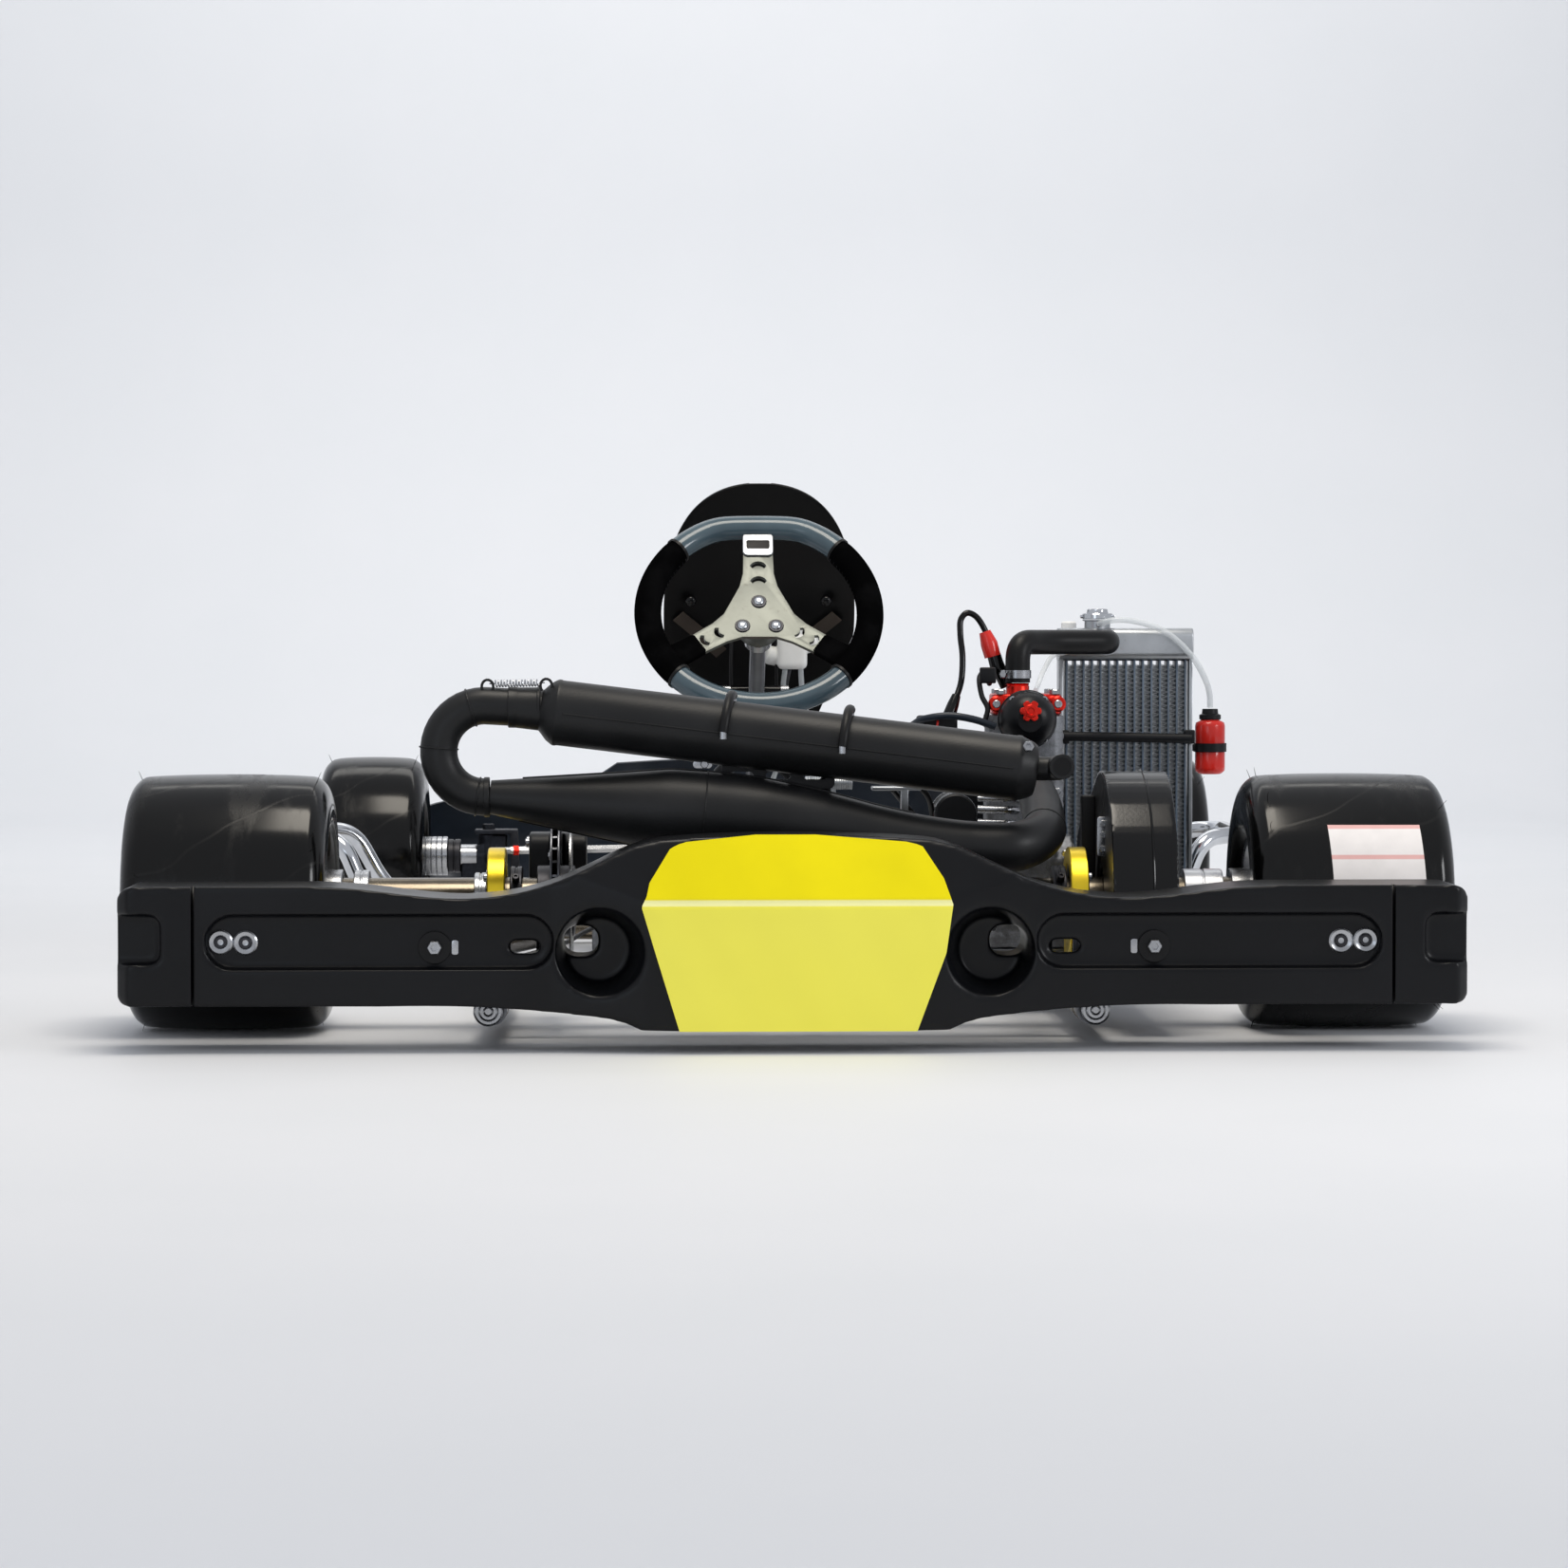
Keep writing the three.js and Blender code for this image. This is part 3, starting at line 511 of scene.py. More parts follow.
@dataclass(frozen=True)
class ClearPlastic(Finish):
    """Clear or milky plastic: see-through, a little cloudy, scratched."""

    alpha: float = 0.35
    roughness: float = 0.12

    def dress(self, tree: MaterialTree) -> None:
        """Cloudiness in the alpha and the roughness.

        Args:
            tree: the material being filled.
        """
        cloud = tree.noise(30.0, 4.0)
        scratches = tree.noise(420.0, 4.0, 0.7, tree.place((1.0, 1.0, 8.0)))
        tree.wire("Base Color", tree.mix(cloud, self.shade(0.85), self.shade(1.1)))
        tree.wire("Roughness", cloud * 0.12 + self.roughness)
        tree.wire("Alpha", cloud * 0.2 + self.alpha)
        tree.bump(scratches, 0.00006, 0.5)


@dataclass(frozen=True)
class Label(Finish):
    """A blank paper label with two pale red bands."""

    def dress(self, tree: MaterialTree) -> None:
        """Bands by height, creases and a little rubber dust.

        Args:
            tree: the material being filled.
        """
        height = tree.axis("Z")
        upper = height.between(0.2165, 0.2175) * (1.0 - height.between(0.2305, 0.2315))
        lower = height.between(0.1855, 0.1865) * (1.0 - height.between(0.1900, 0.1910))
        wrinkle = tree.noise(60.0, 4.0)
        paper = tree.mix(wrinkle, self.shade(0.86), self.shade(1.0))
        tree.wire("Base Color", tree.blend((upper + lower) * 0.55, paper, (0.72, 0.16, 0.13)))
        tree.wire("Roughness", wrinkle * 0.2 + 0.45)
        tree.bump(wrinkle, 0.0004, 0.5)


class Finishes:
    """Every finish on the kart, by its plain name."""

    bumper = Moulded("satin_black_moulding", "moulded_black", (0.0030, 0.0033, 0.0044), 0.33, 900.0,
                     0.00008)
    carcass = Moulded("dark_moulding", "moulded_black", (0.006, 0.0065, 0.008), 0.45)
    gloss = Moulded("gloss_black", "gloss_black", (0.002, 0.002, 0.0024), 0.15, 300.0, 0.00004, 0.0, 0.03,
                    0.3)
    panel = Moulded("panel_black", "panel_black", (0.0015, 0.0015, 0.0018), 0.42, 600.0, 0.00006, 0.0, 0.03)
    # Painted reflection: the blue tint of this nearly black plastic stands in for the cool light that the
    # glossy nose reflects; the breather shares this finish.
    nose = Moulded("nose_black_blue_reflection_tint", "nose_plastic", (0.012, 0.018, 0.028), 0.34, 500.0, 0.00008, 0.15,
                   0.08)
    core = Moulded("radiator_blue_grey", "satin_aluminium", (0.10, 0.13, 0.17), 0.34, 500.0, 0.00006)
    hose = Moulded("hose_rubber", "hose_rubber", (0.004, 0.004, 0.0045), 0.42, 500.0, 0.00012)
    tank = Moulded("milky_plastic", "tank_plastic", (0.62, 0.64, 0.60), 0.38, 400.0, 0.0002)
    reservoir = Moulded("white_plastic", "tank_plastic", (0.82, 0.83, 0.80), 0.35, 400.0, 0.0001)
    red_plastic = Moulded("red_plastic", "bottle_red", (0.62, 0.022, 0.015), 0.24, 500.0, 0.0001, 0.4, 0.05)
    strap = Moulded("strap_leather", "grip_suede", (0.045, 0.035, 0.028), 0.6, 700.0, 0.0004)
    film = Film("yellow_film", "yellow_film", (0.86, 0.73, 0.0))
    chrome = Metal("bright_chrome", "chrome_tube", (0.62, 0.64, 0.67), 0.13, (1.0, 1.0, 1.0), 0.00001)
    nickel = Metal("dark_nickel", "frame_nickel", (0.17, 0.145, 0.11), 0.22, (1.0, 1.0, 1.0), 0.00002)
    steel = Metal("ground_steel", "steel", (0.16, 0.165, 0.18), 0.3, (1.0, 12.0, 12.0))
    turned = Metal("turned_aluminium", "satin_aluminium", (0.52, 0.53, 0.55), 0.26, (24.0, 1.0, 1.0))
    spokes = Metal("spoke_aluminium", "satin_aluminium", (0.115, 0.122, 0.112), 0.36, (1.0, 14.0, 1.0))
    satin = Metal("satin_aluminium", "satin_aluminium", (0.46, 0.48, 0.50), 0.34,
                   (1.0, 14.0, 1.0))
    tray = Metal("tray_sheet", "tray_aluminium", (0.5, 0.51, 0.53), 0.45, (20.0, 1.0, 1.0), 0.0001)
    zinc = Metal("zinc_plate", "steel", (0.42, 0.43, 0.45), 0.26)
    dark_bolt = Metal("black_oxide", "steel", (0.045, 0.045, 0.05), 0.4)
    red = Metal("red_anodised", "anodised_red", (0.72, 0.03, 0.02), 0.28, (1.0, 1.0, 8.0))
    yellow = Metal("yellow_anodised", "anodised_yellow", (0.90, 0.66, 0.04), 0.3, (14.0, 1.0, 1.0))
    grey_paint = Moulded("grey_grip_shell", "grip_suede", (0.055, 0.085, 0.105), 0.2, 700.0, 0.00003, 0.5,
                         0.04)
    casting = Cast("blasted_casting", "cast_aluminium", (0.26, 0.27, 0.29))
    forging = Cast("dark_forging", "cast_aluminium", (0.030, 0.033, 0.042), 0.42)
    exhaust = HeatPaint("exhaust_black", "exhaust_black", (0.0085, 0.0088, 0.0095))
    suede = Suede("grip_suede", "grip_suede", (0.0022, 0.0022, 0.0024))
    clear = ClearPlastic("clear_hose", "clear_hose", (0.78, 0.82, 0.84))
    label = Label("blank_label", "yellow_film", (0.88, 0.84, 0.82))
    rear_slick = SlickRubber("rear_slick", "tyre_rubber", (0.0022, 0.0022, 0.0023))
    front_slick = SlickRubber("front_slick", "tyre_rubber", (0.0022, 0.0022, 0.0023), (0.0, 0.445, 0.13))


# ------------------------------------------------------------------ forms

def arc(centre: Point, radius: float, start: float, end: float,
        count: int = 8) -> Outline:
    """Points on an arc; the angles are in degrees.

    Args:
        centre: the centre of the arc.
        radius: radius in millimetres.
        start: where it starts.
        end: where it ends.
        count: how many points or copies.

    Returns:
        Points along the arc.
    """
    angles = np.radians(np.linspace(start, end, count))
    return [(centre[0] + radius * math.cos(a), centre[1] + radius * math.sin(a)) for a in angles]


def bezier(a: Point, b: Point, c: Point, d: Point, count: int = 10) -> Outline:
    """Points on a cubic curve.

    Args:
        a: the first value.
        b: the second value.
        c: the third point.
        d: the last point.
        count: how many points or copies.

    Returns:
        Points along the curve.
    """
    t = np.linspace(0.0, 1.0, count)[:, None]
    points = ((1 - t) ** 3 * np.array(a) + 3 * (1 - t) ** 2 * t * np.array(b)
              + 3 * (1 - t) * t ** 2 * np.array(c) + t ** 3 * np.array(d))
    return [tuple(point) for point in points]


def round_rect(u: float, v: float, width: float, height: float, radius: float,
               count: int = 6) -> Outline:
    """A box outline with round corners, centred on (u, v).

    Args:
        u: the centre's first coordinate.
        v: the centre's second coordinate.
        width: its width in millimetres.
        height: its height in millimetres.
        radius: radius in millimetres.
        count: how many points or copies.

    Returns:
        The outline's points.
    """
    w, h = width / 2 - radius, height / 2 - radius
    corners = [(w, -h, -90), (w, h, 0), (-w, h, 90), (-w, -h, 180)]
    outline: Outline = []
    for x, y, start in corners:
        outline += arc((u + x, v + y), radius, start, start + 90, count)
    return outline


def bent(points: Sequence[Point], bend: float, step: float = 6.0) -> np.ndarray:
    """Straight runs through the points, with each corner rounded.

    Args:
        points: the corner points.
        bend: the bend radius in millimetres.
        step: the spacing of the points in millimetres.

    Returns:
        Points along the bent line.
    """
    corners = [np.array(point, float) for point in points]
    route = [corners[0]]
    for i in range(1, len(corners) - 1):
        before, after = corners[i] - corners[i - 1], corners[i + 1] - corners[i]
        reach = min(bend, np.linalg.norm(before) * 0.48, np.linalg.norm(after) * 0.48)
        enter = corners[i] - before / np.linalg.norm(before) * reach
        leave = corners[i] + after / np.linalg.norm(after) * reach
        t = np.linspace(0.0, 1.0, max(5, int(2.6 * reach / step)))[:, None]
        route += list((1 - t) ** 2 * enter + 2 * (1 - t) * t * corners[i] + t ** 2 * leave)
    route.append(corners[-1])
    return np.array(route)


def smooth(points: Sequence[Point], per_span: int = 6) -> np.ndarray:
    """A centripetal curve through the points.

    Args:
        points: the corner points.
        per_span: how many points lie between two corners.

    Returns:
        Points along the smooth line.
    """
    known = np.array(points, float)
    padded = np.vstack([2 * known[0] - known[1], known, 2 * known[-1] - known[-2]])
    route = []
    for i in range(1, len(padded) - 2):
        p = padded[i - 1:i + 3]
        gaps = np.sqrt(np.maximum(np.linalg.norm(np.diff(p, axis=0), axis=1), 1e-6))
        k = np.concatenate([[0.0], np.cumsum(gaps)])
        for t in np.linspace(k[1], k[2], per_span, endpoint=False):
            a = [(k[j + 1] - t) / (k[j + 1] - k[j]) * p[j] + (t - k[j]) / (k[j + 1] - k[j]) * p[j + 1]
                 for j in range(3)]
            b = [(k[j + 2] - t) / (k[j + 2] - k[j]) * a[j] + (t - k[j]) / (k[j + 2] - k[j]) * a[j + 1]
                 for j in range(2)]
            route.append((k[2] - t) / (k[2] - k[1]) * b[0] + (t - k[1]) / (k[2] - k[1]) * b[1])
    route.append(known[-1])
    return np.array(route)


class Form:
    """Makes plain meshes from numbers in millimetres."""

    @staticmethod
    def mesh(name: str, points: Iterable[Point], faces: Iterable[Sequence[int]], sharp: float = 32.0,
             scale: float = MM) -> Piece:
        """Makes one object whose faces point outwards, smooth except over sharp edges.

        Args:
            name: the object's name.
            points: the vertices.
            faces: rings of vertex numbers.
            sharp: the edge angle, in degrees, over which an edge stays crisp.
            scale: metres in one unit of the points.

        Returns:
            The new object, linked to the scene.
        """
        data = bpy.data.meshes.new(name)
        data.from_pydata([tuple(float(c) * scale for c in point) for point in points], [], list(faces))
        obj = bpy.data.objects.new(name, data)
        bpy.context.scene.collection.objects.link(obj)
        return Form.clean(obj, sharp)

    @staticmethod
    def clean(obj: Piece, sharp: float = 32.0) -> Piece:
        """Merges doubles, turns faces outwards and marks the crisp edges.

        Args:
            obj: the piece to work on.
            sharp: the angle in degrees above which an edge is sharp.

        Returns:
            The finished piece.
        """
        work = bmesh.new()
        work.from_mesh(obj.data)
        bmesh.ops.remove_doubles(work, verts=work.verts, dist=1e-6)
        bmesh.ops.dissolve_degenerate(work, edges=work.edges, dist=1e-7)
        bmesh.ops.recalc_face_normals(work, faces=work.faces)
        for face in work.faces:
            face.smooth = True
        for edge in work.edges:
            crisp = len(edge.link_faces) == 2 and edge.calc_face_angle(0.0) > math.radians(sharp)
            edge.smooth = not crisp
        work.to_mesh(obj.data)
        work.free()
        obj.data.update()
        return obj

    @staticmethod
    def lattice(name: str, rings: np.ndarray, closed: bool = False, capped: bool = True,
                sharp: float = 32.0) -> Piece:
        """Skins rings of points; each ring is a closed loop.

        Args:
            name: the object's name.
            rings: an array of shape (rings, points, 3).
            closed: joins the last ring to the first.
            capped: closes both ends with a face when the rings aren't joined.
            sharp: the crisp edge angle.

        Returns:
            The new object.
        """
        count, size = rings.shape[:2]
        faces: list[list[int]] = []
        for i in range(count if closed else count - 1):
            nxt = (i + 1) % count
            for j in range(size):
                k = (j + 1) % size
                faces.append([i * size + j, i * size + k, nxt * size + k, nxt * size + j])
        if capped and not closed:
            faces.append(list(range(size)))
            faces.append([(count - 1) * size + j for j in range(size)])
        return Form.mesh(name, rings.reshape(-1, 3), faces, sharp)

    @staticmethod
    def turned(name: str, profile: Sequence[Point], segments: int = 64, axis: str = "X",
               place: Point = (0.0, 0.0, 0.0), sharp: float = 28.0) -> Piece:
        """Turns a closed (radius, along) outline about an axis through a place.

        Args:
            name: the piece's name.
            profile: points as (radius, along).
            segments: how finely round it is.
            axis: the axis it lies along.
            place: where it sits, in millimetres.
            sharp: the angle in degrees above which an edge is sharp.

        Returns:
            The finished piece.
        """
        angles = np.linspace(0.0, 2 * math.pi, segments, endpoint=False)
        outline = np.array(profile, float)
        rings = np.zeros((segments, len(outline), 3))
        order = {"X": (0, 1, 2), "Y": (1, 2, 0), "Z": (2, 0, 1)}[axis]
        for i, angle in enumerate(angles):
            rings[i, :, order[0]] = outline[:, 1]
            rings[i, :, order[1]] = outline[:, 0] * math.cos(angle)
            rings[i, :, order[2]] = outline[:, 0] * math.sin(angle)
        rings += np.array(place, float)
        return Form.lattice(name, rings, closed=True, sharp=sharp)

    @staticmethod
    def tube(name: str, route: np.ndarray, radius: float | Callable[[float], float], sides: int = 20,
             bore: float = 0.0, closed: bool = False) -> Piece:
        """Sweeps a circle along a route; radius may vary with the share of its length.

        Args:
            name: the piece's name.
            route: the points of its centre line.
            radius: radius in millimetres.
            sides: how many sides it has.
            bore: radius of its hole, or none.
            closed: whether its ends meet.

        Returns:
            The finished piece.
        """
        route = np.asarray(route, float)
        lengths = np.concatenate([[0.0], np.cumsum(np.linalg.norm(np.diff(route, axis=0), axis=1))])
        share = lengths / lengths[-1]
        tangents = np.gradient(route, axis=0)
        if closed:
            tangents = np.roll(route, -1, axis=0) - np.roll(route, 1, axis=0)
        tangents /= np.linalg.norm(tangents, axis=1)[:, None]
        side = np.cross(tangents[0], [0.0, 0.0, 1.0])
        if np.linalg.norm(side) < 1e-3:
            side = np.array([1.0, 0.0, 0.0])
        angles = np.linspace(0.0, 2 * math.pi, sides, endpoint=False)
        rings = []
        for point, tangent, u in zip(route, tangents, share):
            side = side - tangent * np.dot(side, tangent)
            side /= np.linalg.norm(side)
            up = np.cross(side, tangent)
            r = radius(float(u)) if callable(radius) else radius
            rings.append(point + r * (np.cos(angles)[:, None] * side + np.sin(angles)[:, None] * up))
        if bore:
            inner = [point + (ring - point) * (bore / (radius if not callable(radius) else 1.0))
                     for ring, point in zip(rings, route)]
            rings = rings + inner[::-1]
            closed = True
        return Form.lattice(name, np.array(rings), closed=closed)

    @staticmethod
    def plate(name: str, outline: Sequence[Point], low: float, high: float, axis: str = "Y",
              bevel: float = 0.0, holes: Sequence[Sequence[Point]] = ()) -> Piece:
        """A flat plate: an outline in the two other axes, between two levels of one axis.

        Args:
            name: the object's name.
            outline: points (x, z) for axis Y, (x, y) for Z, (y, z) for X.
            low: the lower level.
            high: the upper level.
            axis: the axis that the plate is thick along.
            bevel: the width of a rounded edge.
            holes: outlines cut right through.

        Returns:
            The new object.
        """
        obj = Form.prism(name, outline, low, high, axis)
        for number, hole in enumerate(holes):
            tool = Form.prism(f"{name}_hole_{number}", hole, low - 5, high + 5, axis)
            Form.boolean(obj, tool, "DIFFERENCE")
        if bevel:
            Form.bevel(obj, bevel)
        return obj

    @staticmethod
    def prism(name: str, outline: Sequence[Point], low: float, high: float, axis: str) -> Piece:
        """An outline raised straight between two levels.

        Args:
            name: the piece's name.
            outline: the outline's points.
            low: the lower end or corner.
            high: the upper end or corner.
            axis: the axis it lies along.

        Returns:
            The finished piece.
        """
        flat = np.array(outline, float)
        rings = np.zeros((2, len(flat), 3))
        order = {"X": (0, 1, 2), "Y": (1, 0, 2), "Z": (2, 0, 1)}[axis]
        for ring, level in zip(rings, (low, high)):
            ring[:, order[0]] = level
            ring[:, order[1]] = flat[:, 0]
            ring[:, order[2]] = flat[:, 1]
        return Form.lattice(name, rings)

    @staticmethod
    def block(name: str, low: Point, high: Point, bevel: float = 1.5,
              segments: int = 3) -> Piece:
        """A box with rounded edges.

        Args:
            name: the piece's name.
            low: the lower end or corner.
            high: the upper end or corner.
            bevel: the edge's rounding in millimetres.
            segments: how finely round it is.

        Returns:
            The finished piece.
        """
        (x0, y0, z0), (x1, y1, z1) = low, high
        obj = Form.prism(name, [(x0, y0), (x1, y0), (x1, y1), (x0, y1)], z0, z1, "Z")
        return Form.bevel(obj, bevel, segments)

    @staticmethod
    def apply(obj: Piece) -> Piece:
        """Makes the result of the modifiers the object's own mesh.

        Args:
            obj: the piece to work on.

        Returns:
            The finished piece.
        """
        graph = bpy.context.evaluated_depsgraph_get()
        data = bpy.data.meshes.new_from_object(obj.evaluated_get(graph), depsgraph=graph)
        obj.modifiers.clear()
        old = obj.data
        obj.data = data
        bpy.data.meshes.remove(old)
        return obj

    @staticmethod
    def bevel(obj: Piece, width: float, segments: int = 3) -> Piece:
        """Rounds the edges that turn by more than 30 degrees.

        Args:
            obj: the piece to work on.
            width: its width in millimetres.
            segments: how finely round it is.

        Returns:
            The finished piece.
        """
        modifier = obj.modifiers.new("round", "BEVEL")
        modifier.width = width * MM
        modifier.segments = segments
        modifier.limit_method = "ANGLE"
        modifier.angle_limit = math.radians(30.0)
        return Form.clean(Form.apply(obj), 40.0)

    @staticmethod
    def boolean(obj: Piece, tool: Piece, operation: str) -> Piece:
        """Joins or cuts with another solid, which is used up.

        Args:
            obj: the piece to work on.
            tool: the piece that cuts or adds, used up here.
            operation: the operation's name.

        Returns:
            The finished piece.
        """
        modifier = obj.modifiers.new("cut", "BOOLEAN")
        modifier.operation = operation
        modifier.solver = "EXACT"
        modifier.object = tool
        Form.apply(obj)
        bpy.data.objects.remove(tool)
        return obj

    @staticmethod
    def soften(obj: Piece, voxel: float, passes: int) -> Piece:
        """Remeshes a solid into a fine skin and rounds every edge, as a moulding or a casting has.

        Args:
            obj: the piece to work on.
            voxel: the grid size in millimetres.
            passes: how many smoothing passes.

        Returns:
            The finished piece.
        """
        modifier = obj.modifiers.new("skin", "REMESH")
        modifier.mode = "VOXEL"
        modifier.voxel_size = voxel * MM
        relax = obj.modifiers.new("relax", "SMOOTH")
        relax.iterations = passes
        relax.factor = 0.5
        return Form.clean(Form.apply(obj), 60.0)

    @staticmethod
    def joined(name: str, parts: Sequence[Piece]) -> Piece:
        """Gathers several meshes into one object.

        Args:
            name: the piece's name.
            parts: the pieces to join.

        Returns:
            The finished piece.
        """
        work = bmesh.new()
        for part in parts:
            work.from_mesh(part.data)
            bpy.data.objects.remove(part)
        data = bpy.data.meshes.new(name)
        work.to_mesh(data)
        work.free()
        obj = bpy.data.objects.new(name, data)
        bpy.context.scene.collection.objects.link(obj)
        return obj

    @staticmethod
    def moved(obj: Piece, matrix: Matrix) -> Piece:
        """Moves the mesh itself, so the object stays at the origin.

        Args:
            obj: the piece to work on.
            matrix: the move.

        Returns:
            The finished piece.
        """
        obj.data.transform(matrix)
        return obj


def put(place: Point, turn: Point = (0.0, 0.0, 0.0)) -> Matrix:
    """A placing matrix from millimetres and degrees.

    Args:
        place: where it sits, in millimetres.
        turn: turn about each axis in degrees.

    Returns:
        The placing matrix.
    """
    euler = Euler([math.radians(angle) for angle in turn])
    return Matrix.LocRotScale(Vector(place) * MM, euler, None)


def facing(place: Point, direction: Point) -> Matrix:
    """A placing matrix that turns +Z to a direction.

    Args:
        place: where it sits, in millimetres.
        direction: the way it points.

    Returns:
        The placing matrix.
    """
    turn = Vector(direction).to_track_quat("Z", "Y")
    return Matrix.LocRotScale(Vector(place) * MM, turn, None)


def deliver(obj: Piece, body: str, finish: Finish, *replaced: str) -> Piece:
    """Dresses a finished piece and hands it to the frame.

    Args:
        obj: the piece, in place.
        body: the CAD body that it rides on.
        finish: its finish.
        replaced: the CAD nodes that it stands for.

    Returns:
        The same piece.
    """
    obj.data.materials.clear()
    obj.data.materials.append(finish.build())
    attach(obj, body)
    if replaced:
        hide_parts(*replaced)
    LOG.info("%s: %d faces on %s", obj.name, len(obj.data.polygons), body)
    return obj


def fit(name: str, parts: Sequence[Piece], finish: Finish, *replaced: str) -> None:
    """Joins parts into one named piece and delivers it on the chassis.

    Args:
        name: the piece's name.
        parts: the parts to join.
        finish: its finish.
        replaced: the CAD nodes that it stands for.
    """
    deliver(Form.joined(name, parts), "chassis", finish, *replaced)


# ------------------------------------------------------------------ repeated pieces

class Pattern(Enum):
    """How a small piece is repeated."""

    ROW = "row"
    RING = "ring"
    SCATTER = "scatter"


class Repeater:
    """Copies one small piece with Geometry Nodes and bakes the result to a plain mesh."""

    _SOCKETS = {"Piece": "NodeSocketObject", "Count": "NodeSocketInt", "Span": "NodeSocketFloat",
                "Seed": "NodeSocketInt", "Finish": "NodeSocketMaterial"}

    def __init__(self, pattern: Pattern) -> None:
        """Builds the tree of one pattern.

        Args:
            pattern: the kind of repeat.
        """
        self.tree = bpy.data.node_groups.new(f"repeat_{pattern.value}", "GeometryNodeTree")
        face = self.tree.interface
        face.new_socket("Geometry", in_out="INPUT", socket_type="NodeSocketGeometry")
        face.new_socket("Geometry", in_out="OUTPUT", socket_type="NodeSocketGeometry")
        for name, kind in self._SOCKETS.items():
            face.new_socket(name, in_out="INPUT", socket_type=kind)
        self.start = self._node("NodeGroupInput")
        points, turn = getattr(self, f"_{pattern.value}")()
        piece = self._node("GeometryNodeObjectInfo", Object=self.start.outputs["Piece"])
        copies = self._node("GeometryNodeInstanceOnPoints", Points=points, Rotation=turn,
                            Instance=piece.outputs["Geometry"])
        real = self._node("GeometryNodeRealizeInstances", Geometry=copies.outputs["Instances"])
        dressed = self._node("GeometryNodeSetMaterial", Geometry=real.outputs["Geometry"],
                             Material=self.start.outputs["Finish"])
        end = self._node("NodeGroupOutput")
        self.tree.links.new(dressed.outputs["Geometry"], end.inputs[0])

    def _node(self, kind: str, settings: dict | None = None, **inputs: object) -> bpy.types.Node:
        """Adds a node; an input given as a socket is linked and any other is set.

        Args:
            kind: the node's type.
            settings: the node's own settings.
            inputs: values or links for its sockets, by identifier.

        Returns:
            The new node.
        """
        node = self.tree.nodes.new(kind)
        for key, value in (settings or {}).items():
            setattr(node, key, value)
        for key, value in inputs.items():
            socket = node.inputs[key.replace("_", " ")]
            if isinstance(value, bpy.types.NodeSocket):
                self.tree.links.new(value, socket)
            elif value is not None:
                socket.default_value = value
        return node

    def _value(self, operation: str, a: object, b: object) -> bpy.types.NodeSocket:
        """One Math node.

        Args:
            operation: the operation's name.
            a: the first value.
            b: the second value.

        Returns:
            The result's socket.
        """
        node = self._node("ShaderNodeMath", {"operation": operation})
        for socket, value in zip(node.inputs, (a, b)):
            if isinstance(value, bpy.types.NodeSocket):
                self.tree.links.new(value, socket)
            else:
                socket.default_value = value
        return node.outputs[0]

    def _row(self) -> tuple[bpy.types.NodeSocket, bpy.types.NodeSocket | None]:
        """Points along +X from the origin; Span is the whole length.

        Returns:
            The sockets of the points and of their turns.
        """
        step = self._value("DIVIDE", self.start.outputs["Span"],
                           self._value("SUBTRACT", self.start.outputs["Count"], 1.0))
        offset = self._node("ShaderNodeCombineXYZ", X=step)
        line = self._node("GeometryNodeMeshLine", Count=self.start.outputs["Count"],
                          Offset=offset.outputs[0])
        return line.outputs[0], None

    def _ring(self) -> tuple[bpy.types.NodeSocket, bpy.types.NodeSocket]:
        """Points round +Z; Span is the radius, and each copy's +X points outwards.

        Returns:
            The sockets of the points and of their turns.
        """
        circle = self._node("GeometryNodeMeshCircle", Vertices=self.start.outputs["Count"],
                            Radius=self.start.outputs["Span"])
        index = self._node("GeometryNodeInputIndex").outputs[0]
        share = self._value("DIVIDE", index, self.start.outputs["Count"])
        turn = self._node("ShaderNodeCombineXYZ", Z=self._value("MULTIPLY", share, 2 * math.pi))
        return circle.outputs[0], turn.outputs[0]

    def _scatter(self) -> tuple[bpy.types.NodeSocket, bpy.types.NodeSocket]:
        """Random points on the mesh; Span is their density, and each copy's +Z points outwards.

        Returns:
            The sockets of the points and of their turns.
        """
        spread = self._node("GeometryNodeDistributePointsOnFaces", Mesh=self.start.outputs["Geometry"],
                            Density=self.start.outputs["Span"], Seed=self.start.outputs["Seed"])
        return spread.outputs["Points"], spread.outputs["Rotation"]

    def run(self, name: str, piece: Piece, finish: Finish, count: int = 2, span: float = 0.0,
            seed: int = 1, carrier: Piece | None = None) -> Piece:
        """Makes the copies.

        Args:
            name: the name of the new object.
            piece: the small piece, which is used up.
            finish: the finish of every copy.
            count: how many copies.
            span: the length, radius or density, in metres.
            seed: the seed of a scatter.
            carrier: the mesh that carries the points, which is used up.

        Returns:
            One plain object.
        """
        obj = carrier
        if obj is None:
            obj = bpy.data.objects.new(name, bpy.data.meshes.new(name))
            bpy.context.scene.collection.objects.link(obj)
        modifier = obj.modifiers.new("repeat", "NODES")
        modifier.node_group = self.tree
        values = {"Piece": piece, "Count": count, "Span": span, "Seed": seed, "Finish": finish.build()}
        for socket in self.tree.interface.items_tree:
            if socket.in_out == "INPUT" and socket.name in values:
                modifier[socket.identifier] = values[socket.name]
        bpy.context.view_layer.update()
        Form.apply(obj)
        obj.name = name
        bpy.data.objects.remove(piece)
        return Form.clean(obj, 40.0)


REPEAT: dict[Pattern, Repeater] = {}


def repeater(pattern: Pattern) -> Repeater:
    """The shared repeater of a pattern.

    Args:
        pattern: the kind of repeat.

    Returns:
        The repeater.
    """
    if pattern not in REPEAT:
        REPEAT[pattern] = Repeater(pattern)
    return REPEAT[pattern]


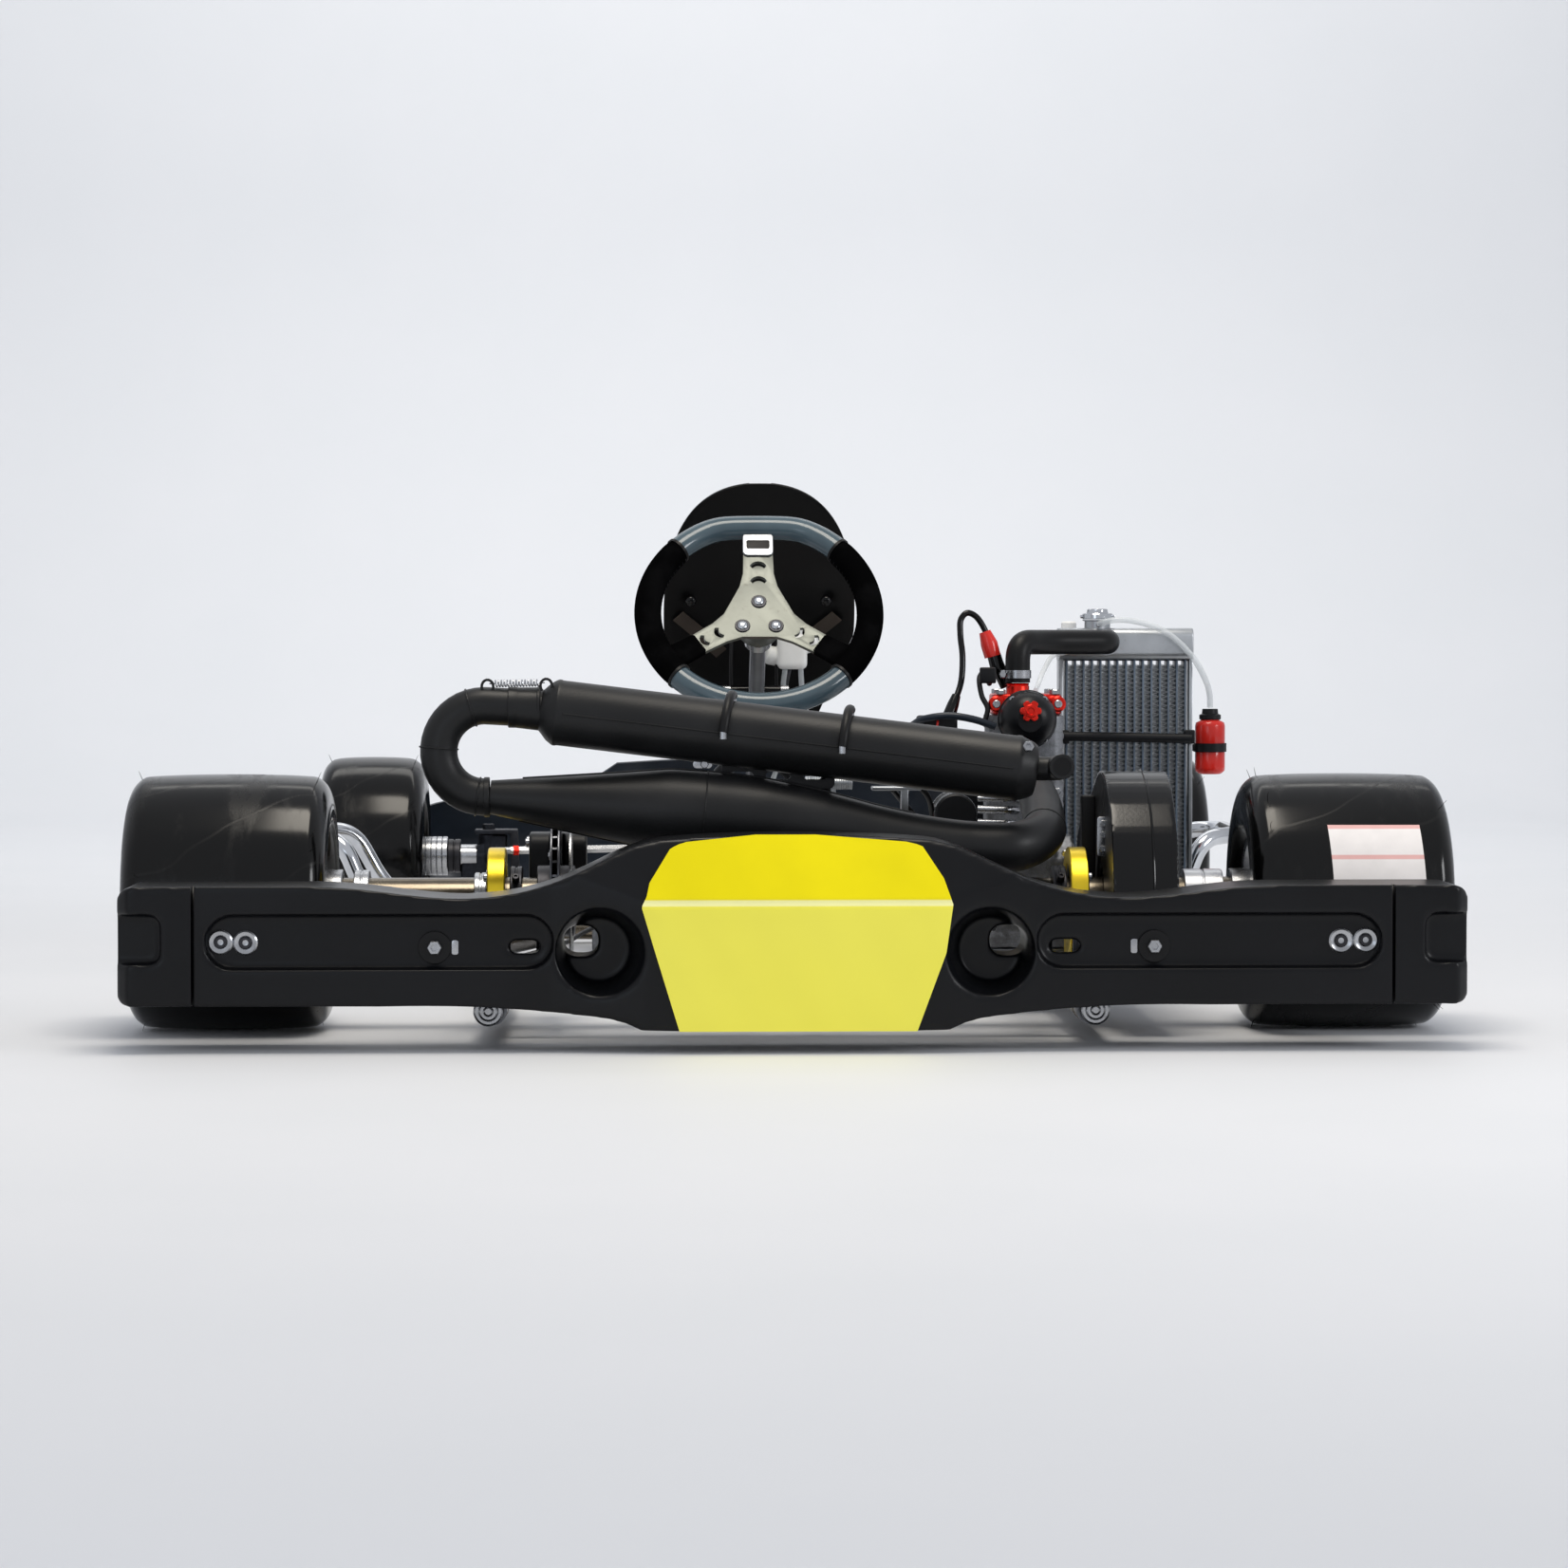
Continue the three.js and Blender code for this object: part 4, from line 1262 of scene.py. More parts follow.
def sheet(name: str, grid: np.ndarray, offset: Point) -> Piece:
    """A thin closed skin: a grid of points (rows, columns, 3) and the same grid moved by an offset.

    Args:
        name: the piece's name.
        grid: rows of points over the sheet.
        offset: the way to its other face, in millimetres.

    Returns:
        The finished piece.
    """
    back = grid + np.array(offset, float)
    rings = np.concatenate([grid, back[:, ::-1]], axis=1)
    return Form.lattice(name, rings)


def bolt(name: str, place: Point, direction: Point, radius: float = 6.0, height: float = 5.0,
         sides: int = 24, socket: bool = True) -> Piece:
    """A cap or hexagon bolt head that points along a direction.

    Args:
        name: the piece's name.
        place: where it sits, in millimetres.
        direction: the way it points.
        radius: radius in millimetres.
        height: its height in millimetres.
        sides: how many sides it has.
        socket: the radius of its hexagon socket, or none.

    Returns:
        The finished piece.
    """
    profile = [(0.0, 0.0), (radius, 0.0), (radius, height - 0.8), (radius - 0.8, height)]
    hollow = [(radius * 0.5, height), (radius * 0.45, height - radius * 0.4), (0.0, height - radius * 0.4)]
    profile += hollow if socket else [(0.0, height)]
    head = Form.turned(name, profile, sides, "Z")
    return Form.moved(head, facing(place, direction))


def washer(name: str, place: Point, direction: Point, radius: float, bore: float,
           thick: float = 1.5) -> Piece:
    """A flat washer with broken edges.

    Args:
        name: the piece's name.
        place: where it sits, in millimetres.
        direction: the way it points.
        radius: radius in millimetres.
        bore: radius of its hole, or none.
        thick: its thickness in millimetres.

    Returns:
        The finished piece.
    """
    edge = min(0.4, thick / 3)
    profile = [(bore, 0.0), (radius - edge, 0.0), (radius, edge), (radius, thick - edge),
               (radius - edge, thick), (bore, thick)]
    return Form.moved(Form.turned(name, profile, 40, "Z"), facing(place, direction))


def coil_spring(name: str, start: Point, end: Point, radius: float, wire: float,
                turns: float) -> Piece:
    """A tight coil between two points, with a hook at each end.

    Args:
        name: the piece's name.
        start: where it starts.
        end: where it ends.
        radius: radius in millimetres.
        wire: the wire's radius in millimetres.
        turns: how many coils it has.

    Returns:
        The finished piece.
    """
    a, b = Vector(start), Vector(end)
    length = (b - a).length
    hook = radius * 1.6
    steps = int(turns * 14)
    route = [(0.0, 0.0, 0.0)]
    for i in range(steps + 1):
        angle = 2 * math.pi * turns * i / steps
        along = hook + (length - 2 * hook) * i / steps
        route.append((radius * math.cos(angle), radius * math.sin(angle), along))
    route.append((0.0, 0.0, length))
    obj = Form.tube(name, np.array(route), wire, 6)
    return Form.moved(obj, facing(start, b - a))


def hose_clamp(name: str, place: Point, direction: Point, radius: float,
               width: float = 9.0) -> Piece:
    """A worm-drive clamp: a band with its screw housing on one side.

    Args:
        name: the piece's name.
        place: where it sits, in millimetres.
        direction: the way it points.
        radius: radius in millimetres.
        width: its width in millimetres.

    Returns:
        The finished piece.
    """
    band = Form.turned(name, [(radius, -width / 2), (radius + 0.9, -width / 2), (radius + 0.9, width / 2),
                              (radius, width / 2)], 40, "Z")
    box = Form.block(f"{name}_housing", (radius, -6, -width / 2), (radius + 5, 6, width / 2), 0.8, 2)
    screw = Form.turned(f"{name}_screw", [(0, -9), (3.4, -9), (3.4, 8), (0, 8)], 12, "Y",
                        (radius + 3, 0, 0))
    return Form.moved(Form.joined(name, [band, box, screw]), facing(place, direction))


# ------------------------------------------------------------------ rear bumper

@dataclass
class RearBumper:
    """The full-width moulded rear bumper with its funnels, channels, film panel and bolts."""

    back: float = -892.0
    front: float = -776.0
    crease: float = 151.6
    funnel: Point = (199.0, 102.0)
    channel: Point = (418.5, 111.8, 350.0, 55.0)
    voxel: float = 3.0

    def outline(self) -> Outline:
        """The bumper's outline from behind, as (x, z).

        Returns:
            The outline's points, in order.
        """
        right = bezier((0, 219), (50, 219), (100, 217), (132, 214), 8)
        right += bezier((132, 214), (190, 210), (225, 157), (335, 155.5), 16)[1:]
        right += bezier((335, 155.5), (385, 155.5), (430, 168), (486, 168), 10)[1:]
        right += arc((666, 152), 16, 90, 0, 6) + arc((670, 60), 12, 0, -90, 6)
        right += bezier((417, 47), (330, 50), (250, 42), (189, 35), 12)
        right += [(170, 30), (156, 23.5), (120, 22.4)]
        return right + [(-x, z) for x, z in reversed(right) if x > 0]

    def build(self) -> None:
        """Builds and delivers every piece."""
        self._moulding()
        self._panel()
        for name, side in SIDES.items():
            self._fasteners(name, side)

    def _moulding(self) -> None:
        """The hollow-looking body, softened like a rotational moulding."""
        body = Form.prism("rear_bumper_skin", self.outline(), self.back - 10, self.front, "Y")
        plan = [(150, self.back), (246, -879.5), (600, -879.5), (670, -886), (681.5, -874), (681.5, -790),
                (662, self.front)]
        plan += [(-x, y) for x, y in reversed(plan)]
        level = Form.prism("level", plan, 0, 240, "Z")
        Form.boolean(body, level, "INTERSECT")
        lean = Form.prism("lean",
                          [(-940, self.crease), (self.back, self.crease), (-868, 222), (-868, 240),
                           (-940, 240)],
                          -215, 215, "X")
        Form.boolean(body, lean, "DIFFERENCE")
        for side in SIDES.values():
            for tool in self._cutters(side):
                Form.boolean(body, tool, "DIFFERENCE")
        hollow = Form.prism("hollow", [(-135, 40), (135, 40), (135, 195), (-135, 195)], -862, -700, "Y")
        Form.boolean(body, hollow, "DIFFERENCE")
        Form.soften(body, self.voxel, 5)
        for side in SIDES.values():
            low, high = sorted((side * 603.6, side * 607.0))
            seam = Form.prism("seam", [(low, 38), (high, 38), (high, 182), (low, 182)], -930, -868, "Y")
            Form.boolean(body, seam, "DIFFERENCE")
        deliver(body, "chassis", Finishes.bumper, "rear_bumper")

    def _cutters(self, side: int) -> list[Piece]:
        """The channel, funnel, passage, pocket, slot, ring mark and rear hollow of one side.

        Args:
            side: -1 on the left, 1 on the right.

        Returns:
            The cutting pieces.
        """
        x, z, width, height = self.channel
        channel = Form.prism("channel", round_rect(side * x, z, width, height, 27), -920, -866, "Y")
        fx, fz = self.funnel
        cone = Form.turned("cone", [(0, -920), (55, -920), (49, -893), (43, -880), (33, -838), (0, -838)],
                           48, "Y",
                           (side * fx, 0, 0))
        Form.moved(cone, put((0, 0, fz)))
        passage = Form.prism("passage", round_rect(side * 217, fz + 8, 36, 31, 13), -920, -700, "Y")
        pocket = Form.prism("pocket", round_rect(side * 664, 115, 54, 50, 12), -920, -870, "Y")
        slot = Form.prism("slot", round_rect(side * 273, 106, 31, 13, 6.4), -920, -850, "Y")
        mark = Form.turned("mark", [(12.5, -920), (14.5, -920), (14.5, -864.2), (12.5, -864.2)], 40, "Y",
                           (0, 0, 0))
        Form.moved(mark, put((side * 518, 0, 111)))
        low, high = sorted((side * 262, side * 596))
        hollow = Form.prism("rear_hollow", [(low, 62), (high, 62), (high, 146), (low, 146)], -854, -700,
                            "Y")
        return [channel, cone, passage, pocket, slot, mark, hollow]

    def _panel(self) -> None:
        """The yellow film: upright below the crease, leaning forward above it."""
        left = [(22.6, -117), (101, -141), (148, -155), (158, -150), (172, -147), (206, -126), (212, -113),
                (219.5, -40)]
        right = [(22.6, 122), (101, 151), (150, 158), (176, 149), (208, 128), (212, 116), (219.5, 20)]
        levels = np.concatenate([np.linspace(22.6, self.crease - 2, 44),
                                 np.linspace(self.crease - 1.4, 219.5, 30)])
        grid = np.zeros((len(levels), 96, 3))
        seed = np.random.default_rng(7)
        phases = seed.uniform(0, 6.28, 6)
        for row, z in enumerate(levels):
            x0 = np.interp(z, *zip(*left))
            x1 = np.interp(z, *zip(*right))
            u = np.linspace(0.0, 1.0, 96)
            x = x0 + (x1 - x0) * u
            rise = max(0.0, z - self.crease)
            y = np.full(96, self.back - 3.2 + rise * 24.0 / 71.0)
            softness = 1.2 * math.exp(-((z - self.crease) / 2.5) ** 2)
            wave = (0.45 * np.sin(x / 21 + phases[0]) + 0.35 * np.sin(x / 9 + z / 17 + phases[1])
                    + 0.25 * np.sin(z / 12 + x / 40 + phases[2]))
            pull = np.exp(-((u - 0.02) / 0.05) ** 2) * math.exp(-((z - 148) / 14) ** 2)
            grid[row, :, 0] = x
            grid[row, :, 1] = y + softness + wave * 0.5 - pull * 1.5
            grid[row, :, 2] = z
        film = sheet("yellow_panel", grid, (0.0, 2.0, 0.0))
        deliver(film, "chassis", Finishes.film, "bumper_panel")

    def _fasteners(self, name: str, side: int) -> None:
        """Countersunk bolts, the rail bolt with its washer, and the small fittings of the channel.

        Args:
            name: the piece's name.
            side: -1 on the left, 1 on the right.
        """
        floor = -866.0
        cups = []
        pins = []
        for number, x in enumerate((553.5, 578.5)):
            cup = Form.turned("cup", [(0, 0), (12.5, 0), (12.5, 1.8), (11, 3.0), (6.5, 0.8), (0, 0.8)], 40,
                              "Z")
            cups.append(Form.moved(cup, facing((side * x, floor, 111.0 + number * 0.6), (0, -1, 0))))
            pins.append(bolt("pin", (side * x, floor - 0.6, 111.0 + number * 0.6), (0, -1, 0), 6.4, 2.6))
        fit(f"bumper_cups_{name}", cups, Finishes.zinc)
        fit(f"bumper_pins_{name}", pins, Finishes.dark_bolt)
        rubber = washer(f"bumper_rubber_washer_{name}", (side * 363.5, floor, 106), (0, -1, 0), 16.5, 4.0,
                        3.0)
        deliver(rubber, "chassis", Finishes.hose)
        head = bolt(f"bumper_rail_bolt_{name}", (side * 363.5, floor - 3.0, 106), (0, -1, 0), 7.5, 6.5, 6)
        tab = Form.plate("tab", round_rect(side * 343, 106, 7, 15, 2.5), floor - 2.2, floor, "Y", 0.5)
        fit(f"bumper_silver_{name}", [head, tab], Finishes.zinc)
        plate = Form.plate(f"bumper_bracket_{name}", round_rect(side * 338, 86, 96, 84, 7),
                           self.front + 0.4,
                           self.front + 6, "Y", 1.0)
        socket = Form.turned("socket",
                             [(0, self.front + 5), (16, self.front + 5), (16, -735.4), (0, -735.4)],
                             48, "Y", (0, 0, 0))
        Form.moved(socket, put((side * 310, 0, 34)))
        fit(f"bumper_mount_look_{name}", [plate, socket], Finishes.steel, f"bumper_mount_{name}")
        rings = [Form.turned("plug", [(0, 0), (r, 0), (r, 1.2), (r - 0.8, 2.0), (r - 2.2, 1.2), (0, 1.2)],
                             48, "Z")
                 for r in (15.5, 10.5, 5.5)]
        for level, ring in enumerate(rings):
            Form.moved(ring, facing((side * 313, -780 - level * 1.2, 33.5), (0, -1, 0)))
        fit(f"rail_plug_{name}", rings, Finishes.zinc)


# ------------------------------------------------------------------ wheels

class Corner(Enum):
    """The four wheels, by axle and side."""

    REAR_LEFT = ("rear", "left")
    REAR_RIGHT = ("rear", "right")
    FRONT_LEFT = ("front", "left")
    FRONT_RIGHT = ("front", "right")


@dataclass
class Wheel:
    """A slick tyre on an aluminium rim."""

    corner: Corner
    inner: float
    outer: float
    radius: float
    axle_y: float
    axle_z: float
    bead: float = 64.0
    segments: int = 160

    @property
    def side(self) -> int:
        """-1 on the left, 1 on the right."""
        return SIDES[self.corner.value[1]]

    @property
    def body(self) -> str:
        """The CAD body that turns with the wheel.

        Returns:
            The body's name.
        """
        axle, side = self.corner.value
        return "rear_axle" if axle == "rear" else f"front_wheel_{side}"

    @property
    def centre(self) -> tuple[float, float, float]:
        """The wheel's centre."""
        return (self.side * (self.inner + self.outer) / 2, self.axle_y, self.axle_z)

    def build(self) -> None:
        """Builds the tyre, its moulding hairs and the rim."""
        self._tyre()
        self._hairs()
        self._rim()

    def _section(self) -> Outline:
        """Half of the tyre's outside, from the bead to the crown, as (radius, along).

        Returns:
            Points from the bead to the crown.
        """
        half = (self.outer - self.inner) / 2
        bead = half - 15.5
        wall = bezier((self.bead + 0.6, bead), (self.bead + 12, bead + 1), (self.radius - 62, half - 0.5),
                      (self.radius - 40, half - 0.3), 10)
        rib = [(self.radius - 38.6, half + 0.0), (self.radius - 37.4, half + 0.0)]
        shoulder = bezier((self.radius - 36, half - 0.4), (self.radius - 22, half - 0.4),
                          (self.radius - 9, half - 4),
                          (self.radius - 3.2, half - 17), 14)
        crown = bezier((self.radius - 2.6, half - 20), (self.radius - 0.8, half * 0.62),
                       (self.radius, half * 0.3),
                       (self.radius, 0.0), 10)
        return wall + rib + shoulder + crown

    def _tyre(self) -> None:
        """The tyre, turned as one closed section."""
        outside = self._section()
        half = (self.outer - self.inner) / 2
        inside = bezier((self.radius - 8, 0), (self.radius - 8, half * 0.8), (self.radius - 26, half - 6),
                        (self.bead + 0.8, half - 24), 10)
        right = list(outside)
        section = right + [(r, -x) for r, x in reversed(outside[:-1])]
        section += [(r, -x) for r, x in reversed(inside)] + inside[1:]
        x = self.centre[0]
        profile = [(r, along + x) for r, along in section]
        tyre = Form.turned(f"{'_'.join(self.corner.value)}_slick", profile, self.segments, "X",
                           (0, self.axle_y, self.axle_z))
        axle, side = self.corner.value
        finish = Finishes.rear_slick if axle == "rear" else Finishes.front_slick
        deliver(tyre, self.body, finish, f"{axle}_tyre_{side}")

    def _hairs(self) -> None:
        """Short moulding hairs left standing on both shoulders."""
        half = (self.outer - self.inner) / 2
        bands = []
        for flip in (-1, 1):
            x = self.centre[0]
            band = [(self.radius - 6.5, x + flip * (half - 10)),
                    (self.radius - 3.6, x + flip * (half - 16)),
                    (self.radius - 2.4, x + flip * (half - 24)),
                    (self.radius - 7.0, x + flip * (half - 16))]
            bands.append(Form.turned("band", band, 72, "X", (0, self.axle_y, self.axle_z)))
        carrier = Form.joined("hair_band", bands)
        bend = np.array([(0, 0, -1), (0.2, 0, 3.2), (1.0, 0.2, 6.8), (2.6, 0.5, 9.6)])
        hair = Form.tube("hair", bend, lambda u: 0.42 * (1.0 - 0.6 * u), 5)
        hairs = repeater(Pattern.SCATTER).run(f"{'_'.join(self.corner.value)}_hairs", hair, Finishes.hose,
                                              span=900.0, seed=sum(map(ord, self.corner.value[1])),
                                              carrier=carrier)
        deliver(hairs, self.body, Finishes.hose)

    def _rim(self) -> None:
        """The spun rim: two flanges, a well and a web on the hub."""
        axle, side = self.corner.value
        half = (self.outer - self.inner) / 2 - 15.5 + 0.4
        rear = axle == "rear"
        bore, hub = (26.0, 34.0) if rear else (14.0, 26.0)
        start, web, end = (-118, -64, -46) if rear else (-50, -18, 42)
        well = self.bead - 0.5
        edge = 71.0
        profile = [(bore, start), (hub - 1, start), (hub, start + 1), (hub, web - 3), (hub + 3, web),
                   (well - 7, web)]
        profile += [(well - 4.5, -half + 3), (well - 1.5, -half - 2.4), (edge - 4, -half - 3.2),
                    (edge - 1.2, -half - 3.4), (edge, -half - 2.4)]
        profile += [(edge, -half), (well, -half), (well, -half + 10), (well - 1.4, -half + 16),
                    (well - 1.4, half - 16)]
        profile += [(well, half - 10), (well, half), (edge, half), (edge, half + 2.4),
                    (edge - 1.2, half + 3.4)]
        profile += [(edge - 4, half + 3.2), (well - 1.5, half + 2.4), (well - 4.5, half - 3),
                    (well - 4.5, web + 14), (well - 8, web + 8)]
        profile += [(hub + 3, web + 8), (hub, web + 11), (hub, end - 1), (hub - 1, end), (bore, end)]
        x = self.centre[0]
        placed = [(r, x + self.side * along) for r, along in profile]
        rim = Form.turned("rim", placed, 96, "X", (0, self.axle_y, self.axle_z), 24.0)
        nut = Form.turned("nut", [(0, 4.5), (7, 4.5), (7, 11), (5.5, 12), (0, 12)], 6, "Z")
        ring = repeater(Pattern.RING).run("nuts", nut, Finishes.zinc, 3, 44 * MM if rear else 40 * MM)
        Form.moved(ring, facing((x + self.side * (web - 4), self.axle_y, self.axle_z), (-self.side, 0, 0)))
        look = Form.joined(f"{axle}_{side}_rim", [rim])
        deliver(look, self.body, Finishes.turned, f"{axle}_rim_{side}")
        deliver(Form.joined(f"{axle}_{side}_rim_nuts", [ring]), self.body, Finishes.zinc)


@dataclass
class TyreLabel:
    """A blank paper label on the crown of the right rear tyre."""

    width: float = 97.0
    radius: float = 136.35
    centre_x: float = 612.0

    def build(self) -> None:
        """A thin patch that follows the crown at its back."""
        rows, columns = 36, 24
        grid = np.zeros((rows, columns, 3))
        angles = np.radians(np.linspace(141.5, 177.5, rows))
        for row, angle in enumerate(angles):
            for column, u in enumerate(np.linspace(-0.5, 0.5, columns)):
                lift = 0.9 * max(0.0, abs(u) - 0.44) / 0.06
                x = self.centre_x + self.width * u + 5.0 * math.sin((angle - 2.4) * 1.5)
                r = self.radius - 0.9 * (((x - 592.5) / 107.5) ** 2) ** 2 + lift * 0.5
                grid[row, column] = (x, -600 + r * math.cos(angle), 136 + r * math.sin(angle))
        label = sheet("tyre_label", grid, (0.0, 0.5, -0.1))
        deliver(label, "rear_axle", Finishes.label)


# ------------------------------------------------------------------ frame

@dataclass
class TubeFrame:
    """Main rails, cross tubes, yokes, bars, bumper hoop and floor tray."""

    rail_z: float = 34.0
    rail: float = 16.0
    cross: float = 14.0
    front_y: float = 445.0
    kingpin_x: float = 360.0

    def build(self) -> None:
        """Builds and delivers every piece."""
        for name, side in SIDES.items():
            self._rail(name, side)
            self._side_bar(name, side)
        self._front()
        self._rear_cross()
        self._tray()

    def _rail(self, name: str, side: int) -> None:
        """One main rail with a capped rear end.

        Args:
            name: the piece's name.
            side: -1 on the left, 1 on the right.
        """
        z = self.rail_z
        route = bent([(side * 310, -735, z), (side * 310, -420, z), (side * 338, -150, z),
                      (side * 338, 170, z),
                      (side * 285, 350, z), (side * 285, self.front_y - self.cross - 0.6, z)], 60)
        tube = Form.tube(f"rail_{name}", route, self.rail, 32)
        bead = Form.tube("bead", bent([(side * 310, -731, z), (side * 310, -727.5, z)], 1), self.rail + 0.6,
                         32)
        fit(f"main_rail_{name}", [tube, bead], Finishes.nickel, f"frame_rail_{name}")

    def _side_bar(self, name: str, side: int) -> None:
        """The chromed bar that carries a side pod, with its two sockets.

        Args:
            name: the piece's name.
            side: -1 on the left, 1 on the right.
        """
        route = bent([(side * 354.6, -60, 40), (side * 430, -60, 62), (side * 492, -58, 118),
                      (side * 516, -55, 176),
                      (side * 562, -20, 179), (side * 562, 130, 179), (side * 516, 162, 176),
                      (side * 480, 165, 110),
                      (side * 420, 165, 62), (side * 354.6, 165, 40)], 26, 4)
        bar = Form.tube(f"pod_bar_{name}", route, 10, 28)
        deliver(bar, "chassis", Finishes.chrome, f"side_bar_{name}")
        sleeves = []
        for start, end in (((356, -60, 40.5), (392, -60, 51)), ((356, 165, 40.5), (388, 165, 51.5))):
            path = np.array([(side * start[0], *start[1:]), (side * end[0], *end[1:])], float)
            sleeves.append(Form.tube("sleeve", path, 13, 28))
            middle = path.mean(axis=0)
            sleeves.append(bolt("sleeve_bolt", (middle[0], middle[1], middle[2] + 11), (0, 0, 1), 5, 7, 6))
        fit(f"pod_bar_sockets_{name}", sleeves, Finishes.nickel)

    def _front(self) -> None:
        """The front cross tube, the pedal loop, both yokes, and the chromed bumper hoop."""
        y, z = self.front_y, self.rail_z
        parts = [Form.tube("cross_tube", np.array([(-322, y, z), (322, y, z)], float), self.cross, 32)]
        loop = bent([(-150, y, z), (-150, 700, z), (150, 700, z), (150, y, z)], 50)
        parts.append(Form.tube("pedal_loop", loop, self.cross, 28))
        yokes = []
        for side in SIDES.values():
            outline = [(316, 26), (330, 26), (330, 95), (378, 95), (378, 101), (331, 101), (331, 159),
                       (378, 159),
                       (378, 165), (322, 165)]
            yoke = Form.plate("yoke", [(side * u, v) for u, v in outline], y - 20, y + 20, "Y", 1.6)
            yokes.append(yoke)
            for level in (165.0, 95.0):
                up = 1 if level > 130 else -1
                yokes.append(bolt("kingpin_bolt", (side * self.kingpin_x, y, level), (0, 0, up), 8, 7, 6))
        fit("front_frame", parts, Finishes.nickel, "frame_front")
        fit("kingpin_yokes", yokes, Finishes.forging)
        hoop = bent([(-110, 719, z), (-150, 770, 60), (-160, 842, 92), (160, 842, 92), (150, 770, 60),
                     (110, 719, z)], 40)
        deliver(Form.tube("nose_hoop", hoop, 10, 28), "chassis", Finishes.chrome, "front_bumper")

    def _rear_cross(self) -> None:
        """The low cross tube between the rails' rear ends, with weld beads."""
        tube = Form.tube("rear_cross", np.array([(-293.7, -716, 50), (293.7, -716, 50)], float), 12, 32)
        beads = [Form.turned("bead", [(11, x - 2.5), (13.2, x), (11, x + 2.5)], 32, "X", (0, -716, 50))
                 for x in (-290.5, 290.5)]
        fit("rear_cross_tube", [tube, *beads], Finishes.nickel, "frame_cross_rear")

    def _tray(self) -> None:
        """The floor tray with lightening holes, rolled edges and its screws."""
        outline = [(-318, -90), (318, -90), (318, 190), (262, 425), (145, 440), (145, 690), (-145, 690),
                   (-145, 440),
                   (-262, 425), (-318, 190)]
        holes = [round_rect(x, y, 60, 26, 12) for x in (-210, 0, 210) for y in (-52,)]
        top = self.rail_z - self.rail - 0.3
        tray = Form.plate("tray", outline, top - 3, top, "Z", 0.8, holes)
        deliver(tray, "chassis", Finishes.tray, "floor_tray")
        heads = [bolt("screw", (x, y, top), (0, 0, 1), 6.5, 3.0)
                 for x, y in ((-250, 60), (250, 60), (-130, 560), (130, 560), (-250, -70), (250, -70))]
        fit("tray_screws", heads, Finishes.dark_bolt)


# ------------------------------------------------------------------ rear axle

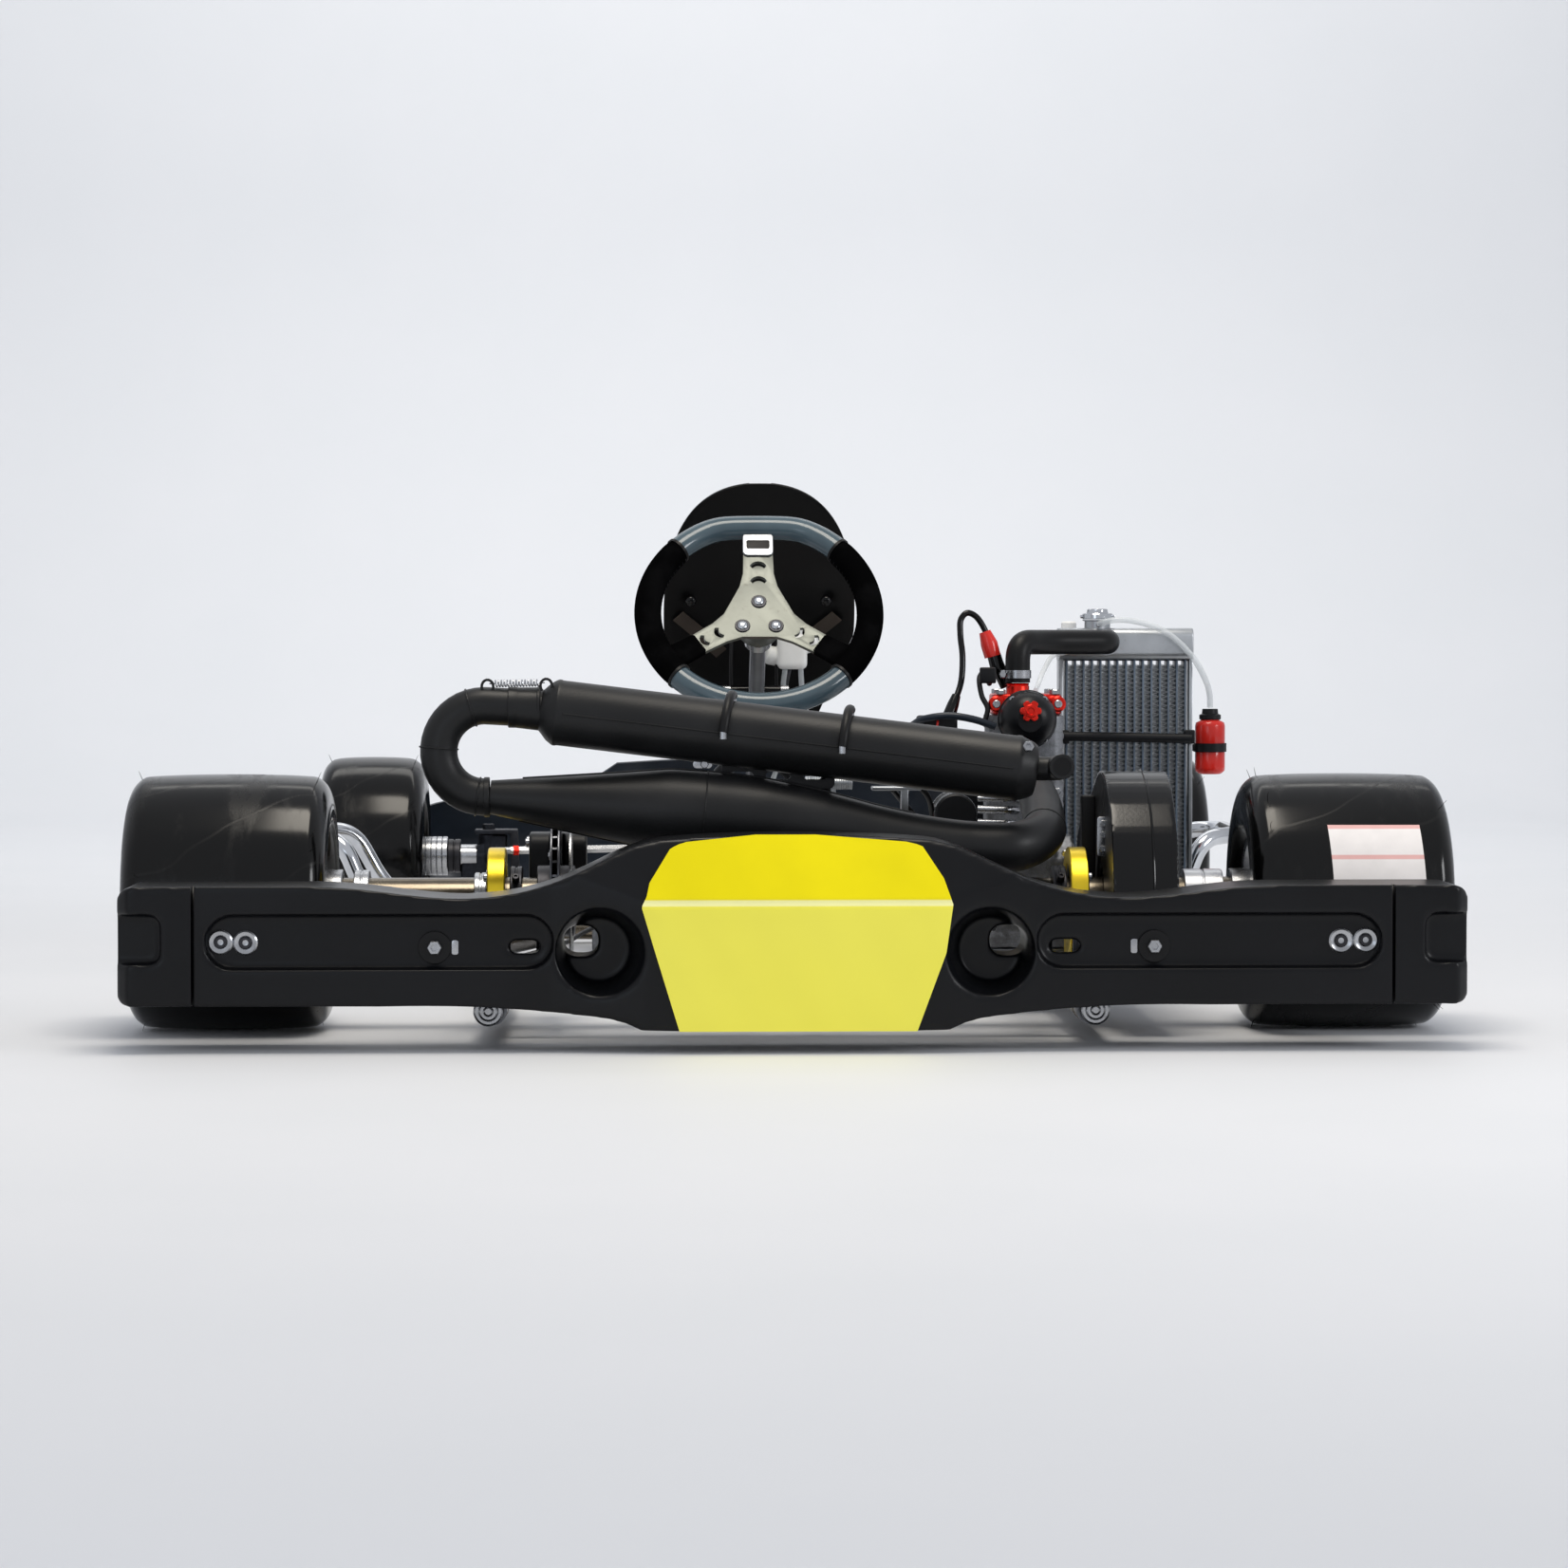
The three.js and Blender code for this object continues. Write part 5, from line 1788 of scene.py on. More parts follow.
@dataclass
class RearAxle:
    """The hollow axle with bearings, brake, sprocket, chain and guard."""

    y: float = -600.0
    z: float = 136.0
    radius: float = 25.0
    sprocket_x: float = 365.0
    teeth: int = 80
    pitch: float = 7.775
    crank: Point = (-372.0, 140.0)

    def build(self) -> None:
        """Builds and delivers every piece."""
        self._shaft()
        self._bearings()
        self._brake()
        self._sprocket()
        self._chain()
        self._guard()

    def _turned(self, name: str, profile: Sequence[Point], segments: int = 72) -> Piece:
        """Turned about the axle."""
        return Form.turned(name, profile, segments, "X", (0, self.y, self.z), 24.0)

    def _collar(self, name: str, x0: float, x1: float, radius: float,
                inner: float = 25.1) -> Piece:
        """A ring with broken edges and a round groove.

        Args:
            name: the piece's name.
            x0: its left end.
            x1: its right end.
            radius: radius in millimetres.
            inner: radius of its hole.

        Returns:
            The finished piece.
        """
        middle = (x0 + x1) / 2
        return self._turned(name, [(inner, x0), (radius - 1, x0), (radius, x0 + 1), (radius, middle - 1.5),
                                   (radius - 1.2, middle - 0.6), (radius - 1.2, middle + 0.6),
                                   (radius, middle + 1.5),
                                   (radius, x1 - 1), (radius - 1, x1), (inner, x1)])

    def _shaft(self) -> None:
        """The axle tube, its collars, and the lock collars with their screws."""
        tube = self._turned("axle_tube",
                            [(22.5, -520), (24.2, -520), (25, -519), (25, 519), (24.2, 520), (22.5, 520)],
                            80)
        deliver(tube, "rear_axle", Finishes.nickel, "rear_axle")
        bright = [self._collar("collar", -334, -321, 30.5), self._collar("collar", 424, 466, 33.5),
                  self._collar("collar", -462, -446, 33.5)]
        deliver(Form.joined("axle_collars", bright), "rear_axle", Finishes.turned)
        dark = [self._collar("lock", -296, -283, 37), self._collar("lock", 284, 298, 37)]
        for x in (-289.5, 291):
            dark.append(bolt("lock_screw", (x, self.y - 27, self.z + 22), (0, -0.75, 0.66), 4, 10))
        deliver(Form.joined("axle_locks", dark), "rear_axle", Finishes.dark_bolt)

    def _bearings(self) -> None:
        """Anodised bearing carriers with their feet, bearings and plates."""
        for name, side in SIDES.items():
            x = side * 310
            ring = self._turned("carrier", [(40, x - 9.5), (55.8, x - 9.5), (57, x - 8.3), (57, x + 8.3),
                                            (55.8, x + 9.5), (40, x + 9.5)], 96)
            foot = Form.block("foot", (x - 9, self.y - 40, 50.4), (x + 9, self.y + 40, 92), 2.0)
            carrier = Form.joined(f"bearing_carrier_{name}_look", [ring, foot])
            deliver(carrier, "chassis", Finishes.yellow, f"bearing_carrier_{name}")
            race = self._turned("race", [(26.6, x - 8), (39.9, x - 8), (39.9, x + 8), (26.6, x + 8)], 64)
            fit(f"bearing_{name}", [race], Finishes.steel)
            bolts = [bolt("carrier_bolt",
                          (x + side * 9.5, self.y + 47 * math.cos(a), self.z + 47 * math.sin(a)),
                          (side, 0, 0), 4.5, 4) for a in np.radians((35, 145, 215, 325))]
            bolts += [bolt("foot_bolt", (x, self.y + dy, 70), (0, np.sign(dy), 0), 5, 4, 6)
                      for dy in (-40, 40)]
            fit(f"carrier_bolts_{name}", bolts, Finishes.zinc)
            decal = Form.plate("decal", round_rect(x, 103, 12, 36, 2), -657.6, -657.0, "Y", 0)
            fit(f"carrier_label_{name}", [decal], Finishes.reservoir)
        strip = Form.plate("strip", round_rect(335, 206, 13, 42, 3), -640, -637, "Y", 0.6)
        rivets = [bolt("strip_bolt", (335, -640, z), (0, -1, 0), 4.2, 3, 6) for z in (193, 208, 220)]
        fit("carrier_strip", [strip, *rivets], Finishes.zinc)

    def _brake(self) -> None:
        """The slotted disc on its carrier and the caliper with its hose."""
        x = -247.0
        plates = []
        for centre in (x - 3.9, x + 3.9):
            profile = [(62, centre - 1.1), (93.4, centre - 1.1), (94, centre - 0.5), (94, centre + 0.5),
                       (93.4, centre + 1.1), (62, centre + 1.1)]
            plates.append(self._turned("disc_face", profile, 120))
        vane = Form.block("vane", (62, -1.6, -2.9), (93, 1.6, 2.9), 0.5, 1)
        vanes = repeater(Pattern.RING).run("vanes", vane, Finishes.steel, 36, 0.0)
        Form.moved(vanes, facing((x, self.y, self.z), (1, 0, 0)))
        deliver(Form.joined("vented_disc", [*plates, vanes]), "rear_axle", Finishes.steel, "brake_disc")
        hub = self._turned("disc_hub",
                           [(26, x - 20), (37, x - 20), (38, x - 19), (38, x - 3), (64, x - 2.5),
                            (64, x + 2.5),
                                        (38, x + 3), (38, x + 19), (37, x + 20), (26, x + 20)])
        deliver(hub, "rear_axle", Finishes.dark_bolt)
        thin = self._turned("guard_disc", [(40, x + 15), (88, x + 15), (88, x + 17), (40, x + 17)], 96)
        nut = Form.turned("nut", [(0, 0), (5, 0), (5, 4), (4, 5), (0, 5)], 6, "Z")
        nuts = repeater(Pattern.RING).run("disc_nuts", nut, Finishes.zinc, 6, 57 * MM)
        Form.moved(nuts, facing((x - 3, self.y, self.z), (-1, 0, 0)))
        deliver(Form.joined("disc_hardware", [thin, nuts]), "rear_axle", Finishes.zinc)
        body = Form.prism("caliper_body", round_rect(-511.5, 167, 66, 77, 16), -278, -216, "X")
        for low, high in ((-278, -262), (-232, -216)):
            boss = Form.turned("piston_boss", [(0, low), (19, low), (19, high), (0, high)], 40, "X",
                               (0, -512, 172))
            Form.boolean(body, boss, "UNION")
        slot = Form.turned("slot", [(0, -255), (98, -255), (98, -239), (0, -239)], 96, "X",
                           (0, self.y, self.z))
        Form.boolean(body, slot, "DIFFERENCE")
        Form.soften(body, 1.6, 3)
        deliver(body, "chassis", Finishes.carcass, "brake_caliper")
        fittings = [bolt("caliper_bolt", (-278, -512 + dy, 167 + dz), (-1, 0, 0), 5, 4)
                    for dy, dz in ((-22, 28), (22, 28), (-22, -26), (22, -26))]
        fit("caliper_bolts", fittings, Finishes.zinc)
        line = smooth([(-247, -481, 203), (-250, -455, 212), (-258, -400, 180), (-262, -300, 110),
                       (-258, -200, 66),
                       (-250, -60, 52), (-232, 100, 52), (-212, 200, 56), (-205, 249, 56)], 10)
        deliver(Form.tube("brake_line", line, 3.0, 12), "chassis", Finishes.hose)

    def _sprocket(self) -> None:
        """The toothed ring, its slotted web and its hub."""
        radius = self.teeth * self.pitch / (2 * math.pi)
        outline: Outline = []
        for tooth in range(self.teeth):
            for share, r in ((0.0, -3.0), (0.22, -2.8), (0.40, 1.6), (0.60, 1.6), (0.78, -2.8)):
                angle = 2 * math.pi * (tooth + share) / self.teeth
                outline.append((self.y + (radius - 1.2 + r * 0.8) * math.cos(angle),
                                self.z + (radius - 1.2 + r * 0.8) * math.sin(angle)))
        holes = []
        for spoke in range(6):
            mid = 2 * math.pi * (spoke + 0.5) / 6
            outer = [(self.y + 84 * math.cos(mid + a), self.z + 84 * math.sin(mid + a))
                     for a in np.linspace(-0.4, 0.4, 9)]
            inner = [(self.y + 54 * math.cos(mid + a), self.z + 54 * math.sin(mid + a))
                     for a in np.linspace(0.32, -0.32, 7)]
            holes.append(outer + inner)
        holes.append(arc((self.y, self.z), 26.2, 0, 360, 40)[:-1])
        plate = Form.plate("sprocket", outline, self.sprocket_x - 2, self.sprocket_x + 2, "X", 0.0, holes)
        x = self.sprocket_x
        hub = self._turned("sprocket_hub",
                           [(26, x - 20), (37, x - 20), (38, x - 19), (38, x - 2.2), (47, x - 2.1),
                                            (47, x + 2.6), (38, x + 2.7), (38, x + 19), (37, x + 20),
                                            (26, x + 20)])
        deliver(Form.joined("axle_sprocket_look", [plate, hub]), "rear_axle", Finishes.turned,
                "axle_sprocket")
        small = self._turned("driver",
                             [(0, x - 13), (10.4, x - 13), (11, x - 12), (11, x - 2), (13.4, x - 1.8),
                              (13.4, x + 1.8),
                                        (9, x + 2), (9, x + 9.4), (8.4, x + 10), (0, x + 10)])
        Form.moved(small, put((0, self.crank[0] - self.y, self.crank[1] - self.z)))
        tooth = Form.prism("tooth", [(12.6, -2.4), (16.4, -0.7), (16.4, 0.7), (12.6, 2.4)], -1.7, 1.7, "Z")
        ring = repeater(Pattern.RING).run("driver_teeth", tooth, Finishes.steel, 13, 0.0)
        Form.moved(ring, facing((x, *self.crank), (1, 0, 0)))
        deliver(Form.joined("engine_sprocket_look", [small, ring]), "crankshaft", Finishes.steel,
                "engine_sprocket")

    def _chain(self) -> None:
        """A roller chain round both sprockets: links copied along its loop."""
        big = self.teeth * self.pitch / (2 * math.pi) + 0.8
        little = 16.9
        gap = self.crank[0] - self.y
        lean = math.asin((big - little) / gap)
        up = math.degrees(math.pi / 2 - lean)
        rise = math.degrees(math.atan2(self.crank[1] - self.z, gap))
        loop = arc((self.y, self.z), big, up + rise, 360 - up + rise, 60)
        loop += arc((self.crank[0], self.crank[1]), little, -up + rise, up + rise, 16)
        loop.append(loop[0])
        route = np.array([(self.sprocket_x, y, z) for y, z in loop], float)
        links = []
        for parity, offset in enumerate((0.0, 0.5)):
            length = np.concatenate([[0.0], np.cumsum(np.linalg.norm(np.diff(route, axis=0), axis=1))])
            count = int(round(length[-1] / self.pitch / 2))
            stations = (np.arange(count) + offset) * length[-1] / count
            places = np.stack([np.interp(stations, length, route[:, k]) for k in range(3)], axis=1)
            wide = 4.3 if parity else 3.3
            outline = round_rect(0, 0, self.pitch + 5.4, 5.6, 2.7, 4)
            parts = [Form.prism("side_plate", outline, s * wide - 0.45, s * wide + 0.45, "Z")
                     for s in (-1, 1)]
            pins = [(0, -wide), (1.5, -wide), (1.5, wide), (0, wide)]
            parts += [Form.turned("pin", pins, 8, "Z", (s * self.pitch / 2, 0, 0)) for s in (-1, 1)]
            link = Form.moved(Form.joined("link", parts), Matrix.Rotation(math.pi / 2, 4, "X"))
            Form.moved(link, Matrix.Rotation(math.pi / 2, 4, "X"))
            links.append(self._strung(link, places))
        fit("drive_chain", links, Finishes.dark_bolt)

    @staticmethod
    def _strung(link: Piece, places: np.ndarray) -> Piece:
        """Lays a link at each place, in the chain's own plane.

        Args:
            link: one link of the chain.
            places: where the links go.

        Returns:
            The finished piece.
        """
        nxt = np.roll(places, -1, axis=0)
        prev = np.roll(places, 1, axis=0)
        copies = []
        for place, tangent in zip(places, nxt - prev):
            along = Vector(tangent).normalized()
            across = Vector((1.0, 0.0, 0.0))
            third = across.cross(along)
            turn = Matrix((along, third, across)).transposed().to_4x4()
            copy = bpy.data.objects.new("link_copy", link.data.copy())
            bpy.context.scene.collection.objects.link(copy)
            copies.append(Form.moved(copy, Matrix.Translation(Vector(place) * MM) @ turn))
        bpy.data.objects.remove(link)
        return Form.joined("links", copies)

    def _hood(self, shrink: float) -> Outline:
        """The guard's outline from the side, as (y, z).

        Args:
            shrink: how far inside the outer face, in millimetres.

        Returns:
            The outline's points, in order.
        """
        y0 = self.crank[0]
        outline = [(self.y - 139 + shrink, 96 - shrink * 3)]
        outline += arc((self.y, self.z), 139 - shrink, 180, 75.6, 26)
        outline += [(y0 + 14, 201 - shrink), (y0 + 26, 194 - shrink), (y0 + 34 - shrink * 0.7, 178),
                    (y0 + 40 - shrink, 150), (y0 + 40 - shrink, 96 - shrink * 3)]
        return outline

    def _guard(self) -> None:
        """The glossy moulded chain guard: a hood, open below, with a seam along its middle."""
        body = Form.prism("guard_shell", self._hood(0), 336, 405, "X")
        Form.boolean(body, Form.prism("inside", self._hood(5), 320, 400, "X"), "DIFFERENCE")
        Form.boolean(body,
                     Form.block("axle_slot", (390, self.y - 34, 60), (420, self.y + 34, self.z + 34), 1.0,
                                1),
                     "DIFFERENCE")
        Form.soften(body, 1.9, 6)
        deliver(body, "chassis", Finishes.gloss, "chain_guard")
        y, z = self.y, self.z
        ridge = [(379.0, y + 139.2 * math.cos(a), z + 139.2 * math.sin(a))
                 for a in np.radians(np.linspace(180, 78, 40))]
        seam = Form.tube("guard_seam", np.array(ridge), 1.3, 8)
        deliver(seam, "chassis", Finishes.gloss)
        web = Form.prism("guard_web", self._hood(4.0), 336.6, 339.6, "X")
        for place, radius in (((y, z), 39.0), (self.crank, 17.0)):
            hole = Form.turned("hole", [(0, 320), (radius, 320), (radius, 350), (0, 350)], 48, "X",
                               (0, *place))
            Form.boolean(web, hole, "DIFFERENCE")
        deliver(web, "chassis", Finishes.carcass)
        stay = Form.block("guard_stay", (322, y + 60, 120), (337, y + 76, 246), 2.0)
        deliver(stay, "chassis", Finishes.carcass)


# ------------------------------------------------------------------ exhaust

def stops(*pairs: tuple[float, float]) -> Callable[[float], float]:
    """Reads a value between stops, straight from one stop to the next.

    Returns:
        The eased reading.
    """
    xs, ys = zip(*pairs)
    return lambda u: float(np.interp(u, xs, ys))


@dataclass
class Exhaust:
    """Header, expansion chamber, elbow, silencer, springs and cradle."""

    y: float = -722.0
    elbow_x: float = -318.6
    elbow_r: float = 47.5
    start: Point = (-285.0, -722.0, 345.0)
    end: Point = (256.0, -722.0, 279.0)

    def build(self) -> None:
        """Builds and delivers every piece."""
        self._chamber()
        self._elbow()
        self._silencer()
        self._springs()
        self._cradle()

    def _chamber(self) -> None:
        """The header, its welds, and the two cones of the chamber."""
        y = self.y
        route = smooth([(269, -410.6, 262), (269, -480, 262), (271, -560, 250), (272, -630, 228),
                        (264, -688, 209),
                        (232, y, 199), (185, y, 198), (130, y, 203), (20, y, 222), (-82, y, 234),
                        (-200, y, 243),
                        (-313, y, 252)], 14)
        shape = stops((0, 18), (0.3, 23), (0.42, 28), (0.55, 33), (0.68, 42.6), (0.74, 43.6), (0.79, 43),
                      (1, 17.5))
        pipe = Form.tube("chamber", route, shape, 56)
        lengths = np.concatenate([[0.0], np.cumsum(np.linalg.norm(np.diff(route, axis=0), axis=1))])
        share = lengths / lengths[-1]
        beads = []
        for place in (0.30, 0.74):
            i = int(np.searchsorted(share, place))
            beads.append(self._bead(route[i], route[i + 1] - route[i - 1], shape(share[i]) + 0.1, 0.8))
        fit("expansion_chamber_look", [pipe, *beads], Finishes.exhaust, "expansion_chamber")
        tangents = np.gradient(route, axis=0)
        tangents /= np.linalg.norm(tangents, axis=1)[:, None]
        seams = []
        for flip in (-1, 1):
            edge = [(p[0] - flip * t[2] * shape(u), p[1], p[2] + flip * t[0] * shape(u))
                    for p, t, u in zip(route, tangents, share) if 0.50 < u < 0.97]
            seams.append(Form.tube("seam", np.array(edge), 1.5, 8))
        fit("chamber_seams", seams, Finishes.exhaust)

    @staticmethod
    def _bead(place: Point, direction: Point, radius: float, wire: float) -> Piece:
        """A rippled weld bead round a pipe.

        Args:
            place: where it sits, in millimetres.
            direction: the way it points.
            radius: radius in millimetres.
            wire: the wire's radius in millimetres.

        Returns:
            The finished piece.
        """
        angles = np.linspace(0, 2 * math.pi, 96, endpoint=False)
        swell = 1.0 + 0.12 * np.sin(angles * 24)
        route = np.stack([np.cos(angles) * radius, np.sin(angles) * radius, 0 * angles], axis=1)
        rings = []
        for point, angle, grow in zip(route, angles, swell):
            out = np.array([math.cos(angle), math.sin(angle), 0.0])
            around = np.linspace(0, 2 * math.pi, 8, endpoint=False)
            rings.append(point + wire * grow * (np.cos(around)[:, None] * out
                                                + np.sin(around)[:, None] * np.array([0.0, 0.0, 1.0])))
        obj = Form.lattice("bead", np.array(rings), closed=True)
        return Form.moved(obj, facing(place, direction))

    def _elbow(self) -> None:
        """The half-turn between the chamber and the silencer, with its slip collar."""
        y = self.y
        points = [(self.elbow_x + 2, y, 252.0)]
        for angle in np.linspace(0, math.pi, 22):
            points.append((self.elbow_x - self.elbow_r * math.sin(angle), y,
                           252 + self.elbow_r * (1 - math.cos(angle))))
        points.append((-290.5, y, 345.5))
        route = np.array(points)
        bend = Form.tube("elbow", route, 19.5, 48)
        beads = [self._bead(route[k], route[k + 1] - route[k - 1], 19.7, 1.0) for k in (2, 12, 20)]
        sleeve = Form.turned("sleeve",
                             [(19.8, 0), (20.6, 0), (21.3, 0.8), (21.3, 9), (20.8, 10), (20.8, 30),
                              (21.6, 31),
                                        (21.6, 33), (20.6, 34), (19.8, 34)], 48, "X", (-294, y, 345.3))
        ring = Form.turned("ring", [(18, 0), (20.4, 0), (20.8, 0.6), (20.8, 5), (20.4, 5.6), (18, 5.6)], 48,
                           "X",
                           (-319, y, 252))
        fit("exhaust_elbow_look", [bend, *beads, ring, sleeve], Finishes.exhaust, "exhaust_elbow")

    def _silencer(self) -> None:
        """The tapered can, its collar, its rolled ends and the tail stub, with a dark disc painted as the
        shadow in its open end.
        """
        a, b = Vector(self.start), Vector(self.end)
        long = (b - a).length
        profile = [(0, 0), (20.2, 0), (21, 0.8), (21, 25), (24, 28), (30, 33.5), (33, 38), (34.6, 41),
                   (34.6, 43.5),
                   (34, 45), (34, long - 24), (34.6, long - 22), (34.6, long - 19), (33.2, long - 16),
                   (29, long - 5),
                   (26, long - 1), (22, long), (0, long)]
        can = Form.moved(Form.turned("can", profile, 72, "Z"), facing(self.start, b - a))
        y = self.y
        stub = Form.tube("stub", bent([(238, y, 281), (280, y, 281), (280, y - 34, 284)], 24, 3), 12.5, 36)
        lip = Form.turned("lip", [(9.6, 0), (12.6, 0), (13.2, 0.8), (12.6, 1.6), (9.6, 1.6)], 36, "Z")
        Form.moved(lip, facing((280, y - 34.4, 284), (0, -1, 0)))
        # Painted shadow: a flat dark disc just inside the lip stands in for the shade in the open pipe end.
        dark = Form.turned("bore", [(0, 0), (9.8, 0), (9.8, 1.2), (0, 1.2)], 36, "Z")
        Form.moved(dark, facing((280, y - 34.2, 284), (0, -1, 0)))
        seam = Form.tube("seam", np.array([a + (b - a) * t + Vector((0, -34.2, 0)) for t in (0.09, 0.95)]),
                         0.9, 8)
        fit("silencer_look", [can, stub, lip, seam], Finishes.exhaust, "exhaust_silencer")
        # The painted shadow disc of the pipe end.
        fit("tail_bore", [dark], Finishes.hose)

    def _springs(self) -> None:
        """The long bright springs of the joints, their hooks, and the sleeved ones of the cradle."""
        y = self.y
        springs = [coil_spring("joint_spring", (-313, y - 6, 370), (-256, y - 12, 371), 3.4, 0.75, 15)]
        hooks = []
        for place in ((-315, y - 6, 370), (-254, y - 12, 371)):
            loop = [(place[0] + 6 * math.cos(a), place[1] - 3, place[2] - 3 + 7 * math.sin(a))
                    for a in np.linspace(-0.9, 4.0, 14)]
            hooks.append(Form.tube("hook", np.array(loop), 1.5, 10))
        fit("joint_springs", springs, Finishes.zinc)
        fit("spring_hooks", hooks, Finishes.exhaust)
        sleeves, ends = [], []
        for x, middle in ((-69, 318.6), (54, 303.6)):
            turn = np.radians(np.linspace(78, 178, 18))
            lean = np.linspace(9, -2, 18)
            route = np.array([(x + s, y + 39.6 * math.cos(a), middle + 39.6 * math.sin(a)) for a,
                              s in zip(turn, lean)])
            sleeves.append(Form.tube("sleeve", route, 4.9, 20))
            for end in (route[0], route[-1]):
                ends.append(Form.turned("end", [(0, -7), (3.6, -7), (3.6, 4), (0, 4)], 12, "Z",
                                        tuple(float(c) for c in end)))
        fit("cradle_springs", sleeves, Finishes.hose)
        fit("cradle_spring_ends", ends, Finishes.zinc)
        nut = bolt("silencer_nut", (245, y - 33, 304), (0, -1, 0.35), 6, 5, 6)
        deliver(nut, "chassis", Finishes.zinc)

    def _cradle(self) -> None:
        """The slotted strap under the silencer, its two rubbers and its stays to the frame."""
        y = self.y
        holes = [round_rect(x, 274, 26, 8, 3.9) for x in (-52, -13, 26)]
        strap = Form.plate("strap", round_rect(-13, 274, 118, 28, 6), y + 4, y + 8, "Y", 0.8, holes)
        stay = Form.tube("stay",
                         bent([(-60, y + 10, 268), (-62, y + 50, 240), (-66, y + 60, 120),
                               (-66, y + 4, 62)], 26),
                         6, 16)
        stay_two = Form.tube("stay",
                             bent([(36, y + 10, 268), (38, y + 54, 236), (40, y + 62, 120),
                                   (40, y + 4, 62)], 26),
                             6, 16)
        fit("silencer_cradle", [strap, stay, stay_two], Finishes.carcass)
        bobbins = [Form.turned("bobbin", [(0, 0), (9, 0), (8, 3), (8, 9), (9, 12), (0, 12)], 28, "Z",
                               (x, y + 6, 284)) for x in (-58, 34)]
        fit("cradle_rubbers", bobbins, Finishes.hose)
        heads = [bolt("cradle_bolt", (-90, y - 6, 286), (0, -1, 0), 4.5, 4, 6)]
        link = Form.plate("link", round_rect(-92, 286, 20, 9, 4), y - 6, y - 3, "Y", 0.5)
        fit("cradle_bolts", [*heads, link], Finishes.zinc)


# ------------------------------------------------------------------ engine

@dataclass
class Engine:
    """Crankcase, cylinder, head, power valve, carburettor, intake silencer and mount."""

    left: float = 215.0
    right: float = 330.0
    back: float = -455.0
    front: float = -290.0
    crank: Point = (-372.0, 140.0)

    def build(self) -> None:
        """Builds and delivers every piece."""
        self._mount()
        self._cases()
        self._cylinder()
        self._valve()
        self._intake()
        self._auxiliaries()

    def _auxiliaries(self) -> None:
        """Starter motor, water pump pipes and studs on the left of the cases."""
        motor = Form.turned("motor",
                            [(0, -470), (21, -470), (23, -468), (23, -396), (20, -392), (9, -390),
                             (9, -384), (0, -384)],
                            48, "Y")
        Form.moved(motor, put((190, 0, 222)))
        nose = Form.block("starter_nose", (176, -392, 196), (214, -366, 236), 5.0)
        fit("starter_motor", [motor, nose], Finishes.carcass)
        bands = [Form.turned("band", [(23.1, low), (23.8, low), (23.8, low + 5), (23.1, low + 5)], 40, "Y")
                 for low in (-462, -410)]
        for band in bands:
            Form.moved(band, put((190, 0, 222)))
        rods = [Form.tube("pipe", bent([(214, -468, z), (250, -468, z - 1), (258, -450, z - 2)], 8), r, 18)
                for z, r in ((240, 3.4), (228, 4.6), (214, 3.4))]
        studs = [bolt("stud", (x, -458, z), (0, -1, 0), 4.0, 16, 6) for x,
                 z in ((228, 190), (300, 190), (236, 252), (302, 248))]
        fit("engine_pipes", [*bands, *rods, *studs], Finishes.zinc)
        flat = [Form.block("bracket", (96, -500, 250), (150, -470, 254), 1.0),
                Form.block("bracket", (128, -500, 226), (136, -478, 252), 1.0)]
        fit("exhaust_hanger", flat, Finishes.satin)
        lines = [smooth([(120, -470, 250), (132, -450, 236), (150, -440, 214), (160, -430, 190)], 6),
                 smooth([(140, -480, 262), (158, -470, 244), (166, -440, 220), (170, -420, 196)], 6)]
        fit("engine_lines", [Form.tube("line", line, 3.2, 12) for line in lines], Finishes.hose)

    def _mount(self) -> None:
        """The clamped aluminium mount with its bolts."""
        mount = Form.block("mount", (225, -440, 50.3), (342, -305, 72.3), 2.5)
        slots = [Form.block("slot", (240, y - 4, 40), (326, y + 4, 80), 1.0, 1) for y in (-410, -372, -334)]
        for slot in slots:
            Form.boolean(mount, slot, "DIFFERENCE")
        deliver(mount, "chassis", Finishes.satin, "engine_mount")
        heads = [bolt("mount_bolt", (x, -440, 61), (0, -1, 0), 5.5, 6) for x in (245, 284, 322)]
        fit("mount_bolts", heads, Finishes.dark_bolt)

    def _cases(self) -> None:
        """The crankcase: a ribbed, softened casting with cover and shaft nose."""
        side = [(-441, 73), (-310, 73), (-290, 96), (-290, 176), (-304, 196), (-427, 196), (-455, 172),
                (-455, 92)]
        body = Form.prism("case", side, 222, 322, "X")
        y, z = self.crank
        for low, high, radius in ((215, 226, 50), (318, 330, 46)):
            drum = Form.turned("drum", [(0, low), (radius, low), (radius, high), (0, high)], 64, "X",
                               (0, y, z))
            Form.boolean(body, drum, "UNION")
        for x in (245, 272, 300):
            rib = Form.block("rib", (x - 2.5, -454.5, 86), (x + 2.5, -330, 205), 0.6, 1)
            Form.boolean(body, rib, "UNION")
        Form.boolean(body, Form.block("upper", (200, -470, 196), (340, -280, 230), 0.5, 1), "DIFFERENCE")
        split = Form.block("split", (271.6, -456, 70), (272.8, -452.5, 200), 0.1, 1)
        Form.boolean(body, split, "DIFFERENCE")
        Form.soften(body, 2.0, 3)
        nose = Form.turned("nose", [(0, 320), (12, 320), (12, 338), (9, 340), (9, 351), (0, 351)], 40, "X",
                           (0, y, z))
        fit("crankcase_look", [body, nose], Finishes.casting, "engine_crankcase")
        heads = [bolt("case_bolt", (215.4, y + 42 * math.cos(a), z + 42 * math.sin(a)), (-1, 0, 0), 4, 4)
                 for a in np.linspace(0.3, 6.58, 7)[:-1]]
        heads += [bolt("case_bolt", (x, -454.6, h), (0, -1, 0), 4.2, 4) for x,
                  h in ((232, 178), (312, 178), (232, 96), (312, 96))]
        fit("case_bolts", heads, Finishes.zinc)

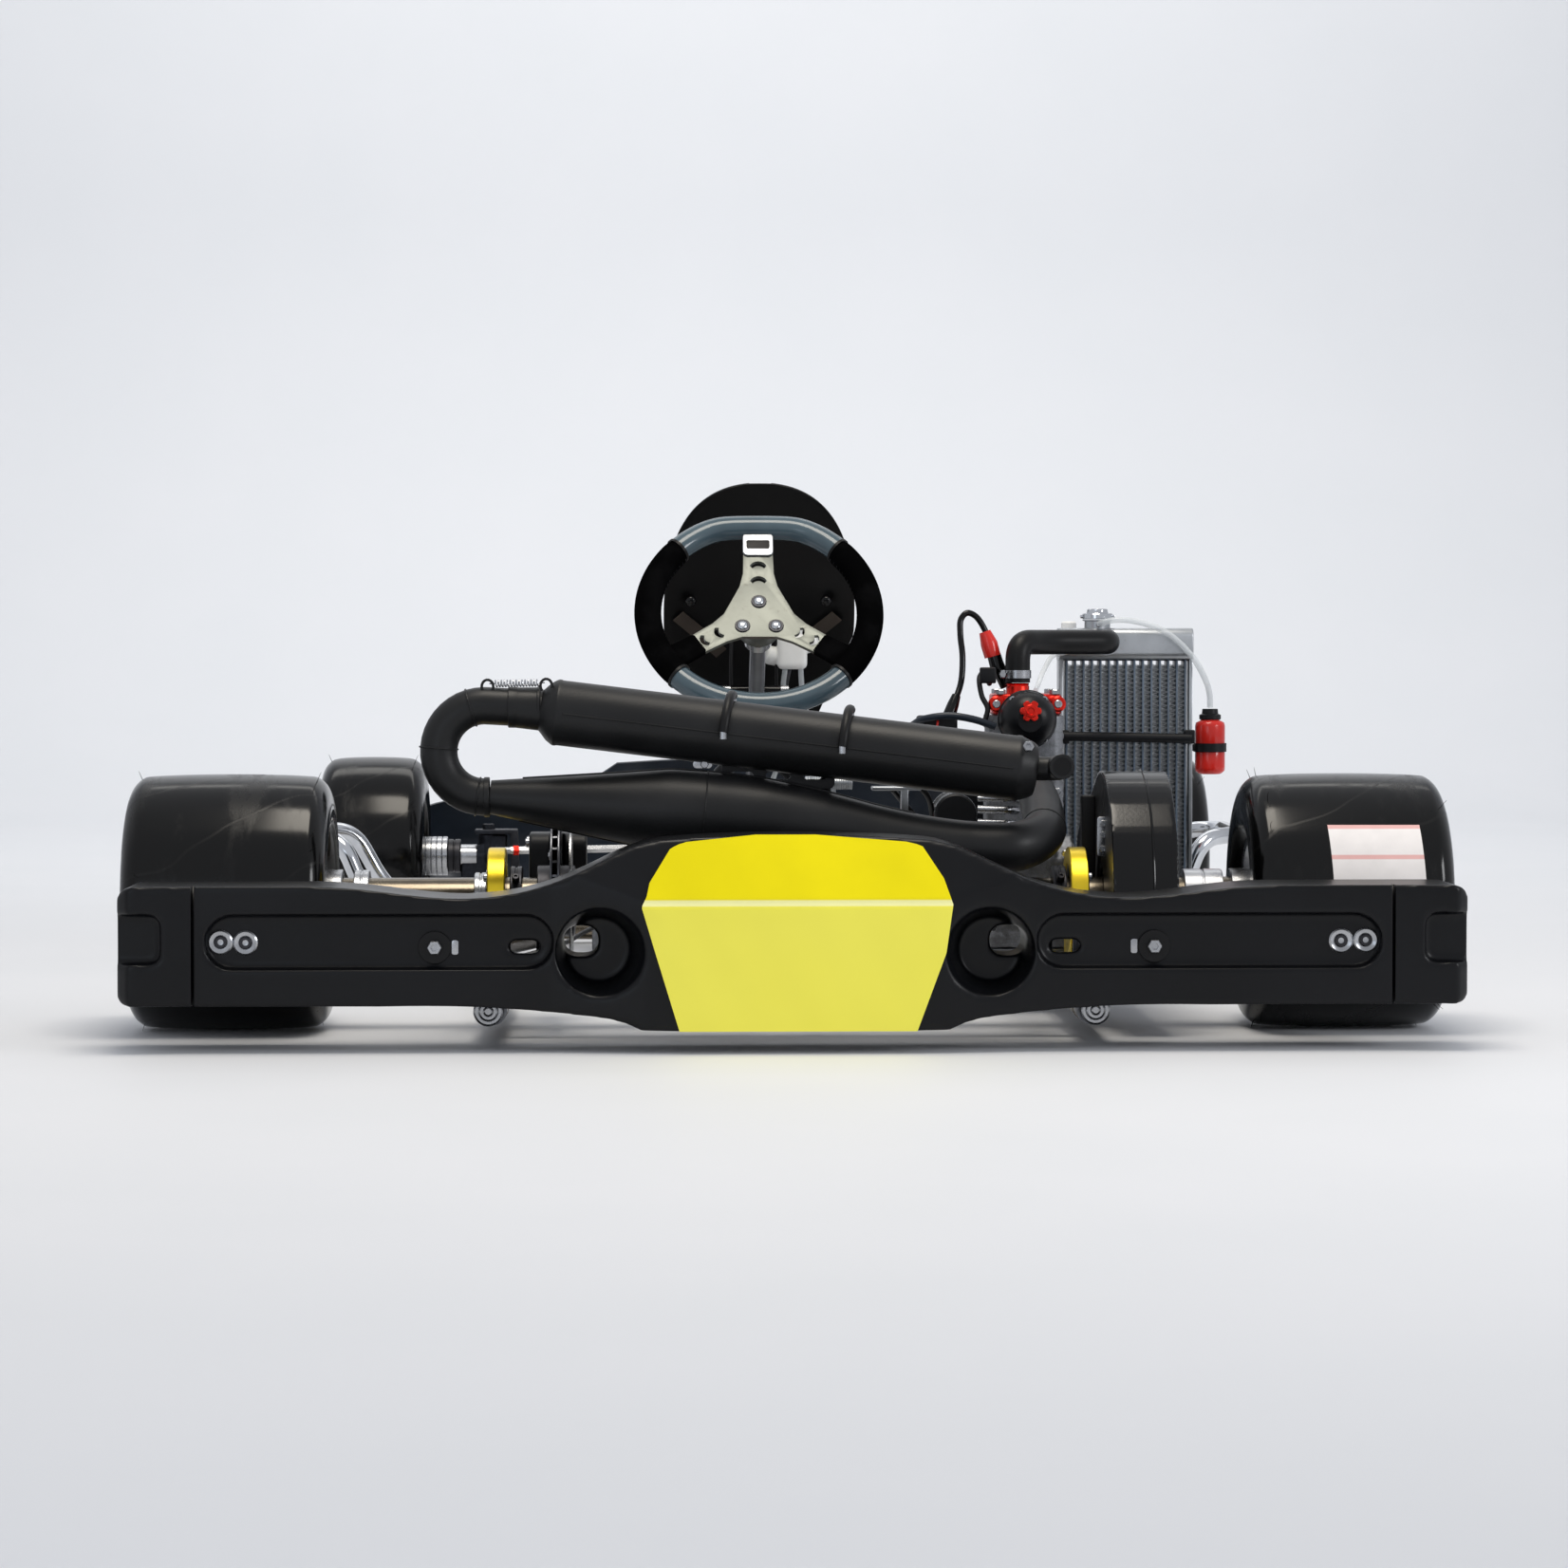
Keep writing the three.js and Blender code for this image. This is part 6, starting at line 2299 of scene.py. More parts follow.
    def _cylinder(self) -> None:
        """The cylinder casting with its port flange, and the red head cover on top."""
        barrel = Form.prism("barrel", round_rect(274, -357, 86, 90, 16), 196.4, 330, "Z")
        flange = Form.turned("flange", [(0, -410), (26, -410), (26, -396), (0, -396)], 48, "Y", (0, 0, 0))
        Form.moved(flange, put((269, 0, 262)))
        Form.boolean(barrel, flange, "UNION")
        for z in (206, 322):
            rim = Form.prism("rim", round_rect(274, -357, 86, 90, 16), z - 4, z + 4, "Z")
            Form.boolean(barrel, rim, "UNION")
        for z in np.arange(222, 312, 11.0):
            for x0, x1 in ((225, 234.5), (313.5, 330)):
                Form.boolean(barrel, Form.block("fin_gap", (x0, -392, z), (x1, -322, z + 5), 0.3, 1),
                             "DIFFERENCE")
        Form.soften(barrel, 1.7, 2)
        deliver(barrel, "chassis", Finishes.casting, "engine_cylinder")
        cover = Form.prism("cover", round_rect(276, -355, 78, 84, 20), 330.4, 354, "Z")
        Form.bevel(cover, 3.0)
        spout = Form.turned("spout",
                            [(0, 350), (13, 350), (13, 362), (12.2, 363.5), (13, 365), (12.4, 366),
                             (0, 366)],
                            40, "Z", (267, -362, 0))
        ear_left = Form.turned("ear", [(0, 0), (9, 0), (9, 7), (7, 9), (0, 9)], 28, "Z")
        Form.moved(ear_left, facing((240, -393, 343), (0, -1, 0)))
        ear_right = Form.turned("ear", [(0, 0), (9, 0), (9, 7), (7, 9), (0, 9)], 28, "Z")
        Form.moved(ear_right, facing((309, -393, 343), (0, -1, 0)))
        fit("head_cover_look", [cover, spout, ear_left, ear_right], Finishes.red, "head_cover")
        nuts = [bolt("head_nut", (x, y, 354), (0, 0, 1), 5.5, 5, 6) for x in (246, 306)
                for y in (-388, -322)]
        nuts += [bolt("ear_bolt", (x, -402, 343), (0, -1, 0), 4.5, 3) for x in (240, 309)]
        fit("head_nuts", nuts, Finishes.zinc)
        flange_bolts = [bolt("port_nut", (x, -410, 262), (0, -1, 0), 4.6, 6, 6) for x in (249, 289)]
        fit("port_nuts", flange_bolts, Finishes.zinc)

    def _valve(self) -> None:
        """The domed power valve cover, its bolts, and the six-spoked red knob."""
        profile = [(0, 0), (32, 0), (33, 1), (33, 6), (32, 7), (31.6, 8), (31.6, 16), (31, 20), (28.6, 28),
                   (24, 35),
                   (18, 39.5), (13.6, 41), (13.4, 42), (0, 42)]
        dome = Form.turned("dome", profile, 72, "Z", (0, 0, 0), 40)
        Form.moved(dome, facing((274, -402.3, 326), (0, -1, 0)))
        fit("valve_dome", [dome], Finishes.bumper, "power_valve_cover")
        screws = [bolt("valve_screw", (274 + 27.5 * math.cos(a), -421, 326 + 27.5 * math.sin(a)),
                       (0.3 * math.cos(a), -1, 0.3 * math.sin(a)),
                       3.6, 5) for a in np.radians((128, 232, 308, 52))]
        fit("valve_screws", screws, Finishes.zinc)
        spokes: Outline = []
        for lobe in range(6):
            base = 2 * math.pi * lobe / 6
            for share, r in ((0.0, 12.0), (0.12, 12.0), (0.3, 11.4), (0.45, 8.8), (0.55, 8.6), (0.7, 11.4),
                             (0.88, 12.0)):
                angle = base + share * math.pi / 3
                spokes.append((r * math.cos(angle), r * math.sin(angle)))
        star = Form.plate("star", spokes, 0.2, 8.0, "Z", 0.7)
        cap = Form.turned("cap",
                          [(0, 7.6), (7.5, 7.6), (7.5, 9.4), (6.6, 10.4), (4.0, 10.8), (3.4, 9.8),
                           (0, 9.8)], 36, "Z")
        knob = Form.joined("valve_knob_look", [star, cap])
        Form.moved(knob, facing((274, -444.6, 336), (0, -1, 0)))
        deliver(knob, "power_valve_knob", Finishes.red, "power_valve_knob")

    def _intake(self) -> None:
        """The carburettor, its clamp, and the intake silencer with its two tubes."""
        body = Form.block("carb_body", (250, -288, 148), (298, -238, 192), 4.0)
        for piece in (Form.turned("mouth", [(0, -242), (22, -242), (22, -226.6), (19, -226.4), (0, -226.4)],
                                  48, "Y"),
                      Form.turned("spigot", [(0, -289.6), (18, -289.6), (18, -284), (0, -284)], 48, "Y")):
            Form.boolean(body, Form.moved(piece, put((274, 0, 171))), "UNION")
        Form.boolean(body, Form.block("bowl", (256, -280, 146.2), (292, -246, 152), 1.5), "UNION")
        Form.soften(body, 1.6, 2)
        deliver(body, "chassis", Finishes.casting, "carburettor")
        screws = [bolt("carb_screw", (x, y, 192), (0, 0, 1), 3.4, 4) for x in (257, 291)
                  for y in (-280, -246)]
        fit("carb_screws", screws, Finishes.zinc)
        deliver(hose_clamp("carb_clamp", (274, -231, 171), (0, 1, 0), 22.2), "chassis", Finishes.zinc)
        side = [(-225.5, 124), (-80, 124), (-80, 222), (-104, 250), (-225.5, 250)]
        box = Form.prism("airbox", side, 200, 318, "X")
        Form.boolean(box, Form.prism("plan", round_rect(259, -152, 118, 146, 22), 100, 260, "Z"),
                     "INTERSECT")
        seam = Form.prism("seam", round_rect(259, -152, 130, 160, 22), 186, 188, "Z")
        core = Form.prism("core", round_rect(259, -152, 115.5, 143.5, 21), 180, 195, "Z")
        Form.boolean(seam, core, "DIFFERENCE")
        Form.boolean(box, seam, "DIFFERENCE")
        for x in (236, 282):
            Form.boolean(box,
                         Form.moved(Form.turned("mouth", [(0, 0), (11, 0), (14, 30), (0, 30)], 40, "Z"),
                                         facing((x, -100, 236), (0, 0.7, 1))), "DIFFERENCE")
        Form.soften(box, 2.2, 4)
        deliver(box, "chassis", Finishes.bumper, "intake_silencer")


# ------------------------------------------------------------------ electrics and cooling

@dataclass
class Electrics:
    """Ignition coil, plug lead, cap and the loom."""

    def build(self) -> None:
        """Builds and delivers every piece."""
        coil = Form.block("coil_body", (152, -396, 305), (197, -364, 330), 4.0)
        ears = [Form.plate("ear", round_rect(x, 311, 12, 12, 5), -398.5, -395.5, "Y", 0.5)
                for x in (160, 190)]
        fit("ignition_coil_look", [coil, *ears], Finishes.carcass, "ignition_coil")
        bracket = Form.plate("bracket",
                             [(156, 300), (195, 300), (214, 252), (236, 250), (236, 262), (218, 264),
                                         (197, 312), (156, 312)], -363.6, -360.8, "Y", 0.6)
        deliver(bracket, "chassis", Finishes.casting)
        heads = [bolt("coil_bolt", (x, -398.5, 311), (0, -1, 0), 4.2, 3.4, 6) for x in (160, 190)]
        fit("coil_bolts", heads, Finishes.zinc)
        self._lead()
        self._loom()

    @staticmethod
    def _lead() -> None:
        """The looped plug lead with its cap and the boot at the coil."""
        lead = smooth([(240, -345, 400), (232, -345, 424), (221, -345, 441), (211, -346, 445),
                       (204, -348, 438),
                       (203, -352, 420), (205, -358, 396), (203, -365, 368), (196, -375, 348),
                       (190, -380, 334)], 8)
        parts = [Form.tube("lead", lead, 3.5, 16)]
        for start, end, low, high in (((246, -345, 382), (238, -345, 410), 8.5, 6.4),
                                      ((256, -345, 361.5), (245, -345, 388), 7.0, 7.6),
                                      ((197, -373, 352), (189, -381, 331), 5.0, 7.4)):
            route = np.array([start, [(a + b) / 2 for a, b in zip(start, end)], end], float)
            parts.append(Form.tube("boot", route, stops((0, low), (0.5, (low + high) / 2 + 0.5), (1, high)),
                                   24))
        fit("plug_lead", parts, Finishes.gloss, "ht_lead")
        cap = Form.tube("plug_cap", np.array([(240, -346, 396), (236, -346, 410), (231, -346, 424)], float),
                        stops((0, 9.4), (0.5, 9.8), (1, 6.6)), 28)
        deliver(cap, "chassis", Finishes.red_plastic)

    @staticmethod
    def _loom() -> None:
        """The connector cable, the dark blue breather and the orange wire."""
        loom = smooth([(236, -352, 365), (228, -374, 378), (222, -386, 372), (224, -396, 352),
                       (230, -402, 338),
                       (226, -406, 322)], 8)
        plug = Form.block("connector", (222, -398, 366), (240, -386, 384), 2.0)
        fit("loom", [Form.tube("cable", loom, 3.0, 14), plug], Finishes.carcass)
        breather = smooth([(146, -380, 318), (158, -402, 326), (186, -410, 330), (214, -412, 326),
                           (238, -410, 318)], 8)
        deliver(Form.tube("breather", breather, 4.2, 16), "chassis", Finishes.nose)
        wire = smooth([(172, -398, 330), (174, -404, 324), (173, -406, 314), (178, -402, 304)], 8)
        deliver(Form.tube("orange_wire", wire, 1.4, 10), "chassis", Finishes.red_plastic)


@dataclass
class Cooling:
    """Radiator, caps, hoses, clamps, and the red overflow bottle."""

    left: float = 327.0
    right: float = 483.0
    back: float = -225.0
    front: float = -182.0
    bottom: float = 84.0
    top: float = 428.0

    def build(self) -> None:
        """Builds and delivers every piece."""
        self._tanks()
        self._core()
        self._hoses()
        self._bottle()

    def _tanks(self) -> None:
        """Folded top and bottom tanks, side strips, filler neck and inlet."""
        middle = (self.back + self.front) / 2
        parts = []
        for z, height in ((self.top - 19, 38), (self.bottom + 17, 34)):
            tank = Form.plate("tank", round_rect(middle, z, self.front - self.back, height, 10, 8),
                              self.left, self.right,
                              "X", 1.4)
            parts.append(tank)
        for x0, x1 in ((self.left + 0.6, self.left + 4.6), (self.right - 4.6, self.right - 0.6)):
            parts.append(Form.block("side_strip", (x0, self.back + 4, self.bottom + 30),
                                    (x1, self.front - 4, self.top - 34), 0.6, 2))
        neck = Form.turned("neck",
                           [(11, 418), (15, 418), (15, 436), (17.4, 436.6), (17.4, 437.8), (11, 437.8)], 40,
                           "Z",
                           (373, -204, 0))
        inlet = Form.turned("inlet", [(0, 0), (11, 0), (11, 20), (12, 22), (12, 24), (11, 25.6), (0, 25.6)],
                            36, "Z")
        Form.moved(inlet, facing((378, self.back + 3.8, 412), (0, -1, 0)))
        nipple = Form.tube("nipple", np.array([(373, -216, 431), (373, -226, 433)], float), 3.0, 14)
        fit("radiator_look", [*parts, neck, inlet, nipple], Finishes.satin, "radiator")
        cap = Form.turned("cap",
                          [(0, 0), (17, 0), (18, 1), (18, 5.4), (17, 6.6), (13, 7), (12, 9), (12, 11),
                           (11, 12),
                                  (0, 12)], 48, "Z")
        ears = [Form.block("cap_ear", (s * 17 - 3, -5, 1), (s * 17 + 3, 5, 5), 0.8, 2) for s in (-1, 1)]
        look = Form.moved(Form.joined("radiator_cap_look", [cap, *ears]), put((373, -204, 438.3)))
        deliver(look, "radiator_cap", Finishes.chrome, "radiator_cap")

    def _core(self) -> None:
        """Vertical tubes and folded fins between the tanks, with the cross rod behind."""
        low, high = self.bottom + 33, self.top - 37
        middle = (self.back + self.front) / 2
        x0, x1 = self.left + 9, self.right - 9
        tube = Form.block("tube", (-1.2, -17, 0), (1.2, 17, high - low), 0.7, 2)
        tubes = repeater(Pattern.ROW).run("core_tubes", tube, Finishes.core, 15, (x1 - x0) * MM)
        Form.moved(tubes, put((x0, middle, low)))
        fit("radiator_tubes", [tubes], Finishes.core)
        pitch = 2.6
        half = (x1 - x0) / 14 / 2 - 1.2
        wave = [(half * (1 if k % 2 else -1) * 0.98, k * pitch + pitch)
                for k in range(int((high - low) / pitch) - 2)]
        points = [(x, side * 16.0, z + side * pitch) for side in (-1, 1) for x, z in wave]
        count = len(wave)
        faces = [[i, i + 1, count + i + 1, count + i] for i in range(count - 1)]
        back_points = [(x, y, z + 0.35) for x, y, z in points]
        total = len(points)
        faces += [[total + i for i in reversed(face)] for face in faces]
        border = list(range(count)) + list(range(2 * count - 1, count - 1, -1))
        for a, b in zip(border, border[1:] + border[:1]):
            faces.append([a, b, total + b, total + a])
        fin = Form.mesh("fin", points + back_points, faces, 10.0)
        fins = repeater(Pattern.ROW).run("core_fins", fin, Finishes.satin, 14, (x1 - x0) * 13 / 14 * MM)
        Form.moved(fins, put((x0 + (x1 - x0) / 28, middle, low)))
        fit("radiator_fins", [fins], Finishes.satin)
        rod = Form.tube("radiator_rod",
                        np.array([(329, self.back - 6, 303), (480, self.back - 6, 300)], float), 5.5, 24)
        tabs = [Form.block("tab", (x - 6, self.back - 8, 294), (x + 6, self.back + 5, 310), 1.5)
                for x in (332, 478)]
        fit("radiator_stay", [rod, *tabs], Finishes.carcass)

    def _hoses(self) -> None:
        """The coolant hose with its clamps, and the clear overflow hoses."""
        route = bent([(267, -362, 366.5), (267, -362, 412), (300, -325, 412), (378, -285, 412),
                      (378, self.back - 22.5, 412)], 30, 4)
        hose = Form.tube("coolant_hose", route, 14, 36)
        deliver(hose, "chassis", Finishes.hose, "radiator_hose")
        clamps = [hose_clamp("clamp", (267, -362, 376), (0, 0, 1), 14.3),
                  hose_clamp("clamp", (378, -256, 412), (0, 1, 0), 14.3)]
        fit("hose_clamps", clamps, Finishes.zinc)
        overflow = smooth([(373, -219.8, 433), (376, -228, 434), (388, -233, 437), (412, -234, 436),
                           (448, -234, 424),
                           (478, -233, 398), (497, -223, 368), (504, -208, 350), (505, -204, 336)], 8)
        deliver(Form.tube("clear_overflow", overflow, 3.5, 16), "chassis", Finishes.clear, "overflow_hose")
        drain = smooth([(334, -228, 400), (318, -240, 396), (306, -258, 380), (297, -286, 364),
                        (292, -310, 357)], 8)
        deliver(Form.tube("clear_bleed", drain, 3.0, 14), "chassis", Finishes.clear)
        cream = Form.turned("cream_cap", [(0, 0), (9, 0), (9, 10), (7.4, 12), (0, 12)], 32, "Z",
                            (343, -170, 424))
        fit("bleed_cap", [cream], Finishes.reservoir)

    @staticmethod
    def _bottle() -> None:
        """The red bottle, its black cap and its clamp on the radiator."""
        profile = [(0, 258), (12, 258), (14, 259), (17.2, 262), (17.5, 266), (17.5, 286), (16.9, 287.5),
                   (17.5, 289),
                   (17.5, 314), (16.6, 318), (11, 321), (11, 322), (0, 322)]
        bottle = Form.turned("bottle", profile, 56, "Z", (505, -204, 0), 50)
        fit("overflow_bottle_look", [bottle], Finishes.red_plastic, "overflow_bottle")
        cap = Form.turned("cap",
                          [(0, 321.6), (12, 321.6), (12.6, 322.4), (12.6, 327), (9.6, 328.4), (9, 334),
                           (0, 334)], 40,
                          "Z", (505, -204, 0))
        ring = Form.turned("ring", [(17.6, 284), (19.2, 284), (19.2, 294), (17.6, 294)], 48, "Z",
                           (505, -204, 0))
        arm = Form.block("arm", (482.6, -211, 285), (489, -197, 293), 1.2)
        fit("bottle_clamp", [cap, ring, arm], Finishes.carcass)


# ------------------------------------------------------------------ steering

@dataclass
class Steering:
    """Steering wheel, column, support, front panel and what hangs behind it."""

    place: Point = (-14.0, 80.0, 447.0)
    tilt: float = 36.0
    ring: float = 138.0
    flat: float = 131.0
    tube: float = 15.0

    def build(self) -> None:
        """Builds and delivers every piece."""
        self._rim()
        self._spokes()
        self._column()
        self._support()
        self._panel()
        self._behind()

    def _placed(self, obj: Piece) -> Piece:
        """Moves a mesh from the wheel's own frame into place."""
        return Form.moved(obj, put(self.place, (90.0 - self.tilt, 0, 0)))

    def _arc(self, start: float, end: float, ring: float, flat: float, count: int = 40) -> np.ndarray:
        """Part of the rim line, with its flat top; the flat's corners are eased.

        Args:
            start: where it starts.
            end: where it ends.
            ring: radius of the rim's centre line.
            flat: how far its top is flattened.
            count: how many points or copies.

        Returns:
            Points along the rim.
        """
        route = []
        for angle in np.radians(np.linspace(start, end, count)):
            reach = ring
            if math.sin(angle) > 0.2:
                straight = flat / math.sin(angle)
                reach = -math.log(math.exp(-ring / 3.0) + math.exp(-straight / 3.0)) * 3.0
            route.append((reach * math.cos(angle), reach * math.sin(angle), 0.0))
        return np.array(route)

    def _rim(self) -> None:
        """Painted top and bottom, suede grips at the sides, with a stitched seam on each."""
        grips = []
        for start, end in ((-44, 44), (136, 224)):
            route = self._arc(start, end, self.ring - 1.6, self.flat)
            grips.append(Form.tube("grip", route, stops((0, 15.2), (0.03, 16.6), (0.97, 16.6), (1, 15.2)),
                                   40))
        for degrees in (213, 327):
            arm = Form.plate("grip_arm", [(86, -15), (126, -17), (126, 17), (86, 15)], -4.5, 4.5, "Z", 3.0)
            grips.append(Form.moved(arm, Matrix.Rotation(math.radians(degrees), 4, "Z")))
        hand = Form.joined("steering_grips", grips)
        deliver(self._placed(hand), "steering", Finishes.suede)
        shells = []
        for start, end in ((43.5, 136.5), (223.5, 316.5)):
            shells.append(Form.tube("shell", self._arc(start, end, self.ring, self.flat, 60), self.tube,
                                    40))
        shell = Form.joined("steering_wheel_shell", shells)
        deliver(self._placed(shell), "steering", Finishes.grey_paint, "steering_wheel")
        rings = []
        for angle in (44, 136, 224, 316):
            near = self._arc(angle - 0.7, angle + 0.7, self.ring - 0.8, self.flat, 3)
            rings.append(Form.tube("edge", near, 16.9, 40))
        deliver(self._placed(Form.joined("grip_edges", rings)), "steering", Finishes.hose)
        stitch = Form.tube("stitch", np.array([(0, 0, -1.7), (0.5, 0, 0), (0, 0, 1.7)], float), 0.5, 6)
        ring = repeater(Pattern.RING).run("stitches", stitch, Finishes.dark_bolt, 120,
                                          (self.ring - 18.0) * MM)
        trimmed = self._keep_sides(ring)
        deliver(self._placed(trimmed), "steering", Finishes.dark_bolt)

    @staticmethod
    def _keep_sides(obj: Piece) -> Piece:
        """Keeps the stitches on the two grips only.

        Args:
            obj: the piece to work on.

        Returns:
            The finished piece.
        """
        work = bmesh.new()
        work.from_mesh(obj.data)
        away = [v for v in work.verts if abs(v.co.y) > abs(v.co.x) * 0.93]
        bmesh.ops.delete(work, geom=away, context="VERTS")
        loose = [v for v in work.verts if not v.link_faces]
        bmesh.ops.delete(work, geom=loose, context="VERTS")
        bmesh.ops.holes_fill(work, edges=work.edges)
        work.to_mesh(obj.data)
        work.free()
        return obj

    def _spokes(self) -> None:
        """The satin three-arm plate with crescent holes, domed bolts, boss and blank badge."""
        arms: Outline = []
        for degrees, reach, width in ((90, 120, 17.5), (213, 95, 14.5), (327, 95, 14.5)):
            turn = math.radians(degrees)
            u = (math.cos(turn), math.sin(turn))
            v = (-u[1], u[0])
            side = [(reach, -width), (reach, width), (58, width + 1.5), (38, width + 6)]
            side = [(38, -width - 6), (58, -width - 1.5), *side]
            arms += [(u[0] * a + v[0] * b, u[1] * a + v[1] * b) for a, b in side]
        holes = []
        for degrees in (90, 213, 327):
            turn = math.radians(degrees)
            for reach in (43, 66) if degrees == 90 else (55, 76):
                size = 11.0 if degrees == 90 else 9.4
                outer = arc((0, 0), size, 20, 160, 12)
                inner = arc((0, -size * 0.46), size * 0.8, 145, 35, 8)
                crescent = [(y + reach, -x) for x, y in outer + inner]
                holes.append([(math.cos(turn) * a - math.sin(turn) * b,
                               math.sin(turn) * a + math.cos(turn) * b)
                              for a, b in crescent])
        plate = Form.plate("spokes", arms, -2.5, 2.5, "Z", 1.0, holes)
        boss = Form.turned("boss",
                           [(0, -38), (24, -38), (26, -36), (26, -30), (33, -8), (34, -5), (34, -2.6),
                            (0, -2.6)],
                           56, "Z")
        deliver(self._placed(Form.joined("steering_spokes", [plate, boss])), "steering", Finishes.spokes)
        domes, rims = [], []
        for x, y in ((0.0, 15.0), (-20.5, -22.0), (20.5, -22.0)):
            domes.append(Form.turned("dome",
                                     [(0, 2.6), (7, 2.6), (6.8, 4.4), (5.4, 6.2), (3, 7.1), (0, 7.3)], 40,
                                     "Z",
                                     (x, y, 0), 50))
            rims.append(Form.turned("rim", [(6.8, 2.5), (9.4, 2.5), (9.4, 3.6), (8.6, 4.2), (6.8, 4.2)], 40,
                                    "Z", (x, y, 0)))
        deliver(self._placed(Form.joined("wheel_bolts", domes)), "steering", Finishes.chrome)
        deliver(self._placed(Form.joined("wheel_bolt_rings", rims)), "steering", Finishes.dark_bolt)
        badge = Form.plate("badge", round_rect(0, 102, 38, 35, 7), 2.4, 5.4, "Z", 1.0)
        window = Form.plate("window", round_rect(0, 101, 29, 13, 2.5), 5.0, 6.0, "Z", 0.3)
        deliver(self._placed(badge), "steering", Finishes.satin)
        deliver(self._placed(window), "steering", Finishes.panel)

    def _column(self) -> None:
        """The shaft, its collar, and the arm at its foot with both rod pins."""
        shaft = Form.turned("shaft",
                            [(0, -522), (9, -522), (10, -521), (10, -39.4), (9, -38.4), (0, -38.4)], 40,
                            "Z")
        arm = Form.plate("arm", round_rect(0, -19.5, 48, 51, 9), -474, -466, "Z", 1.2)
        deliver(self._placed(Form.joined("column_look", [shaft, arm])), "steering", Finishes.steel,
                "steering_shaft")
        collar = Form.turned("collar",
                             [(10.1, -62), (16, -62), (17, -61), (17, -50), (16, -49), (10.1, -49)], 40,
                             "Z")
        pins = [bolt("pin", (x, -35, -466), (0, 0, 1), 5.5, 6, 6) for x in (-12, 12)]
        deliver(self._placed(Form.joined("column_hardware", [collar, *pins])), "steering", Finishes.zinc)

    def _support(self) -> None:
        """The tube hoop with the split bearing block at its top."""
        x = self.place[0]
        hoop = Form.tube("hoop",
                         bent([(x - 70, 440, 50), (x - 48, 300, 256), (x + 48, 300, 256),
                               (x + 70, 440, 50)], 40),
                         9, 28)
        block = Form.block("block", (-28, -36, -290), (28, 22, -252), 4.0)
        hole = Form.turned("hole", [(0, -330), (11, -330), (11, -210), (0, -210)], 40, "Z")
        Form.boolean(block, hole, "DIFFERENCE")
        self._placed(block)
        fit("steering_support_look", [hoop, block], Finishes.bumper, "steering_support")
        screws = [bolt("block_screw", (s * 19, 22, -271), (0, 1, 0), 5, 5) for s in (-1, 1)]
        deliver(self._placed(Form.joined("block_screws", screws)), "chassis", Finishes.zinc)

    def _panel(self) -> None:
        """The black upright panel: a curved sheet with an arched top, leaning back."""
        rows, columns = 60, 48
        grid = np.zeros((rows, columns, 3))
        edge = bezier((122, 150), (128, 300), (84, 352), (0, 352), 40)
        levels = [z for _, z in edge]
        for row, v in enumerate(np.linspace(0.0, 1.0, rows)):
            z = 351.4 * (1 - (1 - v) ** 1.6)
            wide = 70 + 52 * z / 150 if z < 150 else float(np.interp(z, levels, [x for x, _ in edge]))
            for column, u in enumerate(np.linspace(-1.0, 1.0, columns)):
                x = wide * u
                roll = 2.4 * math.exp(-((1 - abs(u)) / 0.04) ** 2)
                grid[row, column] = (x, math.sqrt(304.0 ** 2 - x * x) - 300 + roll * 0.5, z)
        panel = sheet("front_panel_look", grid, (0.0, 2.6, 0.0))
        Form.moved(panel, put((-8, 424, 296), (27, 0, 0)))
        deliver(panel, "chassis", Finishes.panel, "front_panel")
        knobs = []
        for x in (-88, 86):
            knob = Form.turned("knob",
                               [(0, -9), (5.5, -9), (5.5, -4), (7.2, -3), (7.6, 0), (6.4, 3.2), (3.4, 5),
                                (0, 5.4)], 36, "Z",
                               (0, 0, 0), 50)
            depth = math.sqrt(302.0 ** 2 - x * x) - 300
            Form.moved(knob, facing((x, depth - 8, 197), (0, -1, 0)))
            knobs.append(Form.moved(knob, put((-8, 424, 296), (27, 0, 0))))
        fit("panel_knobs", knobs, Finishes.gloss)
        straps = []
        for side, low, high in ((-1, (48, 118), (104, 176)), (1, (44, 118), (100, 176))):
            (x0, z0), (x1, z1) = low, high
            route = np.array([(side * x0, -12, z0), (side * (x0 + x1) / 2, -14, (z0 + z1) / 2),
                              (side * x1, -20, z1)], float)
            straps.append(self._ribbon(route, 9.0, 1.4))
        strap = Form.moved(Form.joined("panel_straps", straps), put((-8, 424, 296), (27, 0, 0)))
        deliver(strap, "chassis", Finishes.strap)

    @staticmethod
    def _ribbon(route: np.ndarray, half: float, thick: float) -> Piece:
        """A flat strap along a route, wide across it and up.

        Args:
            route: the points of its centre line.
            half: half its width.
            thick: its thickness in millimetres.

        Returns:
            The finished piece.
        """
        grid = []
        for point in smooth(route, 8):
            along = route[-1] - route[0]
            across = np.cross(along / np.linalg.norm(along), [0.0, 1.0, 0.0])
            across /= np.linalg.norm(across)
            grid.append([point + across * s * half for s in np.linspace(-1, 1, 5)])
        return sheet("strap", np.array(grid), (0.0, thick, 0.0))

